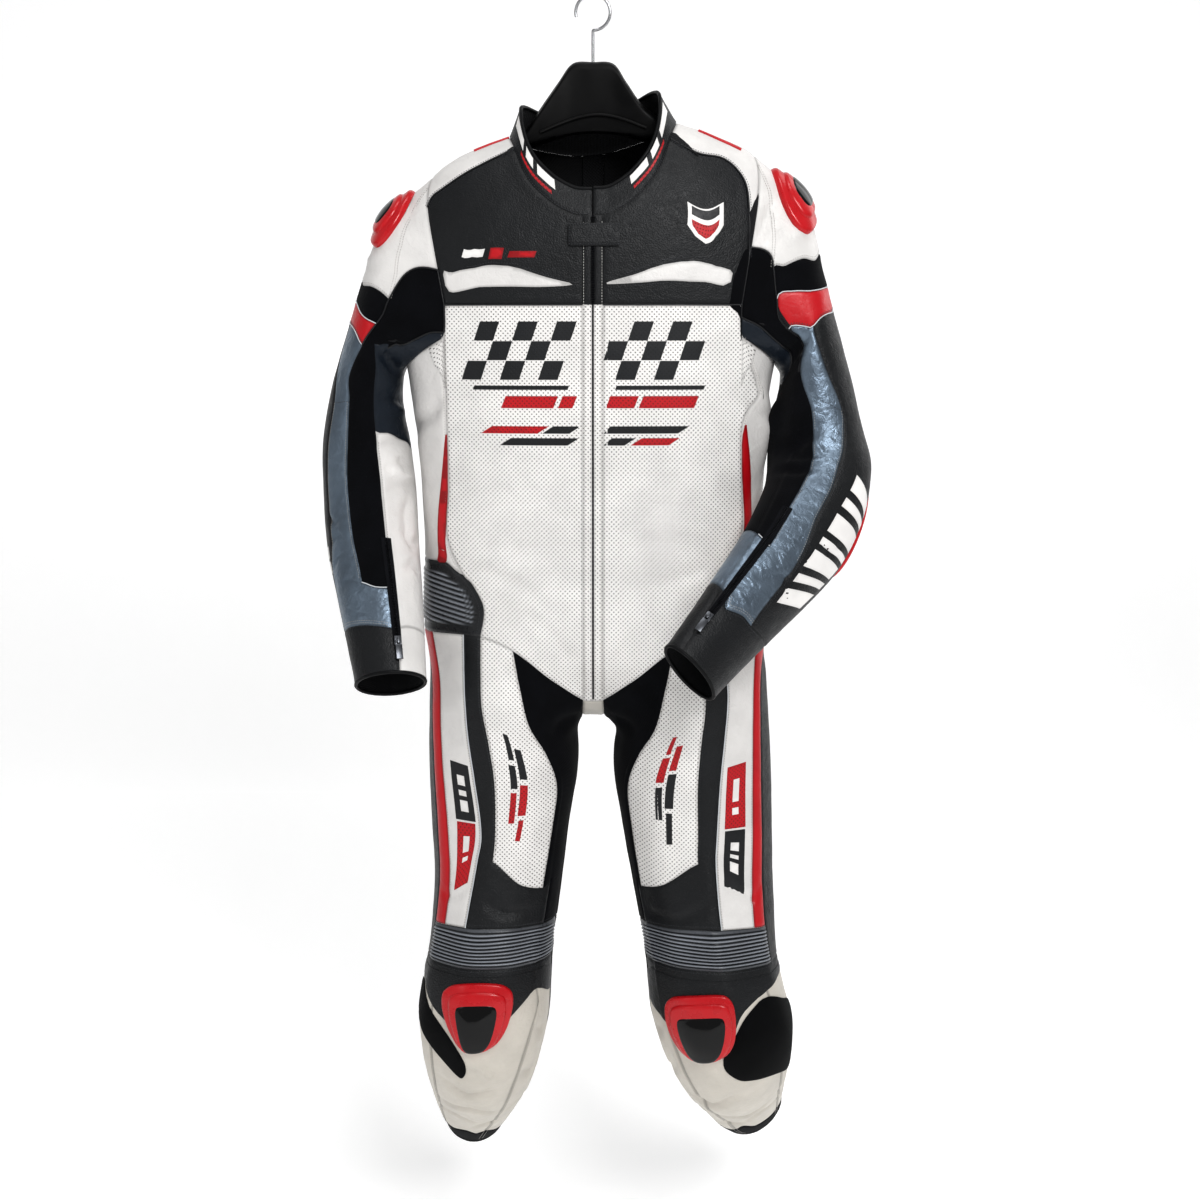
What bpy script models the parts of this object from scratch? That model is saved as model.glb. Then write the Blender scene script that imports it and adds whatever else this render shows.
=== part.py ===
"""A one-piece leather motorcycle race suit, hung from its hook by a broad plastic hanger.

The origin is the inside of the hook's crown. The suit faces -Y, and the wearer's left is +X.
Each form (yoke, torso, sleeve, leg) is a net: a grid of points on the garment's outer face, whose
rows run down the body and whose columns run round it. Seams follow the net's lines, so two pieces
that are sewn together share their edge, less the gap between them. A piece is a set of blocks of
its net, given a wall of leather's thickness on the inside.
"""

import math

import bpy
import numpy as np
from mathutils import Matrix

RIGHT, LEFT = -1, 1  # the wearer's sides, as signs of X
SIDE_NAMES = {RIGHT: "right", LEFT: "left"}

# Driving sizes, in metres.
WALL = 0.002  # leather with its lining
SEAM = 0.0004  # gap between two pieces along a seam
FOLD = 0.7  # normals whose mean is shorter than this meet in a deep fold
TRIM_LIFT = 0.0008  # gap under what is stitched or moulded onto a panel
ZIP_HALF = 0.013  # half of the front zip's placket
ZIP_RIDGE = 0.0010  # the placket's middle
STRIPE_WIDTH, STRIPE_SPREAD = 0.012, 0.010  # of the side stripe, and what it gains over the hip
CHEST_Z = -0.389  # seam under the yoke
STRIPE_Z = -0.549  # where the side stripe starts
RIB_TOP_SIDE, RIB_TOP_FRONT = -0.717, -0.734  # top of the hip's ribs
HIP_LEVEL = -0.82  # just under the hip line
ARMPIT_LEVEL = -0.44
RIB_HEIGHT = 0.0028
KNEE_RIBS = 11
HIP_RIBS_PER_ROW = 5
ROUNDNESS = 2.6  # power of the torso's rings
ARCH = 2.4  # power of the arch over the shoulders
COLLAR_FRONT, COLLAR_SIDE, COLLAR_BACK = 0.034, 0.043, 0.042  # collar heights
COLLAR_LEAN = {RIGHT: 0.27, LEFT: 0.42}  # how far the collar leans in, as a share of the neck
COLLAR_LEAN_IN, COLLAR_FORWARD = 0.10, 0.002  # the same from front to back, and its shift
COLLAR_ROWS = (0.45, 0.90, 1.0)  # as shares of its height
COLLAR_CLEAR = 0.0004  # over the zip's top
COLLAR_RIM = 0.0014
CUFF_RIM = 0.0022
TAPE_TOP = 0.0024  # face of a wrist zip's tape
HOOK_RADIUS = 0.022
HOOK_WIRE = 0.002
HANGER_TOP = -0.081
HANGER_GAP = 0.0010  # between an arm and the shoulder over it
HANGER_ARM = 0.017  # thickness of an arm
HANGER_DEPTH = 0.022  # half depth of an arm
PULL_AXIS = 0.0060  # height of a zip pull's hinge over the sleeve
PULL_LENGTH = 0.024

# Half widths at the wearer's right and left, and depths to front and back, of the torso's rings.
TORSO = (
    # z, right, left, front, back
    (-0.960, 0.232, 0.240, 0.020, 0.040),
    (-0.905, 0.231, 0.240, 0.060, 0.086),
    (-0.870, 0.230, 0.238, 0.090, 0.106),
    (-0.815, 0.227, 0.232, 0.106, 0.116),
    (-0.720, 0.225, 0.227, 0.106, 0.104),
    (-0.640, 0.226, 0.225, 0.103, 0.096),
    (-0.549, 0.234, 0.228, 0.104, 0.098),
    (-0.460, 0.246, 0.239, 0.103, 0.102),
    (-0.389, 0.262, 0.258, 0.100, 0.100),
)
# Height of the shoulder's ridge, from the neck out.
RIDGE = {
    RIGHT: (
        # x, z
        (0.000, -0.160),
        (0.050, -0.163),
        (0.107, -0.176),
        (0.158, -0.193),
        (0.189, -0.211),
        (0.220, -0.238),
    ),
    LEFT: (
        (0.000, -0.160),
        (0.050, -0.152),
        (0.100, -0.156),
        (0.149, -0.171),
        (0.196, -0.190),
        (0.220, -0.209),
    ),
}
# The neck's seam. Over is -1 at the chest seam in front, 0 on the ridge and 1 at the seam behind.
NECK = (
    # place along it, x, over
    (0.00, 0.000, -0.735),
    (0.15, 0.040, -0.700),
    (0.35, 0.082, -0.540),
    (0.50, 0.101, -0.270),
    (0.65, 0.107, 0.000),
    (0.80, 0.088, 0.230),
    (0.92, 0.046, 0.350),
    (1.00, 0.000, 0.380),
)
# The armhole's upper part, over the shoulder.
ARMHOLE = (
    # over, x
    (-1.00, 0.188),
    (-0.75, 0.202),
    (-0.50, 0.210),
    (-0.30, 0.211),
    (0.00, 0.206),
    (0.30, 0.211),
    (0.50, 0.210),
    (0.75, 0.202),
    (1.00, 0.188),
)
ARMHOLE_STEPS = (-0.75, -0.50, -0.30, -0.13, 0.0, 0.13, 0.30, 0.50, 0.75)
# The front seam of the side panel, which turns in over the hip.
SIDE_SEAM = (
    # z, x
    (-0.820, 0.146),
    (-0.765, 0.150),
    (-0.728, 0.176),
    (-0.690, 0.190),
    (-0.549, 0.187),
    (-0.425, 0.189),
)
# The seam between torso and legs, falling to the crotch.
HIP_LINE = (
    # x, z
    (0.013, -0.905),
    (0.060, -0.867),
    (0.104, -0.831),
    (0.146, -0.814),
    (0.200, -0.812),
    (0.240, -0.817),
)
# The armhole's lower part, from the front seam of the side panel to the back one.
ARMPIT = (-0.425, -0.437, -0.455, -0.462, -0.455, -0.430)
TORSO_LEVELS = (STRIPE_Z, -0.620, -0.685)  # rows between the armpit and the hip's ribs
# The yoke's columns at the chest seam, from the zip to the armhole, and behind from there back.
CHEST_X = (ZIP_HALF, 0.022, 0.062, 0.103, 0.146, 0.188)
BACK_X = (0.188, 0.125, 0.065, ZIP_HALF)
# Where those columns start along the neck's seam.
NECK_PLACES = (
    0.047, 0.09, 0.17, 0.25, 0.32, 0.39, 0.45, 0.50, 0.55, 0.60,
    0.65, 0.70, 0.75, 0.79, 0.83, 0.87, 0.91, 0.95, 0.975,
)
# The yoke's rows, as shares of the way out from the neck.
YOKE_ROWS = (
    # at the zip, at the armhole
    (0.00, 0.000),
    (0.30, 0.300),
    (0.58, 0.580),
    (0.86, 0.830),
    (0.90, 0.936),
    (1.00, 1.000),
)
# The torso's columns in front and behind, as shares of the way from the middle to the side seam.
FRONT_SHARES = (0.22, 0.40, 0.56, 0.71, 0.86, 1.0)
BACK_SHARES = (0.66, 0.34)
# The gusset's middle line, between its ends at front and back.
GUSSET = (
    # y, z
    (-0.032, -0.926),
    (0.012, -0.938),
    (0.056, -0.928),
)

# Rings of a sleeve. Tilt raises the ring's outer side, and pitch its front, in degrees.
SLEEVES = {
    RIGHT: (
        # x, y, z, half width, half depth, tilt, pitch
        (0.2755, 0.000, -0.421, 0.0661, 0.072, 67, 0),
        (0.285, 0.000, -0.4575, 0.0558, 0.069, 53, 0),
        (0.297, 0.000, -0.513, 0.0500, 0.064, 19, 0),
        (0.300, -0.002, -0.565, 0.0570, 0.061, 0, 0),
        (0.296, -0.012, -0.625, 0.0610, 0.060, 0, 10),
        (0.288, -0.048, -0.695, 0.0600, 0.058, 0, 27),
        (0.275, -0.090, -0.760, 0.0550, 0.052, 0, 31),
        (0.264, -0.124, -0.815, 0.0495, 0.046, -3, 31),
        (0.256, -0.152, -0.862, 0.0455, 0.042, -5, 31),
    ),
    LEFT: (
        (0.273, 0.000, -0.4115, 0.0718, 0.072, 68, 0),
        (0.279, -0.008, -0.450, 0.0610, 0.068, 55, 0),
        (0.286, -0.018, -0.503, 0.0562, 0.063, 29, 0),
        (0.292, -0.030, -0.560, 0.0609, 0.060, 14, 6),
        (0.293, -0.052, -0.611, 0.0680, 0.060, 0, 20),
        (0.272, -0.092, -0.668, 0.0670, 0.058, -24, 33),
        (0.222, -0.150, -0.727, 0.0580, 0.052, -38, 35),
        (0.163, -0.208, -0.783, 0.0480, 0.045, -43, 35),
        (0.1175, -0.252, -0.8285, 0.0420, 0.040, -44, 35),
    ),
}
# Place of each column round a sleeve, as turns from its outer side by way of its front.
SLEEVE_TURNS = (
    0.0, 0.065, 0.120, 0.175, 0.235, 0.292, 0.345, 0.395, 0.450, 0.505,
    0.560, 0.620, 0.690, 0.755, 0.820, 0.880, 0.940,
)
# Place of each row along a sleeve, as rings from the armhole.
SLEEVE_ROWS = (0, 1, 2, 2.5, 3, 3.6, 4.2, 5, 5.8, 6.5, 7.2, 7.8, 8.75, 9.4, 10)
CROWN_FULLNESS = {RIGHT: 0.020, LEFT: 0.025}  # how far the sleeve's head rounds out over the shoulder
CROWN_WAY = (0.80, 0.60)  # outward and up

LEGS = {
    RIGHT: (
        # x, y, z, half width, half depth, tilt, pitch
        (0.121, 0.002, -0.915, 0.1080, 0.108, 22, 0),
        (0.122, -0.004, -0.985, 0.1035, 0.101, 10, 0),
        (0.126, -0.018, -1.070, 0.0935, 0.092, 0, 5),
        (0.130, -0.036, -1.160, 0.0855, 0.084, 0, 8),
        (0.140, -0.056, -1.250, 0.0840, 0.083, 0, 6),
        (0.149, -0.062, -1.330, 0.0880, 0.086, 0, -10),
        (0.154, -0.030, -1.405, 0.0795, 0.078, 0, -35),
        (0.163, 0.036, -1.475, 0.0670, 0.066, 0, -42),
        (0.172, 0.094, -1.532, 0.0540, 0.056, 0, -43),
        (0.177, 0.140, -1.571, 0.0445, 0.049, 0, -43),
    ),
    LEFT: (
        (0.132, 0.002, -0.915, 0.1090, 0.108, 22, 0),
        (0.133, -0.004, -0.985, 0.1080, 0.101, 10, 0),
        (0.141, -0.018, -1.075, 0.1015, 0.092, 0, 5),
        (0.150, -0.036, -1.165, 0.0940, 0.085, 0, 8),
        (0.160, -0.056, -1.255, 0.0885, 0.083, 0, 6),
        (0.174, -0.062, -1.335, 0.0945, 0.087, 0, -10),
        (0.190, -0.030, -1.405, 0.0830, 0.079, 8, -35),
        (0.208, 0.036, -1.470, 0.0680, 0.066, 12, -42),
        (0.222, 0.090, -1.522, 0.0560, 0.056, 14, -43),
        (0.232, 0.130, -1.553, 0.0480, 0.049, 16, -43),
    ),
}
# Turns of a leg's front seams, by place along the leg.
LEG_SEAMS = {
    RIGHT: (
        # place, stripe's edge, red to white, white to black, black to thigh, thigh to inner leg
        (0.00, 0.030, 0.090, 0.165, 0.205, 0.260),
        (1.00, 0.055, 0.098, 0.175, 0.212, 0.312),
        (2.00, 0.070, 0.108, 0.190, 0.236, 0.376),
        (3.00, 0.082, 0.122, 0.215, 0.247, 0.395),
        (3.85, 0.080, 0.126, 0.198, 0.240, 0.385),
        (4.55, 0.066, 0.110, 0.180, 0.232, 0.375),
        (6.00, 0.050, 0.105, 0.190, 0.235, 0.365),
        (8.00, 0.050, 0.105, 0.160, 0.220, 0.300),
        (10.0, 0.050, 0.105, 0.155, 0.210, 0.280),
    ),
    LEFT: (
        (0.00, 0.030, 0.090, 0.165, 0.205, 0.260),
        (1.00, 0.075, 0.105, 0.180, 0.228, 0.335),
        (2.00, 0.088, 0.118, 0.196, 0.243, 0.398),
        (3.00, 0.096, 0.128, 0.216, 0.256, 0.425),
        (3.85, 0.100, 0.136, 0.228, 0.266, 0.435),
        (4.55, 0.098, 0.140, 0.225, 0.270, 0.420),
        (6.00, 0.050, 0.105, 0.190, 0.240, 0.385),
        (8.00, 0.050, 0.105, 0.160, 0.220, 0.310),
        (10.0, 0.050, 0.105, 0.155, 0.210, 0.280),
    ),
}
INNER_LEG = ((0, 0.440), (1, 0.450), (4, 0.485), (10, 0.485))  # place, turn of the inner leg's front
LEG_ROWS = (0, 0.5, 1, 1.6, 2.3, 3.1, 3.85, 4.48, 5.00, 5.50, 6, 6.6, 7.3, 8.1, 9, 10)
LEG_SAGS = {6: 0.05, 7: 0.03, 8: 0.06}  # how far rows hang down in front, in rings
THIGH_FOOT = {2: -0.30, 3: -0.35, 4: 0.0, 5: 0.10}  # slant of the thigh panel's foot, by column

# Moulded cups, on the limbs' nets.
SHOULDER_CUP = {
    # middle's row and column, half sizes along rows and columns, lift
    RIGHT: (0.85, 0.20, 0.50, 1.60, 0.0008),
    LEFT: (0.85, 0.20, 0.50, 1.60, 0.0008),
}
ELBOW_CUP = {
    RIGHT: (9.50, -2.30, 1.35, 1.90, 0.0012),
    LEFT: (9.10, -2.60, 1.35, 1.90, 0.0013),
}
KNEE_CUP = {
    RIGHT: (9.30, 2.70, 0.93, 1.30, 0.0017),
    LEFT: (9.42, 3.75, 0.93, 1.18, 0.0017),
}
# Their profiles: share of the radius, and height there.
SHOULDER_PROFILE = ((0, 0.011), (0.40, 0.011), (0.52, 0.0075), (0.80, 0.0065), (1.0, 0.002))
ELBOW_PROFILE = ((0, 0.010), (0.45, 0.0095), (0.58, 0.0065), (0.85, 0.0055), (1.0, 0.002))
KNEE_PROFILE = ((0, 0.009), (0.55, 0.009), (0.62, 0.006), (0.90, 0.0055), (1.0, 0.002))

# The neck tab's ends across the zip, and its edges.
TAB_X = (-0.031, 0.034)
TAB_Z = (-0.289, -0.317)
TAB_LAYER = (0.0019, 0.0046)  # from its underside to its face, over the yoke

ZIP_COLUMN, ZIP_START, ZIP_END = 5.3, 10.0, 12.95  # the wrist zip, on the sleeve's net
ZIP_SHARE = 0.33  # half of its tape, in columns
# Boxes of its slider and of its pull, each from a low to a high corner: across, down and out.
SLIDER = (
    ((-0.0045, -0.0070, 0.0014), (0.0045, 0.0060, 0.0044)),
    ((-0.0016, -0.0038, 0.0040), (0.0016, -0.0026, 0.0084)),
    ((-0.0016, 0.0026, 0.0040), (0.0016, 0.0038, 0.0084)),
    ((-0.0016, -0.0038, 0.0072), (0.0016, 0.0038, 0.0086)),
)
PULL = (
    ((-0.0038, -0.0007, -0.0007), (0.0038, 0.0007, 0.0007)),
    ((-0.0038, -0.0007, -0.0007), (-0.0022, 0.0065, 0.0007)),
    ((0.0022, -0.0007, -0.0007), (0.0038, 0.0065, 0.0007)),
    ((-0.0042, 0.0052, -0.0008), (0.0042, PULL_LENGTH, 0.0008)),
)

# Sections of the hanger's hump.
HUMP = (
    # x, top, foot, half depth
    (-0.085, -0.163, -0.190, 0.024),
    (-0.066, -0.136, -0.184, 0.024),
    (-0.045, -0.107, -0.177, 0.022),
    (-0.026, -0.083, -0.172, 0.020),
    (0.000, HANGER_TOP, -0.170, 0.020),
    (0.026, -0.083, -0.171, 0.020),
    (0.043, -0.106, -0.174, 0.022),
    (0.061, -0.131, -0.179, 0.024),
    (0.082, -0.148, -0.180, 0.024),
)

# Named lines of the nets.
FLASH_ROW, BAND_ROW = 3, 4
CORNER, SEAM_COLUMN, BACK_SEAM, BACK_MID = 5, 6, 12, 15
YOKE_EDGE, RIDGE_COLUMN, SHOULDER_BACK, BACK_CORNER, YOKE_BACK = 8, 10, 12, 15, 18
RIB_ROW, HIP_ROW = 6, 8
HIP_RIB_END = 10
CAP_ROW, BLACK_BAND_ROW, RED_BAND_ROW, TIP_ROW, WRIST_ROW, CUFF_ROW, CUFF_END = 2, 3, 4, 6, 11, 12, 14
PERFORATED_ROW, KNEE_RIB_ROW, KNEE_RIB_END, LEG_END = 6, 7, 8, 15

COLOURS = {
    # base colour, metallic, roughness
    "black leather": ((0.024, 0.026, 0.029), 0.0, 0.45),
    "black stretch": ((0.005, 0.006, 0.008), 0.0, 0.85),
    "white leather": ((0.79, 0.77, 0.75), 0.0, 0.42),
    "red leather": ((0.54, 0.008, 0.014), 0.0, 0.40),
    "grey metallic leather": ((0.16, 0.20, 0.24), 0.5, 0.35),
    "navy leather": ((0.010, 0.015, 0.024), 0.0, 0.50),
    "red moulded plastic": ((0.80, 0.03, 0.04), 0.0, 0.25),
    "black moulded plastic": ((0.020, 0.020, 0.022), 0.0, 0.35),
    "dark metal": ((0.20, 0.21, 0.23), 1.0, 0.35),
    "steel": ((0.60, 0.60, 0.60), 1.0, 0.30),
}


def smooth(rows, at, loop=False):
    """Values at places along rows, on the smooth curve through them all."""
    rows = np.asarray(rows, float)
    at = np.asarray(at, float)
    count = len(rows)
    if loop:
        first = np.floor(at).astype(int)
        near = [rows[(first + step) % count] for step in (-1, 0, 1, 2)]
    else:
        rows = np.concatenate([[2 * rows[0] - rows[1]], rows, [2 * rows[-1] - rows[-2]]])
        at = np.clip(at, 0, count - 1)
        first = np.minimum(np.floor(at).astype(int), count - 2)
        near = [rows[first + step] for step in (0, 1, 2, 3)]
    part = (at - first).reshape(at.shape + (1,) * (rows.ndim - 1))
    before, start, end, after = near
    return start + 0.5 * part * (
        end
        - before
        + part * (2 * before - 5 * start + 4 * end - after + part * (3 * (start - end) + after - before))
    )


def look(table, key):
    """A table's values at a key, which is its first column and grows."""
    table = np.asarray(table, float)
    return smooth(table[:, 1:], np.interp(key, table[:, 0], np.arange(len(table))))


def unit(vectors):
    return vectors / np.linalg.norm(vectors, axis=-1, keepdims=True)


# The torso's form.


def half_width(side, z):
    return look(TORSO, z)[0 if side == RIGHT else 1]


def torso_at(side, turn, z):
    """A point of the torso's ring at height z. Turn is 0 at the front, 1 at the side and 2 behind."""
    front, back = look(TORSO, z)[2:]
    angle = turn * math.pi / 2
    across = half_width(side, z) * abs(math.sin(angle)) ** (2 / ROUNDNESS)
    depth = (front if turn < 1 else back) * abs(math.cos(angle)) ** (2 / ROUNDNESS)
    return np.array((side * across, math.copysign(depth, turn - 1), z))


def turn_of(side, x, z):
    share = min(x / half_width(side, z), 1.0) ** (ROUNDNESS / 2)
    return math.asin(share) / (math.pi / 2)


def yoke_at(side, x, over):
    """A point of the arch that carries the torso over the shoulder."""
    front, back = look(TORSO, CHEST_Z)[2:]
    share = (1 - (x / half_width(side, CHEST_Z)) ** ROUNDNESS) ** (1 / ROUNDNESS)
    rise = (1 - abs(over)) * math.pi / 2
    depth = (front if over < 0 else back) * share * abs(math.cos(rise)) ** (2 / ARCH)
    ridge = look(RIDGE[side], x)[0]
    height = CHEST_Z + (ridge - CHEST_Z) * math.sin(rise) ** (2 / ARCH)
    return np.array((side * x, math.copysign(depth, over), height))


def over_of(side, x, z):
    """How far over the shoulder the front of the yoke is at height z."""
    share = (z - CHEST_Z) / (look(RIDGE[side], x)[0] - CHEST_Z)
    return -(1 - math.asin(share ** (ARCH / 2)) / (math.pi / 2))


# Nets.


class Net:
    """Points and outward normals on a grid. A looped net's last column joins its first."""

    def __init__(self, points, outward, loop=False):
        self.points = np.array(points, float)
        self.loop = loop
        down = np.gradient(self.points, axis=0)
        if loop:
            round_ = np.roll(self.points, -1, axis=1) - np.roll(self.points, 1, axis=1)
        else:
            round_ = np.gradient(self.points, axis=1)
        self.normals = outward * unit(np.cross(round_, down))

    def at(self, row, column):
        """Point and normal at a place between the grid's lines."""
        both = np.concatenate([self.points, self.normals], axis=2)
        line = smooth(both, np.array(float(row)))
        found = smooth(line, np.array(float(column)), self.loop)
        return found[:3], unit(found[3:])


def side_seam(z):
    return look(SIDE_SEAM, z)[0]


def yoke_net(side):
    """Rows run from the neck's seam out, columns from the zip over the shoulder to the back."""
    outer = [(x, -1.0) for x in CHEST_X]
    outer += [(look(ARMHOLE, over)[0], over) for over in ARMHOLE_STEPS]
    outer += [(x, 1.0) for x in BACK_X]
    rows = []
    for at_zip, at_armhole in YOKE_ROWS:
        line = []
        for column, (place, end) in enumerate(zip(NECK_PLACES, outer)):
            start = look(NECK, place)
            share = at_zip + (at_armhole - at_zip) * min(column / CORNER, 1)
            x, over = start + (np.array(end) - start) * share
            line.append(yoke_at(side, max(x, ZIP_HALF), over))
        rows.append(line)
    return Net(rows, -side)


def torso_columns(side, z):
    """Turns of the torso's columns at height z, below the armhole."""
    seam = side_seam(z)
    turns = [turn_of(side, ZIP_HALF, z)]
    turns += [turn_of(side, seam * share, z) for share in FRONT_SHARES]
    stripe = turn_of(side, seam + STRIPE_WIDTH + STRIPE_SPREAD * (z < RIB_TOP_SIDE - 0.03), z)
    turns += [stripe, (stripe + 1) / 2, 1.0]
    back = 2 - turn_of(side, seam - 0.004, z)
    turns += [1 + (back - 1) / 3, 1 + 2 * (back - 1) / 3, back]
    turns += [2 - turn_of(side, seam * share, z) for share in BACK_SHARES]
    turns += [2 - turn_of(side, ZIP_HALF, z)]
    return turns


def torso_net(side, yoke):
    """Rows run down from the yoke and the armhole to the hip line."""
    top = list(yoke.points[-1, : CORNER + 1])
    armpit_turns = torso_columns(side, ARMPIT_LEVEL)[SEAM_COLUMN:BACK_SEAM]
    armpit_turns[0] = turn_of(side, side_seam(ARMPIT[0]), ARMPIT[0])
    top += [torso_at(side, turn, z) for turn, z in zip(armpit_turns, ARMPIT)]
    top += list(yoke.points[-1, BACK_CORNER:])
    count = len(top)
    levels = [[z] * count for z in TORSO_LEVELS]
    ribs = [RIB_TOP_FRONT] * (SEAM_COLUMN + 1) + [RIB_TOP_SIDE] * (count - SEAM_COLUMN - 1)
    ribs[SEAM_COLUMN + 1] = (RIB_TOP_FRONT + RIB_TOP_SIDE) / 2
    bottom_turns = torso_columns(side, HIP_LEVEL)
    bottom = [look(HIP_LINE, abs(torso_at(side, turn, HIP_LEVEL)[0]))[0] for turn in bottom_turns]
    middle = [(a + b) / 2 for a, b in zip(ribs, bottom)]
    rows = [top]
    stripe_row = [torso_at(side, turn, STRIPE_Z) for turn in torso_columns(side, STRIPE_Z)]
    for share in (1 / 3, 2 / 3):
        row = []
        for column in range(count):
            z = top[column][2] + (STRIPE_Z - top[column][2]) * share
            x = abs(top[column][0] + (stripe_row[column][0] - top[column][0]) * share)
            turn = turn_of(side, x, z)
            back = column > SEAM_COLUMN + 3
            if column in range(SEAM_COLUMN + 1, BACK_SEAM):
                row.append(torso_at(side, torso_columns(side, z)[column], z))
            else:
                row.append(torso_at(side, 2 - turn if back else turn, z))
        rows.append(row)
    for level in [*levels, ribs, middle, bottom]:
        row = []
        for column, z in enumerate(level):
            row.append(torso_at(side, torso_columns(side, z)[column], z))
        rows.append(row)
    return Net(rows, -side)


def ring(side, row, turn):
    """A point of a sleeve's or a leg's ring."""
    x, y, z, wide, deep, tilt, pitch = row
    tilt, pitch = math.radians(tilt), math.radians(pitch)
    angle = turn * 2 * math.pi
    outer = np.array((side * math.cos(tilt), 0, math.sin(tilt)))
    front = np.array((0, -math.cos(pitch), math.sin(pitch)))
    return np.array((side * x, y, z)) + wide * math.cos(angle) * outer + deep * math.sin(angle) * front


def limb_net(side, first, rings, row_places, turns_at, sags):
    """A tube from its first rows of points, on the torso, down through the other rings."""
    lines = []
    for column in range(len(first[0])):
        line = [row[column] for row in first]
        for number, row in enumerate(rings, len(first)):
            line.append(ring(side, row, turns_at(number)[column]))
        lines.append(line)
    rows = []
    for number, place in enumerate(row_places):
        row = []
        for column, line in enumerate(lines):
            sag = sags.get(number, 0) * max(math.sin(2 * math.pi * turns_at(place)[column]), 0)
            if sags and number == PERFORATED_ROW:
                sag += THIGH_FOOT.get(column, 0)
            row.append(smooth(line, np.array(place + sag)))
        rows.append(row)
    return Net(rows, side, loop=True)


def sleeve_net(side, yoke, torso):
    front = [yoke.points[-1, column] for column in range(RIDGE_COLUMN, CORNER - 1, -1)]
    under = [torso.points[0, column] for column in range(SEAM_COLUMN, BACK_SEAM)]
    back = [yoke.points[-1, column] for column in range(BACK_CORNER, RIDGE_COLUMN, -1)]
    first = front + under + back
    crown = []
    for start, turn in zip(first, SLEEVE_TURNS):
        below = ring(side, SLEEVES[side][0], turn)
        fullness = CROWN_FULLNESS[side] * max(math.cos(2 * math.pi * turn), 0)
        crown.append((start + below) / 2 + fullness * np.array((side * CROWN_WAY[0], 0, CROWN_WAY[1])))
    return limb_net(side, [first, crown], SLEEVES[side], SLEEVE_ROWS, lambda place: SLEEVE_TURNS, {})


def leg_turns(side, place):
    """Turns of a leg's columns: five front seams, the inner leg, then round the back."""
    edge, red, white, black, thigh = look(LEG_SEAMS[side], place)
    inner = look(INNER_LEG, place)[0]
    turns = [edge, red, white, black, (black + thigh) / 2]
    turns += [thigh + (inner - thigh) * step / 4 for step in range(4)]
    behind = 1 - inner
    turns += [inner + (behind - inner) * step / 4 for step in range(4)]
    return turns + [behind + (1 + edge - behind) * step / 6 for step in range(6)]


def gusset_edge(side):
    """The gusset's edge at a leg, between the torso's front and back."""
    return [np.array((side * (ZIP_HALF + 0.001), y, z)) for y, z in GUSSET]


def leg_net(side, torso):
    down_front = [torso.points[-1, column] for column in range(9, -1, -1)]
    back = [torso.points[-1, column] for column in range(BACK_MID, 9, -1)]
    first = [down_front + gusset_edge(side) + back]
    return limb_net(side, first, LEGS[side], LEG_ROWS, lambda place: leg_turns(side, place), LEG_SAGS)


def gusset_net(torsos):
    edges = []
    for side in (RIGHT, LEFT):
        points = torsos[side].points[-1]
        edges.append([points[0], *gusset_edge(side), points[BACK_MID]])
    return Net(edges, 1)


def share_normals(nets):
    """Nets that meet take one normal at each point they share, so that their walls meet too.

    In a deep fold, such as the armpit, it points down.
    """
    met = {}
    for net in nets:
        for point, normal in zip(net.points.reshape(-1, 3), net.normals.reshape(-1, 3)):
            met.setdefault(tuple(np.round(point, 6)), []).append(normal)
    for net in nets:
        flat = net.normals.reshape(-1, 3)
        for index, point in enumerate(net.points.reshape(-1, 3)):
            mean = np.mean(met[tuple(np.round(point, 6))], axis=0)
            fold = max(FOLD - np.linalg.norm(mean), 0)
            flat[index] = mean + fold * np.array((0, 0, -1.0))
        net.normals = unit(flat).reshape(net.points.shape)


class Strip:
    """An open net whose normals are given too."""

    loop = False

    def __init__(self, points, normals):
        self.points = np.array(points)
        self.normals = unit(np.array(normals))


def side_by_side(nets_and_columns):
    """Columns picked from nets, as a strip."""
    points = [net.points[:, column] for net, column in nets_and_columns]
    normals = [net.normals[:, column] for net, column in nets_and_columns]
    return Strip(np.stack(points, axis=1), np.stack(normals, axis=1))


# Solids.


def material(name):
    found = bpy.data.materials.get(name)
    if found:
        return found
    made = bpy.data.materials.new(name)
    made.use_nodes = True
    shader = made.node_tree.nodes["Principled BSDF"]
    colour, metallic, roughness = COLOURS[name]
    shader.inputs["Base Color"].default_value = (*colour, 1)
    shader.inputs["Metallic"].default_value = metallic
    shader.inputs["Roughness"].default_value = roughness
    return made


def add_object(name, points, faces, finish):
    mesh = bpy.data.meshes.new(name)
    mesh.from_pydata([tuple(point) for point in points], [], faces)
    mesh.shade_smooth()
    mesh.set_sharp_from_angle(angle=math.radians(40))
    made = bpy.data.objects.new(name, mesh)
    made.data.materials.append(material(finish))
    bpy.context.scene.collection.objects.link(made)
    return made


def block(rows, columns):
    return {(row, column) for row in range(*rows) for column in range(*columns)}


def corners(cell):
    row, column = cell
    return [(row, column), (row, column + 1), (row + 1, column + 1), (row + 1, column)]


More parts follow.
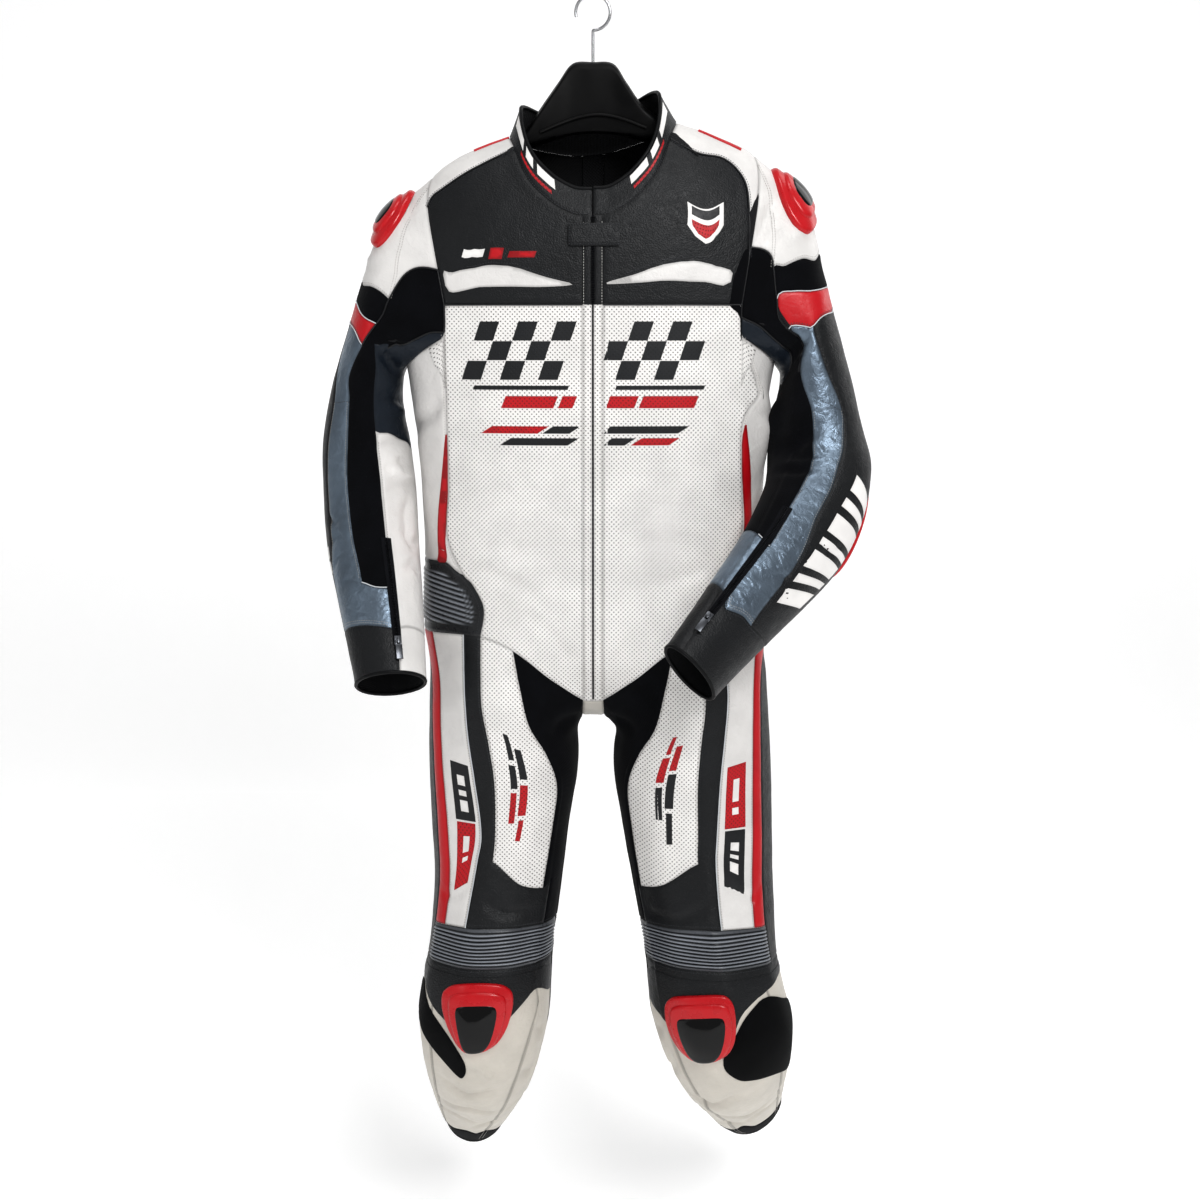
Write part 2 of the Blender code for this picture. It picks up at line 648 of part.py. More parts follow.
def shell(name, net, cells, finish, raised=None, low=-WALL, high=0.0):
    """A closed wall over cells of a net, from low to high along the normals.

    Raised gives each grid point's extra height on the outer face. The edges are moved in by half
    a seam's gap.
    """
    count = net.points.shape[1]

    def key(corner):
        row, column = corner
        return (row, column % count) if net.loop else corner

    quads = [[key(corner) for corner in corners(cell)] for cell in sorted(cells)]
    edges = {}
    for quad in quads:
        for start, end in zip(quad, quad[1:] + quad[:1]):
            edges.setdefault(frozenset((start, end)), []).append((start, end, quad))
    moved = {}
    rim = []
    for found in edges.values():
        if len(found) > 1:
            continue
        start, end, quad = found[0]
        rim.append((start, end))
        a, b = net.points[start], net.points[end]
        normal = net.normals[start] + net.normals[end]
        inward = unit(np.cross(normal, b - a))
        middle = np.mean([net.points[corner] for corner in quad], axis=0)
        if inward @ (middle - a) < 0:
            inward = -inward
        moved.setdefault(start, []).append(inward)
        moved.setdefault(end, []).append(inward)
    used = sorted({corner for quad in quads for corner in quad})
    place = {corner: index for index, corner in enumerate(used)}
    outer, inner = [], []
    for corner in used:
        shift = np.zeros(3)
        if corner in moved:
            ways = moved[corner]
            shift = SEAM / 2 * sum(ways) / (1 + (ways[0] @ ways[1] if len(ways) == 2 else 1))
        extra = raised(corner) if raised else 0.0
        base = net.points[corner] + shift
        outer.append(base + net.normals[corner] * (high + extra))
        inner.append(base + net.normals[corner] * low)
    total = len(used)
    faces = []
    turned = sum(
        np.cross(net.points[b] - net.points[a], net.points[d] - net.points[a]) @ net.normals[a]
        for a, b, c, d in quads
    )
    if turned < 0:
        quads = [quad[::-1] for quad in quads]
    for quad in quads:
        a, b, c, d = quad
        across = np.linalg.norm(net.points[a] - net.points[c])
        other = np.linalg.norm(net.points[b] - net.points[d])
        halves = ((a, b, c), (a, c, d)) if across <= other else ((a, b, d), (b, c, d))
        for half in halves:
            face = [place[corner] for corner in half]
            faces.append(face)
            faces.append([index + total for index in reversed(face)])
    winding = {(start, end) for face in faces for start, end in zip(face, face[1:] + face[:1])}
    for start, end in rim:
        a, b = place[start], place[end]
        if (a, b) not in winding:
            a, b = b, a
        # The rim's diagonal starts at the same end as its neighbour's, so that twisted rims match.
        if tuple(np.round(net.points[used[a]], 6)) < tuple(np.round(net.points[used[b]], 6)):
            faces += [[b, a, a + total], [b, a + total, b + total]]
        else:
            faces += [[b, a, b + total], [a, a + total, b + total]]
    return add_object(name, outer + inner, faces, finish)


def ribbed(net, rows, columns, ribs_per_row):
    """A finer net over a block, straight between the block's lines, and its ribs' heights."""
    count = net.points.shape[1]
    picked = [column % count if net.loop else column for column in range(columns[0], columns[1] + 1)]
    points = net.points[rows[0] : rows[1] + 1][:, picked]
    normals = net.normals[rows[0] : rows[1] + 1][:, picked]
    steps = 2 * ribs_per_row
    fine = np.arange((rows[1] - rows[0]) * steps + 1) / steps
    first = np.minimum(fine.astype(int), rows[1] - rows[0] - 1)
    part = (fine - first)[:, None, None]
    made = Strip(
        points[first] * (1 - part) + points[first + 1] * part,
        normals[first] * (1 - part) + normals[first + 1] * part,
    )

    def raised(corner):
        edge = corner[1] in (0, len(picked) - 1)
        return RIB_HEIGHT * (corner[0] % 2) * (0.25 if edge else 1)

    return made, block((0, len(fine) - 1), (0, len(picked) - 1)), raised


def cup(name, net, place, outline, profile):
    """A moulded cup on a panel."""
    centre, size, lift = place[:2], place[2:4], place[4]
    spokes = len(outline)
    points, faces = [], []
    radii = [share for share, _ in profile]

    def add_face(*indices):
        faces.append(list(indices))

    def layer(height_of):
        start = len(points)
        for index, share in enumerate(radii):
            for row_way, column_way in outline if share > 0 else outline[:1]:
                row = centre[0] + size[0] * share * row_way
                column = centre[1] + size[1] * share * column_way
                point, normal = net.at(row, column)
                points.append(point + normal * height_of(index))
        return start

    top = layer(lambda index: lift + profile[index][1])
    under = layer(lambda index: lift)
    for start, way in ((top, 1), (under, -1)):
        for spoke in range(spokes):
            after = (spoke + 1) % spokes
            add_face(*(start, start + 1 + spoke, start + 1 + after)[::way])
            for index in range(1, len(radii) - 1):
                a = start + 1 + (index - 1) * spokes
                b = a + spokes
                add_face(*(a + spoke, b + spoke, b + after)[::way])
                add_face(*(a + spoke, b + after, a + after)[::way])
    rim = 1 + (len(radii) - 2) * spokes
    for spoke in range(spokes):
        after = (spoke + 1) % spokes
        a, b = top + rim + spoke, top + rim + after
        c, d = under + rim + spoke, under + rim + after
        add_face(a, c, d)
        add_face(a, d, b)
    corners_ = [points[index] for index in faces[0]]
    way = np.cross(corners_[1] - corners_[0], corners_[2] - corners_[0])
    if way @ net.at(*centre)[1] < 0:
        faces = [face[::-1] for face in faces]
    return add_object(name, points, faces, "red moulded plastic")


def oval(count, power, taper=0.0):
    """An outline of count spokes, as shares of its half length and half width."""
    made = []
    for index in range(count):
        angle = 2 * math.pi * index / count
        down = math.copysign(abs(math.cos(angle)) ** (2 / power), math.cos(angle))
        across = math.copysign(abs(math.sin(angle)) ** (2 / power), math.sin(angle))
        made.append((down, across * (1 - taper * down)))
    return made


def box_faces(first):
    return [
        [first + index for index in face]
        for face in ((0, 3, 2, 1), (4, 5, 6, 7), (0, 1, 5, 4), (1, 2, 6, 5), (2, 3, 7, 6), (3, 0, 4, 7))
    ]


def box_object(name, low, high, finish):
    corners_ = [
        (x, y, z)
        for z in (low[2], high[2])
        for x, y in ((low[0], low[1]), (high[0], low[1]), (high[0], high[1]), (low[0], high[1]))
    ]
    return add_object(name, corners_, box_faces(0), finish)


def join(target, others):
    """Unites other solids with the target, and removes them."""
    for other in others:
        modifier = target.modifiers.new("Union", "BOOLEAN")
        modifier.operation = "UNION"
        modifier.object = other
        with bpy.context.temp_override(object=target, active_object=target):
            bpy.ops.object.modifier_apply(modifier=modifier.name)
        bpy.data.objects.remove(other)


# Pieces of the torso.


def make_yoke(side, yoke):
    name = SIDE_NAMES[side]
    flash = block((FLASH_ROW, BAND_ROW), (1, CORNER))
    shell(f"yoke_{name}", yoke, block((0, 5), (0, YOKE_EDGE)) - flash, "black leather")
    shell(f"flash_{name}", yoke, flash, "white leather")
    shell(f"shoulder_{name}", yoke, block((0, 5), (YOKE_EDGE, SHOULDER_BACK)), "white leather")


def make_torso(side, torso):
    name = SIDE_NAMES[side]
    shell(f"front_{name}", torso, block((0, HIP_ROW), (0, SEAM_COLUMN)), "white leather")
    hip = block((RIB_ROW, HIP_ROW), (SEAM_COLUMN, HIP_RIB_END))
    flank = block((0, HIP_ROW), (SEAM_COLUMN, BACK_SEAM)) - hip
    shell(f"side_{name}", torso, flank, "white leather")
    ribs = ribbed(torso, (RIB_ROW, HIP_ROW), (SEAM_COLUMN, HIP_RIB_END), HIP_RIBS_PER_ROW)
    shell(f"hip_ribs_{name}", ribs[0], ribs[1], "black leather", ribs[2])


def make_back(yokes, torsos):
    def across(nets, first, last):
        picked = [(nets[LEFT], column) for column in range(first, last + 1)]
        picked += [(nets[RIGHT], column) for column in range(last, first - 1, -1)]
        return side_by_side(picked)

    upper = across(yokes, SHOULDER_BACK, YOKE_BACK)
    lower = across(torsos, BACK_SEAM, BACK_MID)
    shell("back_yoke", upper, block((0, 5), (0, upper.points.shape[1] - 1)), "black leather")
    shell("back", lower, block((0, HIP_ROW), (0, lower.points.shape[1] - 1)), "white leather")


def make_front_zip(yokes, torsos):
    points, normals = [], []
    for side in (RIGHT, LEFT):
        points.append(np.concatenate([yokes[side].points[:, 0], torsos[side].points[1:, 0]]))
        normals.append(np.concatenate([yokes[side].normals[:, 0], torsos[side].normals[1:, 0]]))
    points.insert(1, (points[0] + points[1]) / 2)
    normals.insert(1, normals[0] + normals[1])
    strip = Strip(np.stack(points, axis=1), np.stack(normals, axis=1))
    rows = len(strip.points) - 1
    shell(
        "front_zip",
        strip,
        block((0, rows), (0, 2)),
        "black leather",
        lambda corner: ZIP_RIDGE * (corner[1] == 1 and 0 < corner[0] < rows),
    )


def collar_net(yokes):
    """Stands on the neck's seam and leans in. Its ends meet over the zip."""
    base = []
    for side in (LEFT, RIGHT):
        line = [yokes[side].points[0, column] for column in range(YOKE_BACK + 1)]
        end = line[0].copy()
        end[0] = side * 0.001
        line = [end] + line
        base += line[::-1] if side == RIGHT else line
    base = np.array(base)
    rows = [base]
    for share in COLLAR_ROWS:
        row = []
        for index, point in enumerate(base):
            round_ = math.sin(math.pi * index / (len(base) - 1)) ** 2
            back = min(max(point[1] / 0.06, 0), 1)
            side_height = COLLAR_SIDE + (COLLAR_BACK - COLLAR_SIDE) * back
            height = COLLAR_FRONT + (side_height - COLLAR_FRONT) * round_
            lean = COLLAR_LEAN[RIGHT if point[0] < 0 else LEFT]
            shift = COLLAR_FORWARD - COLLAR_LEAN_IN * point[1]
            inward = np.array((-lean * point[0] * round_, shift, height))
            row.append(point + inward * share)
        rows.append(row)
    return Net(rows, 1)


def make_collar(net):
    """A stand collar with a thicker rim, clear of the zip's top."""
    net.points[0] += np.array((0, 0, COLLAR_CLEAR))
    columns = net.points.shape[1] - 1
    shell(
        "collar",
        net,
        block((0, 3), (0, columns)),
        "black leather",
        lambda corner: COLLAR_RIM * (corner[0] >= 2),
    )


def make_neck_tab():
    """The strap that closes the collar's foot, across the top of the zip."""
    points, normals = [], []
    for z in np.linspace(*TAB_Z, 4):
        line, outs = [], []
        for x in np.linspace(*TAB_X, 7):
            side = LEFT if x > 0 else RIGHT
            point = yoke_at(side, abs(x), over_of(side, abs(x), z))
            above = yoke_at(side, abs(x), over_of(side, abs(x), z + 0.002))
            line.append(point)
            outs.append(unit(np.cross((1, 0, 0), above - point)))
        points.append(line)
        normals.append(outs)
    shell("neck_tab", Strip(points, normals), block((0, 3), (0, 6)), "black leather", None, *TAB_LAYER)


# Pieces of a sleeve.


def make_sleeve(side, net):
    name = SIDE_NAMES[side]
    count = len(SLEEVE_TURNS)
    around = (12, count + 3)
    shell(f"sleeve_cap_{name}", net, block((0, CAP_ROW), around), "white leather")
    shell(f"sleeve_band_{name}", net, block((BLACK_BAND_ROW, RED_BAND_ROW), around), "red leather")
    stretch = block((0, RED_BAND_ROW), (3, 7)) | block((RED_BAND_ROW, WRIST_ROW), (3, 5))
    stretch |= {(CAP_ROW, column % count) for column in range(*around)}
    shell(f"sleeve_stretch_{name}", net, stretch, "black stretch")
    outer = block((RED_BAND_ROW, CUFF_ROW), (12, count + 1))
    outer |= block((RED_BAND_ROW, TIP_ROW), (count + 1, count + 3))
    shell(f"sleeve_outer_{name}", net, outer, "black leather")
    strip = block((TIP_ROW, CUFF_ROW), (1, 3)) | block((WRIST_ROW, CUFF_ROW), (3, 5))
    shell(f"sleeve_strip_{name}", net, strip, "grey metallic leather")
    under = block((0, RED_BAND_ROW), (7, 12)) | block((RED_BAND_ROW, CUFF_ROW), (5, 12))
    shell(f"sleeve_under_{name}", net, under, "navy leather")
    shell(
        f"cuff_{name}",
        net,
        block((CUFF_ROW, CUFF_END), (0, count)),
        "black leather",
        lambda corner: CUFF_RIM * (corner[0] == CUFF_END),
    )
    cup(f"shoulder_cup_{name}", net, SHOULDER_CUP[side], oval(14, 2.4), SHOULDER_PROFILE)
    cup(f"elbow_cup_{name}", net, ELBOW_CUP[side], oval(14, 2.6), ELBOW_PROFILE)


# Pieces of a leg.


def make_leg(side, net):
    name = SIDE_NAMES[side]
    count = net.points.shape[1]
    shell(f"thigh_front_{name}", net, block((0, PERFORATED_ROW), (3, 5)), "white leather")
    black = block((0, PERFORATED_ROW), (2, 3)) | block((PERFORATED_ROW, KNEE_RIB_ROW), (2, 6))
    shell(f"thigh_side_{name}", net, black, "black leather")
    shell(f"thigh_stripe_{name}", net, block((0, KNEE_RIB_ROW), (0, 2)), "white leather")
    inner = block((0, PERFORATED_ROW), (5, 13)) | block((PERFORATED_ROW, KNEE_RIB_ROW), (6, 13))
    shell(f"thigh_inner_{name}", net, inner, "black stretch")
    shell(f"thigh_back_{name}", net, block((0, KNEE_RIB_END), (13, count)), "black leather")
    ribs = ribbed(net, (KNEE_RIB_ROW, KNEE_RIB_END), (0, 9), KNEE_RIBS)
    shell(f"knee_ribs_{name}", ribs[0], ribs[1], "black leather", ribs[2])
    shell(f"shin_{name}", net, block((KNEE_RIB_END, LEG_END), (1, 5)), "white leather")
    calf = block((KNEE_RIB_END, LEG_END), (5, count + 1)) | block((KNEE_RIB_ROW, KNEE_RIB_END), (9, 13))
    shell(f"calf_{name}", net, calf, "black leather")
    cup(f"knee_cup_{name}", net, KNEE_CUP[side], oval(16, 4.0, 0.26), KNEE_PROFILE)


def frame_on(net, row, column):
    """Axes on a net's surface as a matrix: across it, down it and out of it."""
    point, out = net.at(row, column)
    down = net.at(row + 0.8, column)[0] - point
    down = unit(down - out * (down @ out))
    across = np.cross(down, out)
    return Matrix([(*axes, place) for *axes, place in zip(across, down, out, point)] + [(0, 0, 0, 1)])


def boxes_object(name, boxes, finish, matrix):
    """One solid of boxes that overlap, each from a low to a high corner, in the matrix's axes."""
    parts = [box_object(f"{name}_{index}", *corners_, finish) for index, corners_ in enumerate(boxes)]
    first = parts[0]
    join(first, parts[1:])
    first.name = name
    first.data.name = name
    first.matrix_world = matrix
    return first


def make_wrist_zip(side, net):
    """The zip up the forearm's seam, its slider and arch, and the pull that hangs from the arch."""
    name = SIDE_NAMES[side]
    rows = np.linspace(ZIP_START, ZIP_END, 6)
    columns = (ZIP_COLUMN - ZIP_SHARE, ZIP_COLUMN, ZIP_COLUMN + ZIP_SHARE)
    grid = np.array([[net.at(row, column) for column in columns] for row in rows])
    tape = Strip(grid[:, :, 0], grid[:, :, 1])
    cells = block((0, 5), (0, 2))
    made = shell(f"wrist_zip_{name}", tape, cells, "black stretch", None, TRIM_LIFT, TAPE_TOP)
    frame = frame_on(net, ZIP_END - 0.15, ZIP_COLUMN)
    join(made, [boxes_object("slider", SLIDER, "dark metal", frame)])
    hinge = frame @ Matrix.Translation((0, 0, PULL_AXIS))
    boxes_object(f"pull_{name}", PULL, "dark metal", hinge)


def tube(name, path, radius, sides, finish):
    """A closed round bar along a path in the XZ plane."""
    path = np.asarray(path, float)
    ways = unit(np.gradient(path, axis=0))
    points, faces = [], []
    for point, way in zip(path, ways):
        across = np.cross(way, (0, 1, 0))
        for index in range(sides):
            angle = 2 * math.pi * index / sides
            points.append(point + radius * (math.cos(angle) * across + math.sin(angle) * np.array((0, 1, 0))))
    for ring_ in range(len(path) - 1):
        for index in range(sides):
            a = ring_ * sides + index
            b = ring_ * sides + (index + 1) % sides
            faces.append([a, b, b + sides, a + sides])
    faces.append(list(range(sides))[::-1])
    faces.append(list(range((len(path) - 1) * sides, len(path) * sides)))
    return add_object(name, points, faces, finish)


def hanger_section(x, top, foot, deep):
    """A closed outline round the hanger: a shallow roof over rounded sides."""
    roof = 0.26 * deep
    outline = [(0, top), (0.5 * deep, top - 0.4 * roof), (0.92 * deep, top - 1.1 * roof)]
    outline += [(deep, top - 1.9 * roof), (0.85 * deep, foot + 0.002), (0.35 * deep, foot)]
    mirrored = [(-y, z) for y, z in outline[:0:-1]]
    return [(x, y, z) for y, z in outline + mirrored]


def make_hanger(yokes):
    """The hump in the neck, the arms under the shoulders and a fixed hook of wire."""
    sections = {}
    for side in (RIGHT, LEFT):
        yoke = yokes[side]
        arms = []
        for row in range(4):
            point, normal = yoke.points[row, RIDGE_COLUMN], yoke.normals[row, RIDGE_COLUMN]
            under = point - normal * (WALL + HANGER_GAP)
            arms.append((under[0], under[2], under[2] - HANGER_ARM, HANGER_DEPTH))
        sections[side] = arms
    rows = sections[RIGHT][::-1] + list(HUMP) + sections[LEFT]
    outlines = [hanger_section(*row) for row in rows]
    count = len(outlines[0])
    points = [point for outline in outlines for point in outline]
    faces = []
    for ring_ in range(len(outlines) - 1):
        for index in range(count):
            a = ring_ * count + index
            b = ring_ * count + (index + 1) % count
            faces.append([a, a + count, b + count, b])
    faces.append(list(range(count)))
    faces.append(list(range(len(points) - count, len(points)))[::-1])
    hanger = add_object("hanger", points, faces, "black moulded plastic")
    middle = -HOOK_RADIUS + HOOK_WIRE
    path = [(0, 0, HANGER_TOP - 0.012), (0, 0, middle - HOOK_RADIUS - 0.006)]
    for degrees in range(-90, 205, 15):
        angle = math.radians(degrees)
        path.append((HOOK_RADIUS * math.cos(angle), 0, middle + HOOK_RADIUS * math.sin(angle)))
    join(hanger, [tube("hook", path, HOOK_WIRE, 8, "steel")])


def main():
    for old in list(bpy.data.objects):
        bpy.data.objects.remove(old)
    yokes = {side: yoke_net(side) for side in (RIGHT, LEFT)}
    torsos = {side: torso_net(side, yokes[side]) for side in (RIGHT, LEFT)}
    sleeves = {side: sleeve_net(side, yokes[side], torsos[side]) for side in (RIGHT, LEFT)}
    legs = {side: leg_net(side, torsos[side]) for side in (RIGHT, LEFT)}
    gusset = gusset_net(torsos)
    collar = collar_net(yokes)
    share_normals([*yokes.values(), *torsos.values(), *sleeves.values(), *legs.values(), gusset, collar])
    for side in (RIGHT, LEFT):
        make_yoke(side, yokes[side])
        make_torso(side, torsos[side])
        make_sleeve(side, sleeves[side])
        make_wrist_zip(side, sleeves[side])
        make_leg(side, legs[side])
    make_back(yokes, torsos)
    make_front_zip(yokes, torsos)
    shell("gusset", gusset, block((0, 1), (0, 4)), "white leather")
    make_collar(collar)
    make_neck_tab()
    make_hanger(yokes)


if __name__ == "__main__":
    main()
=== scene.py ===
"""A one-piece leather motorcycle race suit on a broad hanger: its visual model, built on the CAD frame.

The leather is cut as panels of the same nets as the CAD solids, each a thin shell with its seams,
creases, lining and stitching. Laid out as an add-on: its sizes and colours are properties, each
group of pieces is an operator, and a panel in the sidebar calls them.
"""

import math

import bpy
import numpy as np
from mathutils import Matrix, Vector, noise
from mathutils.geometry import delaunay_2d_cdt


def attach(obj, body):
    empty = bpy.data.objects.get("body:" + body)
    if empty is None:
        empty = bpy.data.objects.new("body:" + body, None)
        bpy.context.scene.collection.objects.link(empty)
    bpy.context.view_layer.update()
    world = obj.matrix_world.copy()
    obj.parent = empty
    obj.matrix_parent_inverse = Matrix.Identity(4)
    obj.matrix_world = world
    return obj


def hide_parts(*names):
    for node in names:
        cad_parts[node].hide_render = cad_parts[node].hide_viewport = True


bl_info = {
    "name": "Race suit",
    "version": (1, 0, 0),
    "blender": (4, 5, 0),
    "location": "View3D > Sidebar > Race suit",
    "description": "Builds a leather race suit on its hanger",
    "category": "Object",
}


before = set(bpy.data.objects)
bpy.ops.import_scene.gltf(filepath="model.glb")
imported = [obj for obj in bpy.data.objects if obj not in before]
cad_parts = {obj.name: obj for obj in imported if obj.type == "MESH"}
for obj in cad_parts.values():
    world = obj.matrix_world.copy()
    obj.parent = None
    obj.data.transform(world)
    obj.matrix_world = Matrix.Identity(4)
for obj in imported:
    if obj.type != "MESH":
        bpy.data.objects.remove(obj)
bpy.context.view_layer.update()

# The suit's sizes, as in its CAD model.

RIGHT, LEFT = -1, 1  # the wearer's sides, as signs of X
BOTH, MIDDLE = (RIGHT, LEFT), (None,)
SIDE_NAMES = {RIGHT: "right", LEFT: "left"}

# Driving sizes, in metres.
WALL = 0.002  # leather with its lining
FOLD = 0.7  # normals whose mean is shorter than this meet in a deep fold
ZIP_HALF = 0.013  # half of the front zip's placket
ZIP_RIDGE = 0.001  # the placket's middle
STRIPE_WIDTH, STRIPE_SPREAD = 0.012, 0.01  # of the side stripe, and what it gains over the hip
CHEST_Z = -0.389  # seam under the yoke
STRIPE_Z = -0.549  # where the side stripe starts
RIB_TOP_SIDE, RIB_TOP_FRONT = -0.717, -0.734  # top of the hip's ribs
SPREAD_LEVEL = -0.747  # under it, the side stripe's gain
SEAM_SHIFT = 0.004  # how much nearer to the middle the side panel's seam runs behind
HIP_LEVEL = -0.82  # just under the hip line
ARMPIT_LEVEL = -0.44
KNEE_RIBS = 11  # in one row of the leg's net
HIP_PITCH, HIP_SLANT, HIP_BORDER = 0.0064, 0.22, 0.012  # of the hip's ribs, which end in a plain border
ROUNDNESS = 2.6  # power of the torso's rings
ARCH = 2.4  # power of the arch over the shoulders
COLLAR_FRONT, COLLAR_SIDE, COLLAR_BACK = 0.034, 0.043, 0.042  # collar heights
COLLAR_LEAN = {RIGHT: 0.27, LEFT: 0.42}  # how far the collar leans in, as a share of the neck
COLLAR_LEAN_IN, COLLAR_FORWARD = 0.1, 0.002  # the same from front to back, and its shift
COLLAR_ROWS = (0.45, 0.9, 1.0)  # as shares of its height
COLLAR_GAP, COLLAR_DEPTH = 0.001, 0.06  # half of the gap over the zip, and from the side to the back
HOOK_RADIUS = 0.022
HOOK_WIRE = 0.002
HANGER_TOP = -0.081
HANGER_GAP = 0.001  # between an arm and the shoulder over it
HANGER_ARM = 0.017  # thickness of an arm
HANGER_DEPTH = 0.022  # half depth of an arm
PULL_AXIS = 0.006  # height of a zip pull's hinge over the sleeve
PULL_LENGTH = 0.024

# Half widths at the wearer's right and left, and depths to front and back, of the torso's rings.
TORSO = (
    # z, right, left, front, back
    (-0.96, 0.232, 0.24, 0.02, 0.04), (-0.905, 0.231, 0.24, 0.06, 0.086),
    (-0.87, 0.23, 0.238, 0.09, 0.106), (-0.815, 0.227, 0.232, 0.106, 0.116),
    (-0.72, 0.225, 0.227, 0.106, 0.104), (-0.64, 0.226, 0.225, 0.103, 0.096),
    (-0.549, 0.234, 0.228, 0.104, 0.098), (-0.46, 0.246, 0.239, 0.103, 0.102),
    (-0.389, 0.262, 0.258, 0.1, 0.1),
)
# Height of the shoulder's ridge, from the neck out.
RIDGE = {
    RIGHT: (
        # x, z
        (0.0, -0.16), (0.05, -0.163), (0.107, -0.176), (0.158, -0.193), (0.189, -0.211), (0.22, -0.238),
    ),
    LEFT: ((0.0, -0.16), (0.05, -0.152), (0.1, -0.156), (0.149, -0.171), (0.196, -0.19), (0.22, -0.209)),
}
# The neck's seam. Over is -1 at the chest seam in front, 0 on the ridge and 1 at the seam behind.
NECK = (
    # place along it, x, over
    (0.0, 0.0, -0.735), (0.15, 0.04, -0.7), (0.35, 0.082, -0.54), (0.5, 0.101, -0.27), (0.65, 0.107, 0.0),
    (0.8, 0.088, 0.23), (0.92, 0.046, 0.35), (1.0, 0.0, 0.38),
)
# The armhole's upper part, over the shoulder.
ARMHOLE = (
    # over, x
    (-1.0, 0.188), (-0.75, 0.202), (-0.5, 0.21), (-0.3, 0.211), (0.0, 0.206), (0.3, 0.211), (0.5, 0.21),
    (0.75, 0.202), (1.0, 0.188),
)
ARMHOLE_STEPS = (-0.75, -0.5, -0.3, -0.13, 0.0, 0.13, 0.3, 0.5, 0.75)
# The front seam of the side panel, which turns in over the hip.
SIDE_SEAM = (
    # z, x
    (-0.82, 0.146), (-0.765, 0.15), (-0.728, 0.176), (-0.69, 0.19), (-0.549, 0.187), (-0.425, 0.189),
)
# The seam between torso and legs, falling to the crotch.
HIP_LINE = (
    # x, z
    (0.013, -0.905), (0.06, -0.867), (0.104, -0.831), (0.146, -0.814), (0.2, -0.812), (0.24, -0.817),
)
# The armhole's lower part, from the front seam of the side panel to the back one.
ARMPIT = (-0.425, -0.437, -0.455, -0.462, -0.455, -0.43)
TORSO_LEVELS = (STRIPE_Z, -0.62, -0.685)  # rows between the armpit and the hip's ribs
# The yoke's columns at the chest seam, from the zip to the armhole, and behind from there back.
CHEST_X = (ZIP_HALF, 0.022, 0.062, 0.103, 0.146, 0.188)
BACK_X = (0.188, 0.125, 0.065, ZIP_HALF)
# Where those columns start along the neck's seam.
NECK_PLACES = (
    0.047, 0.09, 0.17, 0.25, 0.32, 0.39, 0.45, 0.5, 0.55, 0.6, 0.65, 0.7, 0.75, 0.79, 0.83, 0.87, 0.91,
    0.95, 0.975,
)
# The yoke's rows, as shares of the way out from the neck.
YOKE_ROWS = (
    # at the zip, at the armhole
    (0.0, 0.0), (0.3, 0.3), (0.58, 0.58), (0.86, 0.83), (0.9, 0.936), (1.0, 1.0),
)
# The torso's columns in front and behind, as shares of the way from the middle to the side seam.
FRONT_SHARES = (0.22, 0.4, 0.56, 0.71, 0.86, 1.0)
BACK_SHARES = (0.66, 0.34)
GUSSET_HALF = 0.014
# The gusset's middle line, between its ends at front and back.
GUSSET = (
    # y, z
    (-0.032, -0.926), (0.012, -0.938), (0.056, -0.928),
)

# Rings of a sleeve. Tilt raises the ring's outer side, and pitch its front, in degrees.
SLEEVES = {
    RIGHT: (
        # x, y, z, half width, half depth, tilt, pitch
        (0.2755, 0.0, -0.421, 0.0661, 0.072, 67, 0), (0.285, 0.0, -0.4575, 0.0558, 0.069, 53, 0),
        (0.297, 0.0, -0.513, 0.05, 0.064, 19, 0), (0.3, -0.002, -0.565, 0.057, 0.061, 0, 0),
        (0.296, -0.012, -0.625, 0.061, 0.06, 0, 10), (0.288, -0.048, -0.695, 0.06, 0.058, 0, 27),
        (0.275, -0.09, -0.76, 0.055, 0.052, 0, 31), (0.264, -0.124, -0.815, 0.0495, 0.046, -3, 31),
        (0.256, -0.152, -0.862, 0.0455, 0.042, -5, 31),
    ),
    LEFT: (
        (0.273, 0.0, -0.4115, 0.0718, 0.072, 68, 0), (0.279, -0.008, -0.45, 0.061, 0.068, 55, 0),
        (0.286, -0.018, -0.503, 0.0562, 0.063, 29, 0), (0.292, -0.03, -0.56, 0.0609, 0.06, 14, 6),
        (0.293, -0.052, -0.611, 0.068, 0.06, 0, 20), (0.272, -0.092, -0.668, 0.067, 0.058, -24, 33),
        (0.222, -0.15, -0.727, 0.058, 0.052, -38, 35), (0.163, -0.208, -0.783, 0.048, 0.045, -43, 35),
        (0.1175, -0.252, -0.8285, 0.042, 0.04, -44, 35),
    ),
}
# Place of each column round a sleeve, as turns from its outer side by way of its front.
SLEEVE_TURNS = (
    0.0, 0.065, 0.12, 0.175, 0.235, 0.292, 0.345, 0.395, 0.45, 0.505, 0.56, 0.62, 0.69, 0.755, 0.82, 0.88,
    0.94,
)
# Place of each row along a sleeve, as rings from the armhole.
SLEEVE_ROWS = (0, 1, 2, 2.5, 3, 3.6, 4.2, 5, 5.8, 6.5, 7.2, 7.8, 8.75, 9.4, 10)
CROWN_FULLNESS = {RIGHT: 0.02, LEFT: 0.025}  # how far the sleeve's head rounds out over the shoulder
CROWN_WAY = (0.8, 0.6)  # outward and up

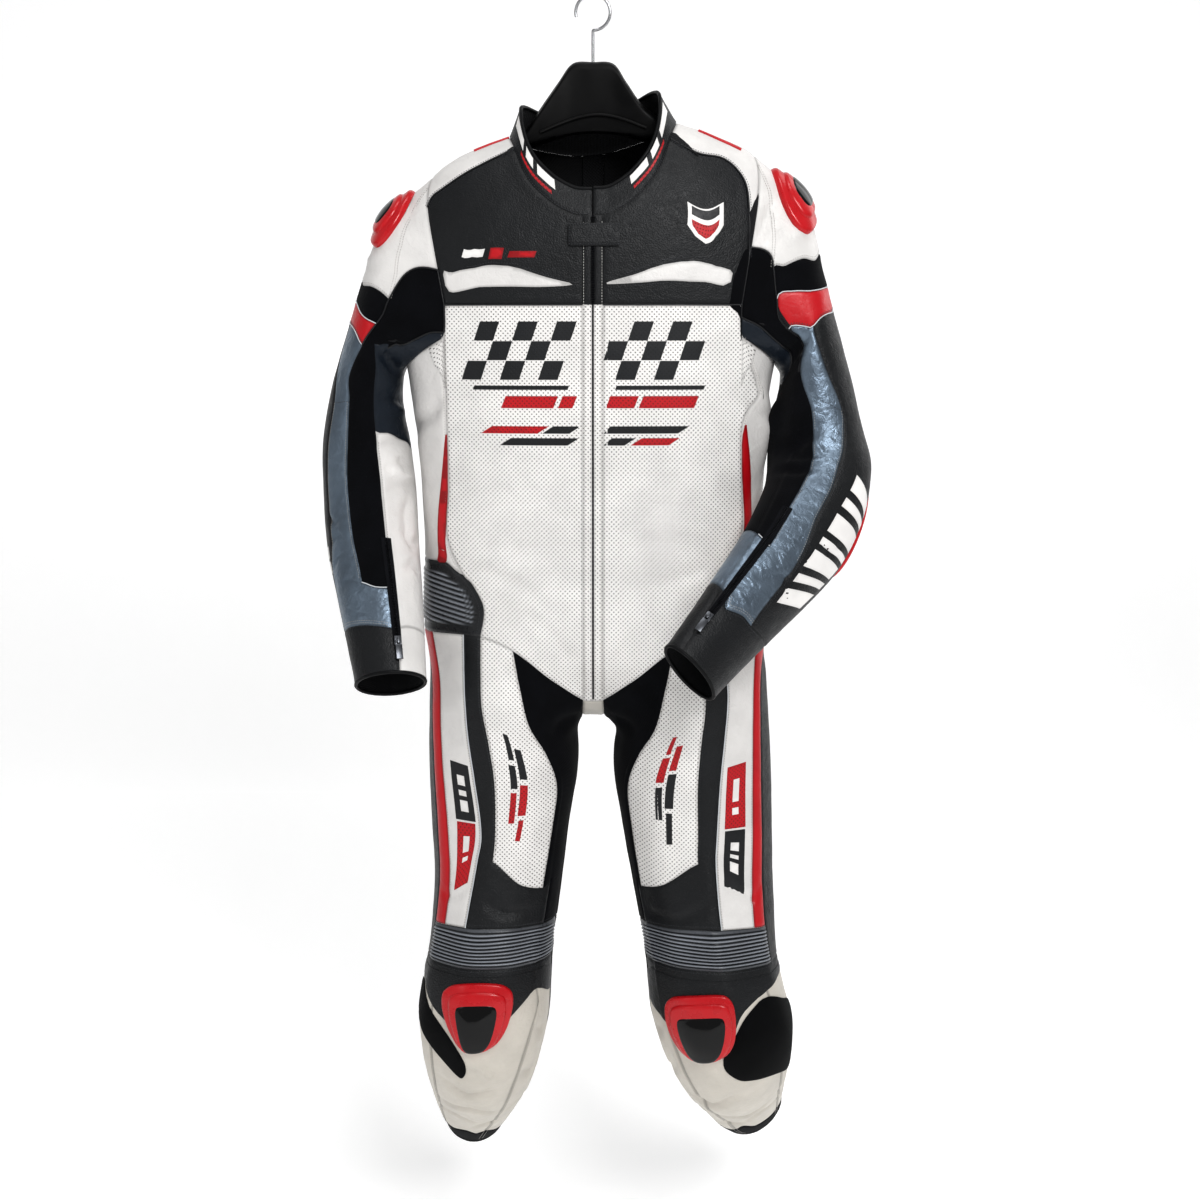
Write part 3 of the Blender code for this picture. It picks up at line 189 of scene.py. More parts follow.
LEGS = {
    RIGHT: (
        # x, y, z, half width, half depth, tilt, pitch
        (0.121, 0.002, -0.915, 0.108, 0.108, 22, 0), (0.122, -0.004, -0.985, 0.1035, 0.101, 10, 0),
        (0.126, -0.018, -1.07, 0.0935, 0.092, 0, 5), (0.13, -0.036, -1.16, 0.0855, 0.084, 0, 8),
        (0.14, -0.056, -1.25, 0.084, 0.083, 0, 6), (0.149, -0.062, -1.33, 0.088, 0.086, 0, -10),
        (0.154, -0.03, -1.405, 0.0795, 0.078, 0, -35), (0.163, 0.036, -1.475, 0.067, 0.066, 0, -42),
        (0.172, 0.094, -1.532, 0.054, 0.056, 0, -43), (0.177, 0.14, -1.571, 0.0445, 0.049, 0, -43),
    ),
    LEFT: (
        (0.132, 0.002, -0.915, 0.109, 0.108, 22, 0), (0.133, -0.004, -0.985, 0.108, 0.101, 10, 0),
        (0.141, -0.018, -1.075, 0.1015, 0.092, 0, 5), (0.15, -0.036, -1.165, 0.094, 0.085, 0, 8),
        (0.16, -0.056, -1.255, 0.0885, 0.083, 0, 6), (0.174, -0.062, -1.335, 0.0945, 0.087, 0, -10),
        (0.19, -0.03, -1.405, 0.083, 0.079, 8, -35), (0.208, 0.036, -1.47, 0.068, 0.066, 12, -42),
        (0.222, 0.09, -1.522, 0.056, 0.056, 14, -43), (0.232, 0.13, -1.553, 0.048, 0.049, 16, -43),
    ),
}
# Turns of a leg's front seams, by place along the leg.
LEG_SEAMS = {
    RIGHT: (
        # place, stripe's edge, red to white, white to black, black to thigh, thigh to inner leg
        (0.0, 0.03, 0.09, 0.165, 0.205, 0.26), (1.0, 0.055, 0.098, 0.175, 0.212, 0.312),
        (2.0, 0.07, 0.108, 0.19, 0.236, 0.376), (3.0, 0.082, 0.122, 0.215, 0.247, 0.395),
        (3.85, 0.08, 0.126, 0.198, 0.24, 0.385), (4.55, 0.066, 0.11, 0.18, 0.232, 0.375),
        (6.0, 0.05, 0.105, 0.19, 0.235, 0.365), (8.0, 0.05, 0.105, 0.16, 0.22, 0.3),
        (10.0, 0.05, 0.105, 0.155, 0.21, 0.28),
    ),
    LEFT: (
        (0.0, 0.03, 0.09, 0.165, 0.205, 0.26), (1.0, 0.075, 0.105, 0.18, 0.228, 0.335),
        (2.0, 0.088, 0.118, 0.196, 0.243, 0.398), (3.0, 0.096, 0.128, 0.216, 0.256, 0.425),
        (3.85, 0.1, 0.136, 0.228, 0.266, 0.435), (4.55, 0.098, 0.14, 0.225, 0.27, 0.42),
        (6.0, 0.05, 0.105, 0.19, 0.24, 0.385), (8.0, 0.05, 0.105, 0.16, 0.22, 0.31),
        (10.0, 0.05, 0.105, 0.155, 0.21, 0.28),
    ),
}
INNER_LEG = ((0, 0.44), (1, 0.45), (4, 0.485), (10, 0.485))  # place, turn of the inner leg's front
LEG_ROWS = (0, 0.5, 1, 1.6, 2.3, 3.1, 3.85, 4.48, 5.0, 5.5, 6, 6.6, 7.3, 8.1, 9, 10)
LEG_SAGS = {6: 0.05, 7: 0.03, 8: 0.06}  # how far rows hang down in front, in rings
THIGH_FOOT = {2: -0.3, 3: -0.35, 4: 0.0, 5: 0.1}  # slant of the thigh panel's foot, by column

# The neck tab's ends across the zip, and its edges.
TAB_X = (-0.031, 0.034)
TAB_Z = (-0.289, -0.317)
TAB_LAYER = (0.0019, 0.0046)  # from its underside to its face, over the yoke
TAB_CORNERS = ((0.43, 0), (0.13, 0.1), (0, 0.37), (0, 5.63), (0.13, 5.9), (0.43, 6))  # its upper half

ZIP_COLUMN, ZIP_START, ZIP_END = 5.3, 10.0, 12.95  # the wrist zip, on the sleeve's net
ZIP_SHARE = 0.33  # half of its tape, in columns
# Boxes of its slider and of its pull, each from a low to a high corner: across, down and out.
SLIDER = (
    ((-0.0045, -0.007, 0.0014), (0.0045, 0.006, 0.0044)),
    ((-0.0016, -0.0038, 0.004), (0.0016, -0.0026, 0.0084)),
    ((-0.0016, 0.0026, 0.004), (0.0016, 0.0038, 0.0084)),
    ((-0.0016, -0.0038, 0.0072), (0.0016, 0.0038, 0.0086)),
)
PULL = (
    ((-0.0038, -0.0007, -0.0007), (0.0038, 0.0007, 0.0007)),
    ((-0.0038, -0.0007, -0.0007), (-0.0022, 0.0065, 0.0007)),
    ((0.0022, -0.0007, -0.0007), (0.0038, 0.0065, 0.0007)),
    ((-0.0042, 0.0052, -0.0008), (0.0042, PULL_LENGTH, 0.0008)),
)

# The rib over the front of the hanger's hump.
HANGER_RIB = (
    # x, z
    (-0.067, -0.1715), (-0.045, -0.162), (-0.018, -0.1525), (0.008, -0.149), (0.034, -0.1535),
    (0.068, -0.166),
)
# Sections of the hanger's hump.
HUMP = (
    # x, top, foot, half depth
    (-0.085, -0.163, -0.19, 0.024), (-0.066, -0.136, -0.184, 0.024), (-0.045, -0.107, -0.177, 0.022),
    (-0.026, -0.083, -0.172, 0.02), (0.0, HANGER_TOP, -0.17, 0.02), (0.026, -0.083, -0.171, 0.02),
    (0.043, -0.106, -0.174, 0.022), (0.061, -0.131, -0.179, 0.024), (0.082, -0.148, -0.18, 0.024),
)

# Named lines of the nets.
CORNER, SEAM_COLUMN, BACK_SEAM, BACK_MID = 5, 6, 12, 15
RIDGE_COLUMN, BACK_CORNER, YOKE_BACK = 10, 15, 18
PERFORATED_ROW = 6


def smooth(rows, at, loop=False):
    """Values at places along rows, on the smooth curve through them all."""
    rows = np.asarray(rows, float)
    at = np.asarray(at, float)
    count = len(rows)
    if loop:
        first = np.floor(at).astype(int)
        near = [rows[(first + step) % count] for step in (-1, 0, 1, 2)]
    else:
        rows = np.concatenate([[2 * rows[0] - rows[1]], rows, [2 * rows[-1] - rows[-2]]])
        at = np.clip(at, 0, count - 1)
        first = np.minimum(np.floor(at).astype(int), count - 2)
        near = [rows[first + step] for step in (0, 1, 2, 3)]
    part = (at - first).reshape(at.shape + (1,) * (rows.ndim - 1))
    before, start, end, after = near
    return start + 0.5 * part * (
        end
        - before
        + part * (2 * before - 5 * start + 4 * end - after + part * (3 * (start - end) + after - before))
    )


def look(table, key):
    """A table's values at a key, which is its first column and grows."""
    table = np.asarray(table, float)
    return smooth(table[:, 1:], np.interp(key, table[:, 0], np.arange(len(table))))


def unit(vectors):
    return vectors / np.linalg.norm(vectors, axis=-1, keepdims=True)


# The torso's form.


def half_width(side, z):
    return look(TORSO, z)[0 if side == RIGHT else 1]


def torso_at(side, turn, z):
    """A point of the torso's ring at height z. Turn is 0 at the front, 1 at the side and 2 behind."""
    front, back = look(TORSO, z)[2:]
    angle = turn * math.pi / 2
    across = half_width(side, z) * abs(math.sin(angle)) ** (2 / ROUNDNESS)
    depth = (front if turn < 1 else back) * abs(math.cos(angle)) ** (2 / ROUNDNESS)
    return np.array((side * across, math.copysign(depth, turn - 1), z))


def turn_of(side, x, z):
    share = min(x / half_width(side, z), 1.0) ** (ROUNDNESS / 2)
    return math.asin(share) / (math.pi / 2)


def yoke_at(side, x, over):
    """A point of the arch that carries the torso over the shoulder."""
    front, back = look(TORSO, CHEST_Z)[2:]
    share = (1 - (x / half_width(side, CHEST_Z)) ** ROUNDNESS) ** (1 / ROUNDNESS)
    rise = (1 - abs(over)) * math.pi / 2
    depth = (front if over < 0 else back) * share * abs(math.cos(rise)) ** (2 / ARCH)
    ridge = look(RIDGE[side], x)[0]
    height = CHEST_Z + (ridge - CHEST_Z) * math.sin(rise) ** (2 / ARCH)
    return np.array((side * x, math.copysign(depth, over), height))


def over_of(side, x, z):
    """How far over the shoulder the front of the yoke is at height z."""
    share = (z - CHEST_Z) / (look(RIDGE[side], x)[0] - CHEST_Z)
    return -(1 - math.asin(share ** (ARCH / 2)) / (math.pi / 2))


# Nets.


class Net:
    """Points and outward normals on a grid. A looped net's last column joins its first."""

    def __init__(self, points, outward, loop=False):
        self.points = np.array(points, float)
        self.loop = loop
        down = np.gradient(self.points, axis=0)
        if loop:
            round_ = np.roll(self.points, -1, axis=1) - np.roll(self.points, 1, axis=1)
        else:
            round_ = np.gradient(self.points, axis=1)
        self.normals = outward * unit(np.cross(round_, down))


def side_seam(z):
    return look(SIDE_SEAM, z)[0]


def yoke_net(side):
    """Rows run from the neck's seam out, columns from the zip over the shoulder to the back."""
    outer = [(x, -1.0) for x in CHEST_X]
    outer += [(look(ARMHOLE, over)[0], over) for over in ARMHOLE_STEPS]
    outer += [(x, 1.0) for x in BACK_X]
    rows = []
    for at_zip, at_armhole in YOKE_ROWS:
        line = []
        for column, (place, end) in enumerate(zip(NECK_PLACES, outer)):
            start = look(NECK, place)
            share = at_zip + (at_armhole - at_zip) * min(column / CORNER, 1)
            x, over = start + (np.array(end) - start) * share
            line.append(yoke_at(side, max(x, ZIP_HALF), over))
        rows.append(line)
    return Net(rows, -side)


def torso_columns(side, z):
    """Turns of the torso's columns at height z, below the armhole."""
    seam = side_seam(z)
    turns = [turn_of(side, ZIP_HALF, z)]
    turns += [turn_of(side, seam * share, z) for share in FRONT_SHARES]
    stripe = turn_of(side, seam + STRIPE_WIDTH + STRIPE_SPREAD * (z < SPREAD_LEVEL), z)
    turns += [stripe, (stripe + 1) / 2, 1.0]
    back = 2 - turn_of(side, seam - SEAM_SHIFT, z)
    turns += [1 + (back - 1) / 3, 1 + 2 * (back - 1) / 3, back]
    turns += [2 - turn_of(side, seam * share, z) for share in BACK_SHARES]
    turns += [2 - turn_of(side, ZIP_HALF, z)]
    return turns


def torso_net(side, yoke):
    """Rows run down from the yoke and the armhole to the hip line."""
    top = list(yoke.points[-1, : CORNER + 1])
    armpit_turns = torso_columns(side, ARMPIT_LEVEL)[SEAM_COLUMN:BACK_SEAM]
    armpit_turns[0] = turn_of(side, side_seam(ARMPIT[0]), ARMPIT[0])
    top += [torso_at(side, turn, z) for turn, z in zip(armpit_turns, ARMPIT)]
    top += list(yoke.points[-1, BACK_CORNER:])
    count = len(top)
    levels = [[z] * count for z in TORSO_LEVELS]
    ribs = [RIB_TOP_FRONT] * (SEAM_COLUMN + 1) + [RIB_TOP_SIDE] * (count - SEAM_COLUMN - 1)
    ribs[SEAM_COLUMN + 1] = (RIB_TOP_FRONT + RIB_TOP_SIDE) / 2
    bottom_turns = torso_columns(side, HIP_LEVEL)
    bottom = [look(HIP_LINE, abs(torso_at(side, turn, HIP_LEVEL)[0]))[0] for turn in bottom_turns]
    middle = [(a + b) / 2 for a, b in zip(ribs, bottom)]
    rows = [top]
    stripe_row = [torso_at(side, turn, STRIPE_Z) for turn in torso_columns(side, STRIPE_Z)]
    for share in (1 / 3, 2 / 3):
        row = []
        for column in range(count):
            z = top[column][2] + (STRIPE_Z - top[column][2]) * share
            x = abs(top[column][0] + (stripe_row[column][0] - top[column][0]) * share)
            turn = turn_of(side, x, z)
            back = column > SEAM_COLUMN + 3
            if column in range(SEAM_COLUMN + 1, BACK_SEAM):
                row.append(torso_at(side, torso_columns(side, z)[column], z))
            else:
                row.append(torso_at(side, 2 - turn if back else turn, z))
        rows.append(row)
    for level in [*levels, ribs, middle, bottom]:
        row = []
        for column, z in enumerate(level):
            row.append(torso_at(side, torso_columns(side, z)[column], z))
        rows.append(row)
    return Net(rows, -side)


def ring(side, row, turn):
    """A point of a sleeve's or a leg's ring."""
    x, y, z, wide, deep, tilt, pitch = row
    tilt, pitch = math.radians(tilt), math.radians(pitch)
    angle = turn * 2 * math.pi
    outer = np.array((side * math.cos(tilt), 0, math.sin(tilt)))
    front = np.array((0, -math.cos(pitch), math.sin(pitch)))
    return np.array((side * x, y, z)) + wide * math.cos(angle) * outer + deep * math.sin(angle) * front


def limb_net(side, first, rings, row_places, turns_at, sags):
    """A tube from its first rows of points, on the torso, down through the other rings."""
    lines = []
    for column in range(len(first[0])):
        line = [row[column] for row in first]
        for number, row in enumerate(rings, len(first)):
            line.append(ring(side, row, turns_at(number)[column]))
        lines.append(line)
    rows = []
    for number, place in enumerate(row_places):
        row = []
        for column, line in enumerate(lines):
            sag = sags.get(number, 0) * max(math.sin(2 * math.pi * turns_at(place)[column]), 0)
            if sags and number == PERFORATED_ROW:
                sag += THIGH_FOOT.get(column, 0)
            row.append(smooth(line, np.array(place + sag)))
        rows.append(row)
    return Net(rows, side, loop=True)


def sleeve_net(side, yoke, torso):
    front = [yoke.points[-1, column] for column in range(RIDGE_COLUMN, CORNER - 1, -1)]
    under = [torso.points[0, column] for column in range(SEAM_COLUMN, BACK_SEAM)]
    back = [yoke.points[-1, column] for column in range(BACK_CORNER, RIDGE_COLUMN, -1)]
    first = front + under + back
    crown = []
    for start, turn in zip(first, SLEEVE_TURNS):
        below = ring(side, SLEEVES[side][0], turn)
        fullness = CROWN_FULLNESS[side] * max(math.cos(2 * math.pi * turn), 0)
        crown.append((start + below) / 2 + fullness * np.array((side * CROWN_WAY[0], 0, CROWN_WAY[1])))
    return limb_net(side, [first, crown], SLEEVES[side], SLEEVE_ROWS, lambda place: SLEEVE_TURNS, {})


def leg_turns(side, place):
    """Turns of a leg's columns: five front seams, the inner leg, then round the back."""
    edge, red, white, black, thigh = look(LEG_SEAMS[side], place)
    inner = look(INNER_LEG, place)[0]
    turns = [edge, red, white, black, (black + thigh) / 2]
    turns += [thigh + (inner - thigh) * step / 4 for step in range(4)]
    behind = 1 - inner
    turns += [inner + (behind - inner) * step / 4 for step in range(4)]
    return turns + [behind + (1 + edge - behind) * step / 6 for step in range(6)]


def gusset_edge(side):
    """The gusset's edge at a leg, between the torso's front and back."""
    return [np.array((side * GUSSET_HALF, y, z)) for y, z in GUSSET]


def leg_net(side, torso):
    down_front = [torso.points[-1, column] for column in range(9, -1, -1)]
    back = [torso.points[-1, column] for column in range(BACK_MID, 9, -1)]
    first = [down_front + gusset_edge(side) + back]
    return limb_net(side, first, LEGS[side], LEG_ROWS, lambda place: leg_turns(side, place), LEG_SAGS)


def gusset_net(torsos):
    edges = []
    for side in BOTH:
        points = torsos[side].points[-1]
        edges.append([points[0], *gusset_edge(side), points[BACK_MID]])
    return Net(edges, 1)


def share_normals(nets):
    """Nets that meet take one normal at each point they share, so that their walls meet too.

    In a deep fold, such as the armpit, it points down.
    """
    met = {}
    for net in nets:
        for point, normal in zip(net.points.reshape(-1, 3), net.normals.reshape(-1, 3)):
            met.setdefault(tuple(np.round(point, 6)), []).append(normal)
    for net in nets:
        flat = net.normals.reshape(-1, 3)
        for index, point in enumerate(net.points.reshape(-1, 3)):
            mean = np.mean(met[tuple(np.round(point, 6))], axis=0)
            fold = max(FOLD - np.linalg.norm(mean), 0)
            flat[index] = mean + fold * np.array((0, 0, -1.0))
        net.normals = unit(flat).reshape(net.points.shape)


class Strip:
    """An open net whose normals are given too."""

    loop = False

    def __init__(self, points, normals):
        self.points = np.array(points)
        self.normals = unit(np.array(normals))


def collar_net(yokes):
    """Stands on the neck's seam and leans in. Its ends meet over the zip."""
    base = []
    for side in (LEFT, RIGHT):
        line = [yokes[side].points[0, column] for column in range(YOKE_BACK + 1)]
        end = line[0].copy()
        end[0] = side * COLLAR_GAP
        line = [end] + line
        base += line[::-1] if side == RIGHT else line
    base = np.array(base)
    rows = [base]
    for share in COLLAR_ROWS:
        row = []
        for index, point in enumerate(base):
            round_ = math.sin(math.pi * index / (len(base) - 1)) ** 2
            back = min(max(point[1] / COLLAR_DEPTH, 0), 1)
            side_height = COLLAR_SIDE + (COLLAR_BACK - COLLAR_SIDE) * back
            height = COLLAR_FRONT + (side_height - COLLAR_FRONT) * round_
            lean = COLLAR_LEAN[RIGHT if point[0] < 0 else LEFT]
            shift = COLLAR_FORWARD - COLLAR_LEAN_IN * point[1]
            inward = np.array((-lean * point[0] * round_, shift, height))
            row.append(point + inward * share)
        rows.append(row)
    return Net(rows, 1)


def oval(count, power, taper=0.0):
    """An outline of count spokes, as shares of its half length and half width."""
    made = []
    for index in range(count):
        angle = 2 * math.pi * index / count
        down = math.copysign(abs(math.cos(angle)) ** (2 / power), math.cos(angle))
        across = math.copysign(abs(math.sin(angle)) ** (2 / power), math.sin(angle))
        made.append((down, across * (1 - taper * down)))
    return made


# What only the visual model has, in metres.
CLOSE, NEXT = 0.0014, 0.0034  # the first two lines of points beside a seam
STEP = 0.0052  # between points elsewhere
PUFF, PUFF_PLACE, PUFF_WIDTH = 0.0003, 0.0042, 0.0026  # leather's swelling beside its seam
SEAM_HALF = 0.0016  # half of the groove along a seam
SEAM_SHADE = 0.0035  # how far from its edge a panel darkens
CREASE_REACH = 2.6  # in widths of the crease
MM = 0.001
SWELL = ((0.0009, 0.075), (0.0003, 0.024))  # height and size of the leather's unevenness

# Where neighbouring forms share a row's curve, each run keeps to its own points.
RUNS = {
    "yoke": ((5, ((0, 5), (5, 15), (15, 18))),),
    "torso": ((0, ((0, 5), (5, 12), (12, 15))),),
    "sleeve": ((0, ((12, 22), (5, 12))),),
    "leg": ((0, ((13, 28), (9, 13))),),
}


# Smooth forms.


def weights(part):
    """The four weights of the smooth curve, part of the way between its middle two points."""
    square, cube = part**2, part**3
    return (
        -0.5 * cube + square - 0.5 * part,
        1.5 * cube - 2.5 * square + 1,
        -1.5 * cube + 2 * square + 0.5 * part,
        0.5 * cube - 0.5 * square,
    )


def in_runs(line, runs, columns, loop):
    """Values along a row of points, on a curve of its own in each run."""
    found = np.zeros(columns.shape + line.shape[1:])
    for start, end in runs:
        at = np.where(columns < start, columns + len(line), columns) if loop else columns
        inside = (at >= start) & (at <= end)
        found[inside] = smooth(line[np.arange(start, end + 1) % len(line)], at[inside] - start)
    return found


class Form:
    """A net made smooth: its point and normal at any place between its lines."""

    def __init__(self, grid, loop, runs=()):
        self.loop = loop
        self.runs = runs
        self.grid = grid
        self.rows, self.columns = self.grid.shape[:2]
        rows = self.grid
        rows = np.concatenate([2 * rows[:1] - rows[1:2], rows, 2 * rows[-1:] - rows[-2:-1]])
        if self.loop:
            self.padded = np.concatenate([rows[:, -1:], rows, rows[:, :2]], axis=1)
        else:
            before, after = 2 * rows[:, :1] - rows[:, 1:2], 2 * rows[:, -1:] - rows[:, -2:-1]
            self.padded = np.concatenate([before, rows, after], axis=1)

    def between(self, rows, columns):
        rows, columns = np.broadcast_arrays(np.asarray(rows, float), np.asarray(columns, float))
        rows = np.clip(rows, 0, self.rows - 1)
        row = np.minimum(rows.astype(int), self.rows - 2)
        if self.loop:
            columns = columns % self.columns
            columns = np.where(columns >= self.columns, 0, columns)
            column = columns.astype(int)
        else:
            columns = np.clip(columns, 0, self.columns - 1)
            column = np.minimum(columns.astype(int), self.columns - 2)
        down, across = weights(rows - row), weights(columns - column)
        found = np.zeros(rows.shape + self.grid.shape[2:])
        for i in range(4):
            for j in range(4):
                found += (down[i] * across[j])[..., None] * self.padded[row + i, column + j]
        return rows, columns, found

    def at(self, rows, columns):
        rows, columns, found = self.between(rows, columns)
        for border, runs in self.runs:
            near = np.maximum(1 - np.abs(rows - border), 0)[..., None] ** 2
            line = self.grid[border]
            found += near * (in_runs(line, runs, columns, self.loop) - smooth(line, columns, self.loop))
        return found[..., :3], unit(found[..., 3:])


class Seamed:
    """A form whose lines are moved to where its seams run. The lines between them follow smoothly."""

    def __init__(self, form, moves):
        self.form, self.loop, self.rows, self.columns = form, form.loop, form.rows, form.columns
        shift = np.zeros((form.rows, form.columns, 2))
        fixed = np.zeros((form.rows, form.columns), bool)
        fixed[[0, -1]] = True
        if not form.loop:
            fixed[:, [0, -1]] = True
        for row, column, to_row, to_column in moves:
            shift[row, column % form.columns] = to_row - row, to_column - column
            fixed[row, column % form.columns] = True
        for _ in range(400):
            mean = np.roll(shift, 1, axis=1) + np.roll(shift, -1, axis=1)
            mean[1:-1] += shift[:-2] + shift[2:]
            shift = np.where(fixed[..., None], shift, mean / 4)
        self.shift = Form(shift, form.loop)

    def at(self, rows, columns):
        shift = self.shift.between(rows, columns)[2]
        return self.form.at(rows + shift[..., 0], columns + shift[..., 1])


class Bridge:
    """The strip between the two sides, along a column of each side's yoke and torso."""

    loop = False
    columns = 2

    def __init__(self, yokes, torsos, yoke_column, torso_column, rise=0.0):
        self.forms, self.places = (yokes, torsos), (yoke_column, torso_column)
        self.yoke_rows = yokes[RIGHT].rows - 1
        self.rows = self.yoke_rows + torsos[RIGHT].rows
        self.rise = rise

    def edge(self, side, rows):
        upper = self.forms[0][side].at(np.minimum(rows, self.yoke_rows), self.places[0])
        lower = self.forms[1][side].at(np.maximum(rows - self.yoke_rows, 0), self.places[1])
        above = (rows <= self.yoke_rows)[..., None]
        return [np.where(above, high, low) for high, low in zip(upper, lower)]

    def at(self, rows, columns):
        rows, columns = np.broadcast_arrays(np.asarray(rows, float), np.asarray(columns, float))
        part = columns[..., None]
        (right, right_out), (left, left_out) = self.edge(RIGHT, rows), self.edge(LEFT, rows)
        out = unit(right_out * (1 - part) + left_out * part)
        return right * (1 - part) + left * part + out * self.rise * 4 * part * (1 - part), out


def to_segment(points, start, end):
    """Distances of points to a straight line, and the share of it where each is nearest."""
    way = end - start
    part = np.clip((points - start) @ way / max(way @ way, 1e-12), 0, 1)
    return np.linalg.norm(points - start - part[:, None] * way, axis=1), part


def distance_to_line(points, line):
    """Distances of points to a line of points, and the share of its length where each is nearest."""
    nearest, share = np.full(len(points), np.inf), np.zeros(len(points))
    for index, ends in enumerate(zip(line, line[1:])):
        distance, part = to_segment(points, *ends)
        closer = distance < nearest
        nearest[closer] = distance[closer]
        share[closer] = (index + part[closer]) / (len(line) - 1)
    return nearest, share


def relief(points):
    """How far the leather stands off its form at points: its slow unevenness, then its creases."""
    flat = np.reshape(points, (-1, 3))
    height = np.zeros(len(flat))
    for amount, size in SWELL:
        scaled = (flat / size).tolist()
        height += amount * np.array([noise.noise(place) for place in scaled])
    strength = bpy.context.scene.race_suit_sizes.crease_strength
    for line, low, high, depth, width in creases():
        inside = np.flatnonzero(((flat > low) & (flat < high)).all(axis=1))
        if len(inside) == 0:
            continue
        distance, share = distance_to_line(flat[inside], line)
        across = (distance / width) ** 2
        ends = np.sin(np.pi * np.clip(share, 0.02, 0.98)) ** 0.7
        height[inside] -= strength * depth * ends * (1 - 0.7 * across) * np.exp(-across)
    return height.reshape(np.shape(points)[:-1])


def creases():
    """Each crease as its line, the box that it reaches, its depth and its width."""
    if "creases" not in made:
        made["creases"] = []
        for (kind, side), rows in CREASES.items():
            form = form_of("bare " + kind, side)
            for *places, depth, width in rows:
                line = dense(form, np.reshape(places, (-1, 2)), 0.01)[0]
                reach = CREASE_REACH * width * MM
                box = line.min(axis=0) - reach, line.max(axis=0) + reach
                made["creases"].append((line, *box, depth * MM, width * MM))
    return made["creases"]


def dense(form, places, step, closed=False):
    """Points and normals along places of a form, about a step apart."""
    places = np.array([*places, places[0]] if closed else places, float)
    found = [places[:1]]
    for start, end in zip(places, places[1:]):
        ends = form.at(*np.stack([start, (start + end) / 2, end]).T)[0]
        length = np.linalg.norm(np.diff(ends, axis=0), axis=1).sum()
        share = np.linspace(0, 1, max(int(length / step), 1) + 1)[1:]
        found.append(start + (end - start) * share[:, None])
    return form.at(*np.concatenate(found).T)


made = {}  # what the operators share: the forms, their points and the creases


def form_of(kind, side=None):
    """A form by its kind and side, all of them worked out at the first call."""
    if "forms" not in made:
        yokes = {side: yoke_net(side) for side in BOTH}
        torsos = {side: torso_net(side, yokes[side]) for side in BOTH}
        sleeves = {side: sleeve_net(side, yokes[side], torsos[side]) for side in BOTH}
        legs = {side: leg_net(side, torsos[side]) for side in BOTH}
        gusset, collar = gusset_net(torsos), collar_net(yokes)
        nets = [*yokes.values(), *torsos.values(), *sleeves.values(), *legs.values(), gusset, collar]
        share_normals(nets)
        forms = {}
        for name, nets in (("yoke", yokes), ("torso", torsos), ("sleeve", sleeves), ("leg", legs)):
            for side, net in nets.items():
                forms["bare " + name, side] = form_from(net, RUNS[name])
                forms[name, side] = Seamed(forms["bare " + name, side], MOVES[name, side])
        sides = [{side: forms[name, side] for side in BOTH} for name in ("yoke", "torso")]
        forms["zip", None] = Bridge(*sides, 0, 0, ZIP_RIDGE)
        forms["back", None] = Bridge(*sides, YOKE_BACK, BACK_MID)
        forms["gusset", None] = form_from(gusset)
        forms["collar", None] = form_from(collar)
        forms["tab", None] = form_from(tab_net())
        made["forms"] = forms
    return made["forms"][kind, side]


def form_from(net, runs=()):
    return Form(np.concatenate([net.points, net.normals], axis=2), net.loop, runs)


def tab_net():
    """The face under the strap that closes the collar's foot."""
    points, normals = [], []
    for z in np.linspace(*TAB_Z, 4):
        line, outs = [], []
        for x in np.linspace(*TAB_X, 7):
            side = LEFT if x > 0 else RIGHT
            point = yoke_at(side, abs(x), over_of(side, abs(x), z))
            above = yoke_at(side, abs(x), over_of(side, abs(x), z + 0.002))
            line.append(point)
            outs.append(unit(np.cross((1, 0, 0), above - point)))
        points.append(line)
        normals.append(outs)
    return Strip(points, normals)


# Panels of leather.


def fine_places(form, marks, along_rows, size):
    """Places along a form's rows or columns: close together beside the marks, else a size apart."""
    ring_ = form.loop and not along_rows
    count = form.rows - 1 if along_rows else form.columns - (not form.loop)
    marks = {mark % count if ring_ else mark for mark in marks}
    lines = sorted({float(line) for line in range(count + 1)} | {float(mark) for mark in marks})
    other = np.arange(form.columns if along_rows else form.rows)
    here = np.array(lines)
    grid = form.at(here[:, None], other) if along_rows else form.at(other, here[:, None])
    lengths = np.linalg.norm(np.diff(grid[0], axis=0), axis=2).mean(axis=1)
    places = []
    for start, end, length in zip(lines, lines[1:], lengths):
        near = [0.0, CLOSE / length, NEXT / length] if length > 3 * NEXT else [0.0]
        first = near if start in marks or start == 0 else [0.0]
        last = [1 - share for share in near[:0:-1]] if end in marks or end == count else []
        rest = (last[0] if last else 1.0) - first[-1]
        steps = max(round(rest * length / size), 1)
        middle = [first[-1] + rest * step / steps for step in range(1, steps)]
        places += [start + (end - start) * share for share in first + middle + last]
    return np.array(places + ([] if ring_ else [lines[-1]]))


def grid_of(kind, side):
    """A form's fine points, normals, and lengths along its rows and columns, kept for all its panels."""
    key = ("grid", kind, side)
    if key not in made:
        form = form_of(kind, side)
        blocks = [block for panel in PANELS if panel[1] == kind for block in panel[2]]
        rows = fine_places(form, {edge for block in blocks for edge in block[:2]}, True, STEP)
        columns = fine_places(form, {edge for block in blocks for edge in block[2:]}, False, STEP)
        made[key] = (form, rows, columns, *measured(form, rows, columns))
    return made[key]


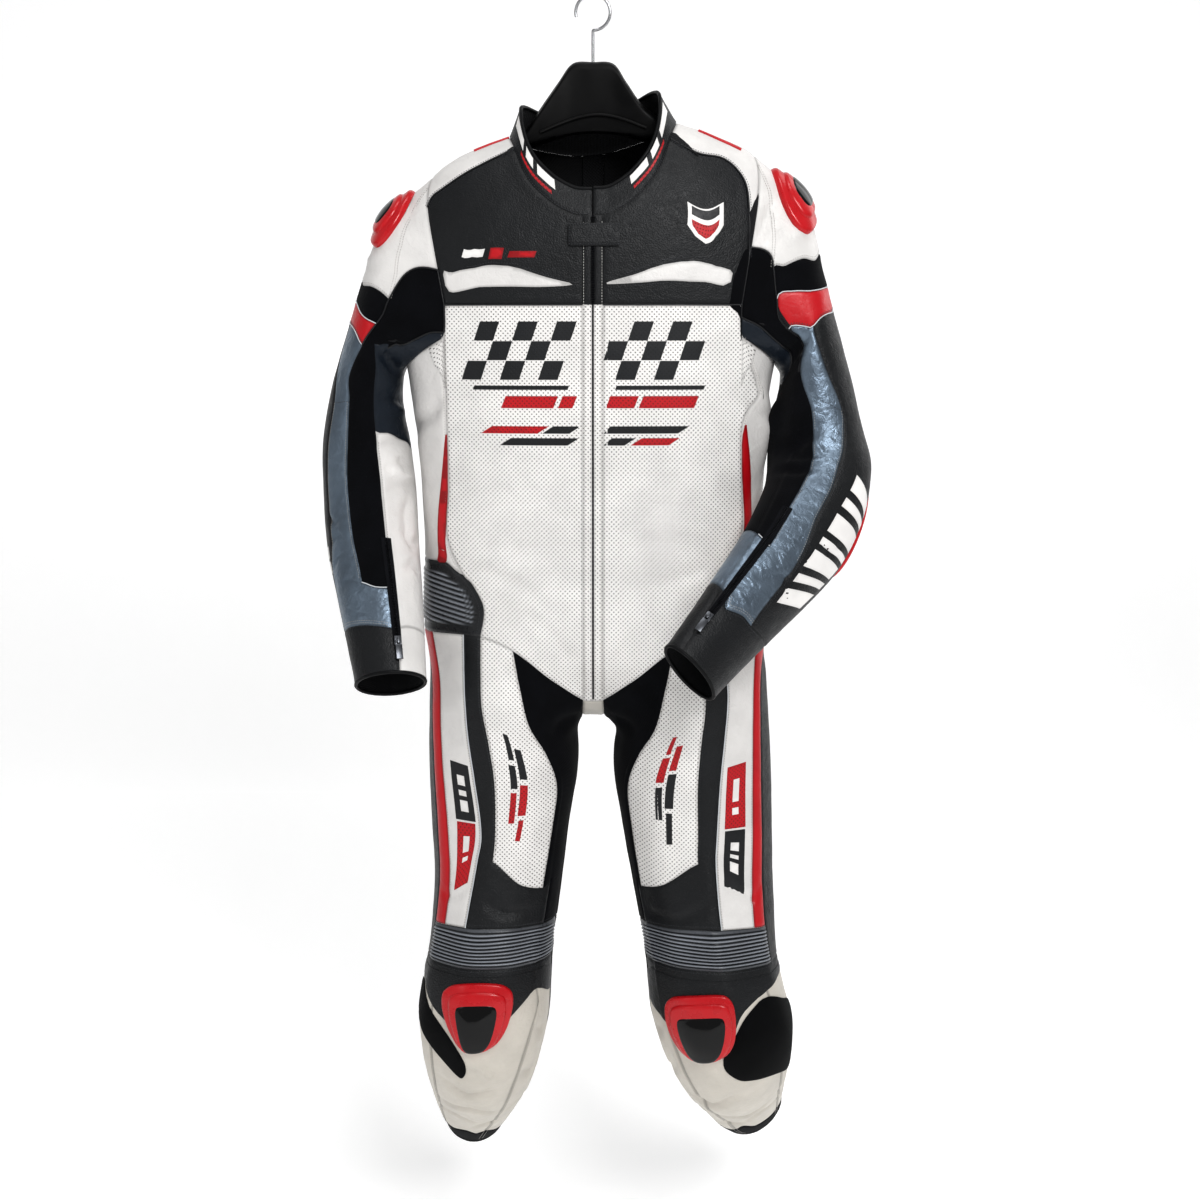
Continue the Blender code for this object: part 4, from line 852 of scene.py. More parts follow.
def measured(form, rows, columns):
    points, normals = form.at(rows[:, None], columns)
    across = np.linalg.norm(np.diff(points, axis=1, append=points[:, :1]), axis=2)
    down = np.linalg.norm(np.diff(points, axis=0), axis=2)
    along = np.zeros(points.shape[:2] + (2,))
    along[:, 1:, 0] = np.cumsum(across[:, :-1], axis=1)
    along[1:, :, 1] = -np.cumsum(down, axis=0)
    return points, normals, along, across.sum(axis=1)


def edge_lines(faces):
    """Edges that one face alone has, as pairs of points."""
    pairs = np.sort(np.stack([faces, np.roll(faces, -1, axis=1)], axis=2).reshape(-1, 2), axis=1)
    found, count = np.unique(pairs, axis=0, return_counts=True)
    return found[count == 1]


def distance_to_edges(points, pairs):
    nearest = np.full(len(points), np.inf)
    for pair in points[pairs]:
        np.minimum(nearest, to_segment(points, *pair)[0], out=nearest)
    return nearest


def seam_height(distance, depth):
    """The leather sinks to its seam and swells a little beside it."""
    swell = PUFF * np.exp(-(((distance - PUFF_PLACE) / PUFF_WIDTH) ** 2))
    return swell - depth * np.exp(-((distance / SEAM_HALF) ** 2))


def facing_out(points, faces, normals):
    first, second = points[faces[:, 1]] - points[faces[:, 0]], points[faces[:, 2]] - points[faces[:, 0]]
    outward = (np.cross(first, second) * normals[faces[:, 0]]).sum() > 0
    return faces if outward else faces[:, ::-1]


def new_object(name, data):
    made_object = bpy.data.objects.new(name, data)
    bpy.context.scene.collection.objects.link(made_object)
    return made_object


def new_mesh(name, points, edges, faces, finishes, of_face):
    """A mesh with its finishes, and the number of the finish of each face."""
    mesh = bpy.data.meshes.new(name)
    mesh.from_pydata(points, edges, faces)
    for finish in finishes:
        mesh.materials.append(finish_of(finish))
    mesh.polygons.foreach_set("material_index", np.asarray(of_face, np.int32))
    return mesh


def add_sheet(name, points, faces, along, edge, finishes, of_face, thickness, inner):
    """A shell whose outer face is given, with its lengths as UV and the distance to its edge.

    The wall goes inside. Inner is the finish of its inner face, counted on from the outer one's.
    """
    mesh = new_mesh(name, points.tolist(), [], faces.tolist(), finishes, of_face)
    layer = mesh.uv_layers.new(name="cut")
    at = np.empty(len(mesh.loops), int)
    mesh.loops.foreach_get("vertex_index", at)
    layer.data.foreach_set("uv", along[at].ravel())
    mesh.attributes.new("edge", "FLOAT", "POINT").data.foreach_set("value", np.minimum(edge, 0.05))
    sheet = new_object(name, mesh)
    wall = sheet.modifiers.new("Wall", "SOLIDIFY")
    wall.thickness = thickness
    wall.offset = -1
    wall.material_offset = inner
    return settle(sheet)


def settle(made_object):
    """Turns an object's modifiers into its plain mesh, smooth but for its sharp edges."""
    graph = bpy.context.evaluated_depsgraph_get()
    mesh = bpy.data.meshes.new_from_object(made_object.evaluated_get(graph))
    made_object.modifiers.clear()
    old = made_object.data
    made_object.data = mesh
    bpy.data.meshes.remove(old)
    mesh.name = made_object.name
    mesh.shade_smooth()
    mesh.set_sharp_from_angle(angle=math.radians(50))
    return made_object


def face_areas(points, faces):
    first, second = points[faces[:, 1]] - points[faces[:, 0]], points[faces[:, 2]] - points[faces[:, 0]]
    area = np.linalg.norm(np.cross(first, second), axis=1) / 2
    if faces.shape[1] == 4:
        third = points[faces[:, 3]] - points[faces[:, 0]]
        area += np.linalg.norm(np.cross(second, third), axis=1) / 2
    return area.sum()


def declare(piece, node, area, along):
    """Hangs the piece on what it rides on and hides its CAD node. Its flat cut is worked out but not kept.
    """
    finish_piece(piece, node)
    spread = np.ptp(along, axis=0)
    spread *= max(1, math.sqrt(area / (spread[0] * spread[1])) * 1.001)
    share = area / (spread[0] * spread[1])
    if share < LEAST_SHARE:
        spread *= math.sqrt(share / LEAST_SHARE)
    spread = np.maximum(spread, LEAST_SIDE)


LEAST_SHARE, LEAST_SIDE = 0.31, 0.01001  # of the flat cut that a panel fills, and of the cut, in metres


def cut_panel(name, node, kind, side, blocks, finish, lining="mesh lining", ribs=None):
    """One panel of leather, over blocks of a form: first and last row, first and last column."""
    form = form_of(kind, side)
    if ribs:
        rows = fine_places(form, blocks[0][:2], True, ribs["step"])
        rows = rows[(rows > blocks[0][0] - 1e-6) & (rows < blocks[0][1] + 1e-6)]
        columns = fine_places(form, blocks[0][2:], False, ribs["across"])
        points, normals, along, round_ = measured(form, rows, columns)
    else:
        form, rows, columns, points, normals, along, round_ = grid_of(kind, side)
    wide = len(columns)
    middles = (rows[1:] + rows[:-1]) / 2
    ends = np.append(columns[1:], columns[0] + form.columns) if form.loop else columns[1:]
    between = (columns[: len(ends)] + ends) / 2
    inside = np.zeros((len(middles), len(between)), bool)
    first = min(block[2] for block in blocks)
    for top, foot, start, end in blocks:
        shifted = between + form.columns * (between < start) if form.loop else between
        inside |= ((middles > top) & (middles < foot))[:, None] & ((shifted > start) & (shifted < end))
    row, column = np.nonzero(inside)
    after = (column + 1) % wide
    upper, lower = row * wide, (row + 1) * wide
    quads = np.stack([upper + column, upper + after, lower + after, lower + column], 1)
    used, index = np.unique(quads, return_inverse=True)
    quads = index.reshape(quads.shape)
    flat_points, flat_normals = points.reshape(-1, 3)[used], normals.reshape(-1, 3)[used]
    lengths = along.reshape(-1, 2)[used].copy()
    if form.loop:
        early = columns[used % wide] < first - 1e-9
        lengths[early, 0] += round_[used // wide][early]
    pairs = edge_lines(quads)
    edge = distance_to_edges(flat_points, pairs)
    height = relief(flat_points) + seam_height(edge, bpy.context.scene.race_suit_sizes.seam_depth)
    if ribs:
        place = ribs["phase"](rows[used // wide], flat_points)
        crest = np.abs(np.sin(np.pi * place)) ** 0.8
        inside = ribs["mask"](edge)
        height += ribs["height"] * (crest - 0.3) * inside
        # The edge attribute paints the ribs' light: a painted highlight along each crest, dark between the
        # crests and on the plain border.
        edge = SEAM_SHADE * (0.1 + 0.9 * crest**4 * inside)
    outer = flat_points + flat_normals * height[:, None]
    quads = facing_out(outer, quads, flat_normals)
    thickness = bpy.context.scene.race_suit_sizes.leather_thickness
    nothing = np.zeros(len(quads))
    pattern = outer[:, [0, 2]] if finish == "perforated leather" else lengths
    piece = add_sheet(name, outer, quads, pattern, edge, [finish, lining], nothing, thickness, 1)
    declare(piece, node, face_areas(flat_points, quads), lengths)
    return piece


def rounded(outline, times):
    """Corners cut off a closed outline, so that it turns smoothly."""
    outline = np.array(outline, float)
    for _ in range(times):
        after = np.roll(outline, -1, axis=0)
        cut = [outline * 0.78 + after * 0.22, outline * 0.22 + after * 0.78]
        outline = np.stack(cut, axis=1).reshape(-1, 2)
    return outline


def scale_at(form, row, column):
    """Metres to a row and to a column of a form, near a place."""
    steps = np.array(((0.25, 0), (0, 0.25)))
    ends = [form.at(*(sign * steps + (row, column)).T)[0] for sign in (1, -1)]
    return np.maximum(np.linalg.norm(ends[0] - ends[1], axis=1) * 2, 1e-4)


def filled(form, outline, size):
    """Triangles over an outline on a form, as places and faces, with lengths in metres."""
    scale = scale_at(form, *outline.mean(axis=0))
    corners_ = outline * scale
    rim = []
    for start, end in zip(corners_, np.roll(corners_, -1, axis=0)):
        steps = max(int(np.linalg.norm(end - start) / size), 1)
        rim += [start + (end - start) * step / steps for step in range(steps)]
    rim = np.array(rim)
    spans = [np.arange(low + size / 2, high, size) for low, high in zip(rim.min(axis=0), rim.max(axis=0))]
    grid = np.stack(np.meshgrid(*spans, indexing="ij"), -1).reshape(-1, 2)
    inside = np.zeros(len(grid), bool)
    for start, end in zip(rim, np.roll(rim, -1, axis=0)):
        if start[0] == end[0]:
            continue
        crossed = (grid[:, 0] > min(start[0], end[0])) & (grid[:, 0] <= max(start[0], end[0]))
        reach = start[1] + (grid[:, 0] - start[0]) * (end[1] - start[1]) / (end[0] - start[0])
        inside ^= crossed & (grid[:, 1] < reach)
    grid = grid[inside]
    if len(grid):
        space = np.linalg.norm(grid[:, None] - rim[None], axis=2).min(axis=1)
        grid = grid[space > size * 0.6]
    both = np.concatenate([rim, grid])
    edges = [(index, (index + 1) % len(rim)) for index in range(len(rim))]
    flat, _, faces, *_ = delaunay_2d_cdt([Vector(place) for place in both], edges, [], 1, 1e-7)
    flat = np.array([tuple(place) for place in flat])
    return flat / scale, np.array([face for face in faces if len(face) == 3]), flat[:, ::-1] * (1, -1)


def applied(name, pieces, thickness, size=0.005, node=None, cloth=False):
    """Pieces sewn or printed on panels, as one object: each is form, side, outline, finish and lift."""
    finishes = list(dict.fromkeys(piece[3] for piece in pieces))
    parts, offset = [], 0
    for kind, side, outline, finish, lift in pieces:
        form = form_of(kind, side)
        places, faces, lengths = filled(form, np.asarray(outline, float), size)
        points, normals = form.at(places[:, 0], places[:, 1])
        edge = distance_to_edges(points, edge_lines(faces))
        height = relief(points) + lift + thickness * (1 - 0.4 * np.exp(-((edge / 0.001) ** 2)))
        top = points + normals * height[:, None]
        faces = facing_out(top, faces, normals)
        index = np.full(len(faces), finishes.index(finish))
        parts.append((top, lengths, edge, faces + offset, index))
        offset += len(top)
    points, lengths, edge, faces, index = (np.concatenate(item) for item in zip(*parts))
    piece = add_sheet(name, points, faces, lengths, edge, finishes, index, thickness, 0)
    if cloth:
        declare(piece, node, face_areas(points, faces), lengths)
    else:
        finish_piece(piece, node)
    return piece


def finish_piece(piece, node, body="suit"):
    """Hangs the piece on its body's empty and hides the CAD node that it stands for."""
    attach(piece, body)
    if node:
        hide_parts(node)


# Materials.


def srgb(text):
    """A hex colour as linear values."""
    values = [int(text[at : at + 2], 16) / 255 for at in (1, 3, 5)]
    return tuple(
        value / 12.92 if value <= 0.04045 else ((value + 0.055) / 1.055) ** 2.4 for value in values
    )


def feed(tree, node, inputs):
    """Sets a node's inputs, by name or number, to values or links."""
    for name, value in inputs.items():
        if isinstance(value, bpy.types.NodeSocket):
            tree.links.new(value, node.inputs[name])
        else:
            node.inputs[name].default_value = value


def add_node(tree, kind, inputs=None, **settings):
    """A node with its settings and its inputs."""
    node = tree.nodes.new(kind)
    for name, value in settings.items():
        setattr(node, name, value)
    feed(tree, node, inputs or {})
    return node


def cloud(tree, place, size, detail, kind="FBM", **more):
    """Noise of a given size over a place."""
    inputs = {"Vector": place, "Scale": 1 / size, "Detail": detail, **more}
    return add_node(tree, "ShaderNodeTexNoise", inputs, noise_type=kind).outputs["Fac"]


def bump(tree, height, strength, distance, under=None, **settings):
    """The normal of a height, over another one's."""
    inputs = {"Height": height, "Strength": strength, "Distance": distance}
    if under:
        inputs["Normal"] = under
    return add_node(tree, "ShaderNodeBump", inputs, **settings).outputs[0]


def mixed(tree, share, first, second):
    """The second colour in place of the first, by a share."""
    inputs = {0: share, 6: first, 7: second}
    return add_node(tree, "ShaderNodeMix", inputs, data_type="RGBA").outputs[2]


def ranged(tree, value, start, end, low, high):
    """A value's range turned into another, smoothly."""
    inputs = {"Value": value, "From Min": start, "From Max": end, "To Min": low, "To Max": high}
    return add_node(tree, "ShaderNodeMapRange", inputs, interpolation_type="SMOOTHSTEP").outputs["Result"]


def hole_grid(tree, pitch, radius):
    """1 inside small round holes, in a square grid turned by 45 degrees, on the panel's own lengths."""
    cut = add_node(tree, "ShaderNodeUVMap", uv_map="cut").outputs["UV"]
    turned = {"Vector": cut, "Rotation": (0, 0, math.pi / 4), "Scale": (1 / pitch, 1 / pitch, 1)}
    place = add_node(tree, "ShaderNodeMapping", turned).outputs["Vector"]
    part = add_node(tree, "ShaderNodeVectorMath", {0: place}, operation="FRACTION").outputs["Vector"]
    offset = add_node(tree, "ShaderNodeVectorMath", {0: part, 1: (0.5, 0.5, 0)}, operation="SUBTRACT")
    distance = add_node(tree, "ShaderNodeVectorMath", {0: offset.outputs["Vector"]}, operation="LENGTH")
    share = radius / pitch
    return ranged(tree, distance.outputs["Value"], share * 0.7, share * 1.3, 1.0, 0.0)


def scaled_colour(tree, colour, amount):
    """A colour times an amount that changes over the surface."""
    inputs = {0: colour, "Scale": amount}
    return add_node(tree, "ShaderNodeVectorMath", inputs, operation="SCALE").outputs["Vector"]


def leather(
    tree, shader, colour, pebble, roughness, grain, soft, mottle=0.05, rub=0.85, crumple=0.0, holes=None
):
    """Grain in cells, soft creasing, mottled colour, and a darker line at each seam: painted shade with
    some dirt.
    """
    place = add_node(tree, "ShaderNodeTexCoord").outputs["Object"]
    patches = cloud(tree, place, 0.045, 4.0)
    cells = {"Vector": place, "Scale": 1 / pebble}
    cells = add_node(tree, "ShaderNodeTexVoronoi", cells).outputs["Distance"]
    folds = cloud(tree, place, 0.011, 5.0, Roughness=0.62, Distortion=0.6)
    edge = add_node(tree, "ShaderNodeAttribute", attribute_name="edge").outputs["Fac"]
    shade = ranged(tree, patches, 0.3, 0.7, 1 - mottle, 1 + mottle)
    # Painted shade of the seam's groove, with some dirt: the colour darkens towards the panel's edge.
    near = ranged(tree, edge, 0.0, SEAM_SHADE, rub, 1.0)
    amount = add_node(tree, "ShaderNodeMath", {0: shade, 1: near}, operation="MULTIPLY").outputs[0]
    painted = scaled_colour(tree, colour, amount)
    normal = bump(tree, folds, soft, 0.0016)
    if crumple:
        bent = cloud(tree, place, 0.02, 3.0, "RIDGED_MULTIFRACTAL", Distortion=1.4)
        normal = bump(tree, bent, crumple, 0.003, normal)
    normal = bump(tree, cells, grain, 0.0003, normal)
    if holes:
        hole = hole_grid(tree, *HOLES)
        painted = mixed(tree, hole, painted, (*srgb(holes), 1))
        normal = bump(tree, hole, 0.5, 0.0008, normal, invert=True)
    gloss = ranged(tree, folds, 0.25, 0.75, roughness - 0.06, roughness + 0.08)
    feed(tree, shader, {"Base Color": painted, "Normal": normal, "Roughness": gloss})


def knit(tree, shader, colour, pitch, lift):
    """Rows of fine stitches, matt, with a soft nap at glancing angles."""
    cut = add_node(tree, "ShaderNodeUVMap", uv_map="cut").outputs["UV"]
    turned = {"Vector": cut, "Rotation": (0, 0, 0.5), "Scale": (1 / pitch, 1 / pitch, 1)}
    place = add_node(tree, "ShaderNodeMapping", turned).outputs["Vector"]
    inputs = {"Vector": place, "Scale": 0.32, "Distortion": 1.0, "Detail": 1.0}
    wave = add_node(tree, "ShaderNodeTexWave", inputs).outputs["Fac"]
    solid = add_node(tree, "ShaderNodeTexCoord").outputs["Object"]
    amount = ranged(tree, cloud(tree, solid, 0.03, 4.0), 0.3, 0.7, 0.8, 1.25)
    inputs = {"Base Color": scaled_colour(tree, colour, amount), "Normal": bump(tree, wave, lift, 0.0003)}
    inputs |= {"Roughness": 0.95, "Specular IOR Level": 0.12, "Sheen Weight": 0.04, "Sheen Roughness": 0.5}
    feed(tree, shader, inputs)


def net_lining(tree, shader, colour, pitch):
    """A warp-knitted net: dark round eyes in a matt ground."""
    hole = hole_grid(tree, pitch, pitch * 0.34)
    painted = mixed(tree, hole, (*colour, 1), (0.001, 0.001, 0.001, 1))
    normal = bump(tree, hole, 0.6, 0.001, invert=True)
    feed(tree, shader, {"Base Color": painted, "Normal": normal, "Roughness": 0.85})


def plain(tree, shader, colour, roughness, size=0.0006, lift=0.06, mottle=0.05):
    """A smooth moulded, coated or spun surface, faintly uneven."""
    place = add_node(tree, "ShaderNodeTexCoord").outputs["Object"]
    fine = cloud(tree, place, size, 3.0)
    patches = cloud(tree, place, 0.02, 5.0)
    amount = ranged(tree, patches, 0.3, 0.7, 1 - mottle, 1 + mottle)
    inputs = {"Base Color": scaled_colour(tree, colour, amount), "Normal": bump(tree, fine, lift, 0.0002)}
    inputs["Roughness"] = ranged(tree, patches, 0.3, 0.7, roughness * 0.85, roughness * 1.2)
    feed(tree, shader, {**inputs, "Coat Roughness": 0.08})


def finish_of(name):
    """The material of a finish, made at its first use."""
    found = bpy.data.materials.get(name)
    if found:
        return found
    found = bpy.data.materials.new(name)
    found.use_nodes = True
    tree = found.node_tree
    shader = tree.nodes["Principled BSDF"]
    _, make, colour, settings = FINISHES[name]
    settings = dict(settings)
    if colour.startswith("#"):
        colour = srgb(colour)
    else:
        colour = tuple(getattr(bpy.context.scene.race_suit_colours, colour))
    for setting, socket in SHADER_SETTINGS.items():
        if setting in settings:
            shader.inputs[socket].default_value = settings.pop(setting)
    make(tree, shader, colour, **settings)
    return found


def hide(slot, colour, pebble, roughness, grain, soft, **more):
    """A leather finish, by the size of its pebbles and how strongly it is grained and creased."""
    sizes = {"pebble": pebble, "roughness": roughness, "grain": grain, "soft": soft}
    return slot + "_leather", leather, colour, {**sizes, **more}


def cloth(colour, pitch, lift):
    return "black_stretch", knit, colour, {"pitch": pitch, "lift": lift}


def moulded(slot, colour, roughness, **more):
    """A smooth finish: spun, moulded or cast."""
    return slot, plain, colour, {"roughness": roughness, **more}


# Settings that go straight to the shader.
SHADER_SETTINGS = {"gleam": "Specular IOR Level", "metallic": "Metallic", "coat": "Coat Weight"}
# Pitch and radius of the perforation. The real holes are a little finer.
HOLES = (0.0042, 0.0008)
# Where a finish sets how much darker it gets at its seam, that is painted shade with some dirt.
FINISHES = {
    # name: slot, colour, pebble, roughness, grain, soft, and what differs from the usual
    # Cowhide, dyed and pebbled: a soft highlight broken up by its grain.
    "black leather": hide("black", "black", 0.002, 0.44, 1.3, 0.6, mottle=0.12, gleam=0.4),
    # Cowhide with a smooth white finish: bright, with faint creases, and seams greyed by painted shade with
    # some dirt.
    "white leather": hide("white", "white", 0.0016, 0.42, 0.25, 0.8, rub=0.66),
    # The same hide punched with small holes, which show as a grey grid.
    "perforated leather": hide("white", "#e8e6e4", 0.0014, 0.46, 0.08, 0.4, rub=0.72, holes="#5f5c5a"),
    # The white hide in painted shade, warmer and duller, for the shins and calves, which face down and away
    # from the light.
    "shaded white leather": hide("white", "#cac5bc", 0.0016, 0.44, 0.2, 0.9, rub=0.6),
    # Thin, soft hide, let in between the legs, its white darkened a little with painted shade.
    "pale shaded leather": hide("white", "#d0ccc4", 0.0014, 0.48, 0.12, 0.3, rub=0.7),
    # Thin dyed hide: strong red, a little glossy.
    "red leather": hide("red", "red", 0.0014, 0.36, 0.12, 0.4, rub=0.6),
    # Hide under a metallic foil: it crumples, and each fold catches the light.
    "grey metallic leather": hide(
        "grey", "grey", 0.0014, 0.34, 0.1, 1.0, crumple=0.35, mottle=0.15, rub=0.55, metallic=0.75
    ),
    # Smooth hide, near black and a little shiny under the arm.
    "navy leather": hide("navy", "navy", 0.0014, 0.36, 0.1, 0.5, crumple=0.35, gleam=0.3),
    # Hide sewn over elastic, so that it stands in ribs. Its colour is a painted highlight on their crests,
    # darkened to black between them and on the border.
    "ribbed leather": hide("black", "#8c9097", 0.0014, 0.3, 0.2, 0.2, mottle=0.1, rub=0.05, gleam=0.4),
    # Smooth binding, folded over the edge of collar and cuffs.
    "bound edge": hide("black", "#131416", 0.001, 0.45, 0.1, 0.1, gleam=0.2),
    # Aramid stretch knit: deep black and matt.
    "black stretch": cloth("#0b0c10", 0.0018, 0.5),
    # Woven polyester tape.
    "zip tape": cloth("#15161a", 0.001, 0.4),
    # The loop side of touch fastening: it swallows nearly all light.
    "loop patch": cloth("#08090b", 0.0012, 0.8),
    # Polyester net, warp-knitted, inside every panel.
    "mesh lining": ("black_stretch", net_lining, "#1d1e22", {"pitch": 0.003}),
    # Thin hide, cut out and sewn on.
    "black patch": hide("black", "#15161a", 0.0016, 0.46, 0.3, 0.2),
    # Ink pressed onto the perforated hide, whose holes show through.
    "black print": hide("black", "#17191d", 0.0014, 0.5, 0.1, 0.1, holes="#0c0d0f"),
    "red print": hide("red", "red", 0.0014, 0.45, 0.1, 0.1, holes="#5c0a10"),
    # White ink, laid over the other colours.
    "white print": hide("white", "#eceae8", 0.0014, 0.45, 0.05, 0.1, rub=0.9),
    # Polyester thread, a soft sheen along each stitch.
    "white thread": moulded("white_leather", "#e9e7e2", 0.55),
    "grey thread": moulded("white_leather", "#a9a6a2", 0.55),
    "black thread": moulded("black_leather", "#3a3c41", 0.55),
    # Piping of thin hide round a cord.
    "black piping": moulded("black_leather", "#17181b", 0.35),
    "pale piping": moulded("white_leather", "#c9cccf", 0.35),
    "red piping": moulded("red_leather", "red", 0.4),
    # Polyacetal, moulded onto the tape tooth by tooth.
    "black teeth": moulded("black_plastic", "#1b1c1f", 0.35),
    # Polyurethane, injection moulded: bright, smooth, a clear gloss.
    "red moulded plastic": moulded("red_plastic", "#be0f1c", 0.28, lift=0.04, coat=0.15, mottle=0.04),
    # The wear plate: dark metallised plastic, nearly a mirror.
    "smoked insert": moulded("dark_metal", "#060607", 0.1, lift=0.02, coat=0.1, mottle=0.15, gleam=0.35),
    # Polypropylene, injection moulded with a satin skin.
    "satin plastic": moulded("black_plastic", "#050506", 0.42, lift=0.15, gleam=0.18),
    # Zinc, cast and darkened.
    "dark metal": moulded("dark_metal", "#5b5d61", 0.3, metallic=1.0),
    # Steel wire, bent and plated.
    "steel": moulded("dark_metal", "#b9babc", 0.22, metallic=1.0),
}


# What follows a path: stitches, zip teeth, piping.


def new_group(name, sizes):
    """A Geometry Nodes tree with named inputs, and its two end nodes."""
    tree = bpy.data.node_groups.new(name, "GeometryNodeTree")
    inputs = [("Geometry", "Geometry"), *((size, "Float") for size in sizes), ("Material", "Material")]
    for title, kind in inputs:
        tree.interface.new_socket(title, in_out="INPUT", socket_type="NodeSocket" + kind)
    tree.interface.new_socket("Geometry", in_out="OUTPUT", socket_type="NodeSocketGeometry")
    return tree, add_node(tree, "NodeGroupInput").outputs, add_node(tree, "NodeGroupOutput")


def spaced_curve(tree, given):
    """The paths as curves, with points a pitch apart."""
    curve = add_node(tree, "GeometryNodeMeshToCurve", {"Mesh": given["Geometry"]}).outputs[0]
    inputs = {"Curve": curve, "Length": given["Pitch"]}
    return add_node(tree, "GeometryNodeResampleCurve", inputs, mode="LENGTH").outputs[0]


def finish_group(tree, geometry, given, end):
    """Ends a tree in real geometry with its material."""
    real = add_node(tree, "GeometryNodeRealizeInstances", {"Geometry": geometry}).outputs[0]
    smooth_ = add_node(tree, "GeometryNodeSetShadeSmooth", {"Geometry": real}).outputs[0]
    inputs = {"Geometry": smooth_, "Material": given["Material"]}
    tree.links.new(add_node(tree, "GeometryNodeSetMaterial", inputs).outputs[0], end.inputs[0])
    return tree


def bead_group():
    """Beads along paths, such as stitches and zip teeth."""
    found = bpy.data.node_groups.get("Beads along paths")
    if found:
        return found
    tree, given, end = new_group("Beads along paths", ("Pitch", "Length", "Width"))
    spaced = spaced_curve(tree, given)
    ball = add_node(tree, "GeometryNodeMeshIcoSphere", {"Radius": 0.5, "Subdivisions": 1}).outputs[0]
    tangent = add_node(tree, "GeometryNodeInputTangent").outputs[0]
    turned = add_node(tree, "FunctionNodeAlignRotationToVector", {"Vector": tangent}, axis="X").outputs[0]
    size = {"X": given["Length"], "Y": given["Width"], "Z": given["Width"]}
    size = add_node(tree, "ShaderNodeCombineXYZ", size).outputs[0]
    inputs = {"Points": spaced, "Instance": ball, "Rotation": turned, "Scale": size}
    beads = add_node(tree, "GeometryNodeInstanceOnPoints", inputs).outputs[0]
    return finish_group(tree, beads, given, end)


def cord_group():
    """A round cord along paths, such as piping and bound edges."""
    found = bpy.data.node_groups.get("Cord along paths")
    if found:
        return found
    tree, given, end = new_group("Cord along paths", ("Pitch", "Width"))
    spaced = spaced_curve(tree, given)
    half = add_node(tree, "ShaderNodeMath", {0: given["Width"], 1: 0.5}, operation="MULTIPLY").outputs[0]
    circle = {"Resolution": 8, "Radius": half}
    circle = add_node(tree, "GeometryNodeCurvePrimitiveCircle", circle).outputs[0]
    inputs = {"Curve": spaced, "Profile Curve": circle, "Fill Caps": True}
    return finish_group(tree, add_node(tree, "GeometryNodeCurveToMesh", inputs).outputs[0], given, end)


def along_paths(name, group, paths, finish, body="suit", **sizes):
    """One object of what a group makes along paths, each a line of points, closed or not."""
    points, edges = [], []
    for line, closed in paths:
        first = len(points)
        points += [tuple(point) for point in line]
        edges += [(index, index + 1) for index in range(first, len(points) - 1)]
        if closed:
            edges.append((len(points) - 1, first))
    piece = new_object(name, new_mesh(name, points, edges, [], [], []))
    modifier = piece.modifiers.new(name, "NODES")
    modifier.node_group = group
    values = {**sizes, "Material": finish_of(finish)}
    for socket in group.interface.items_tree:
        if socket.in_out == "INPUT" and socket.name in values:
            modifier[socket.identifier] = values[socket.name]
    piece = settle(piece)
    if not piece.data.polygons:
        raise RuntimeError(f"{name} came out empty")
    finish_piece(piece, None, body)
    return piece


def path_on(kind, side, places, aside=0.0, lift=0.0, closed=False):
    """Points along places of a form, on its leather, moved aside and lifted."""
    points, normals = dense(form_of(kind, side), places, 0.0045, closed)
    if closed:
        points, normals = points[:-1], normals[:-1]
        ways = np.roll(points, -1, axis=0) - np.roll(points, 1, axis=0)
    else:
        ways = np.gradient(points, axis=0)
    across = np.cross(unit(ways), normals)
    return points + across * aside + normals * (relief(points) + lift)[:, None], closed


def paths_of(table, lift):
    """The paths of a table's rows, on each side that a row names."""
    paths = []
    for kind, sides, places, *asides in table:
        places = np.reshape(places, (-1, 2))
        for side in sides:
            for aside in asides:
                paths.append(path_on(kind, side, places, (side or 1) * aside * MM, lift))
    return paths


# Tables of the pieces. Places are rows and columns of a form.

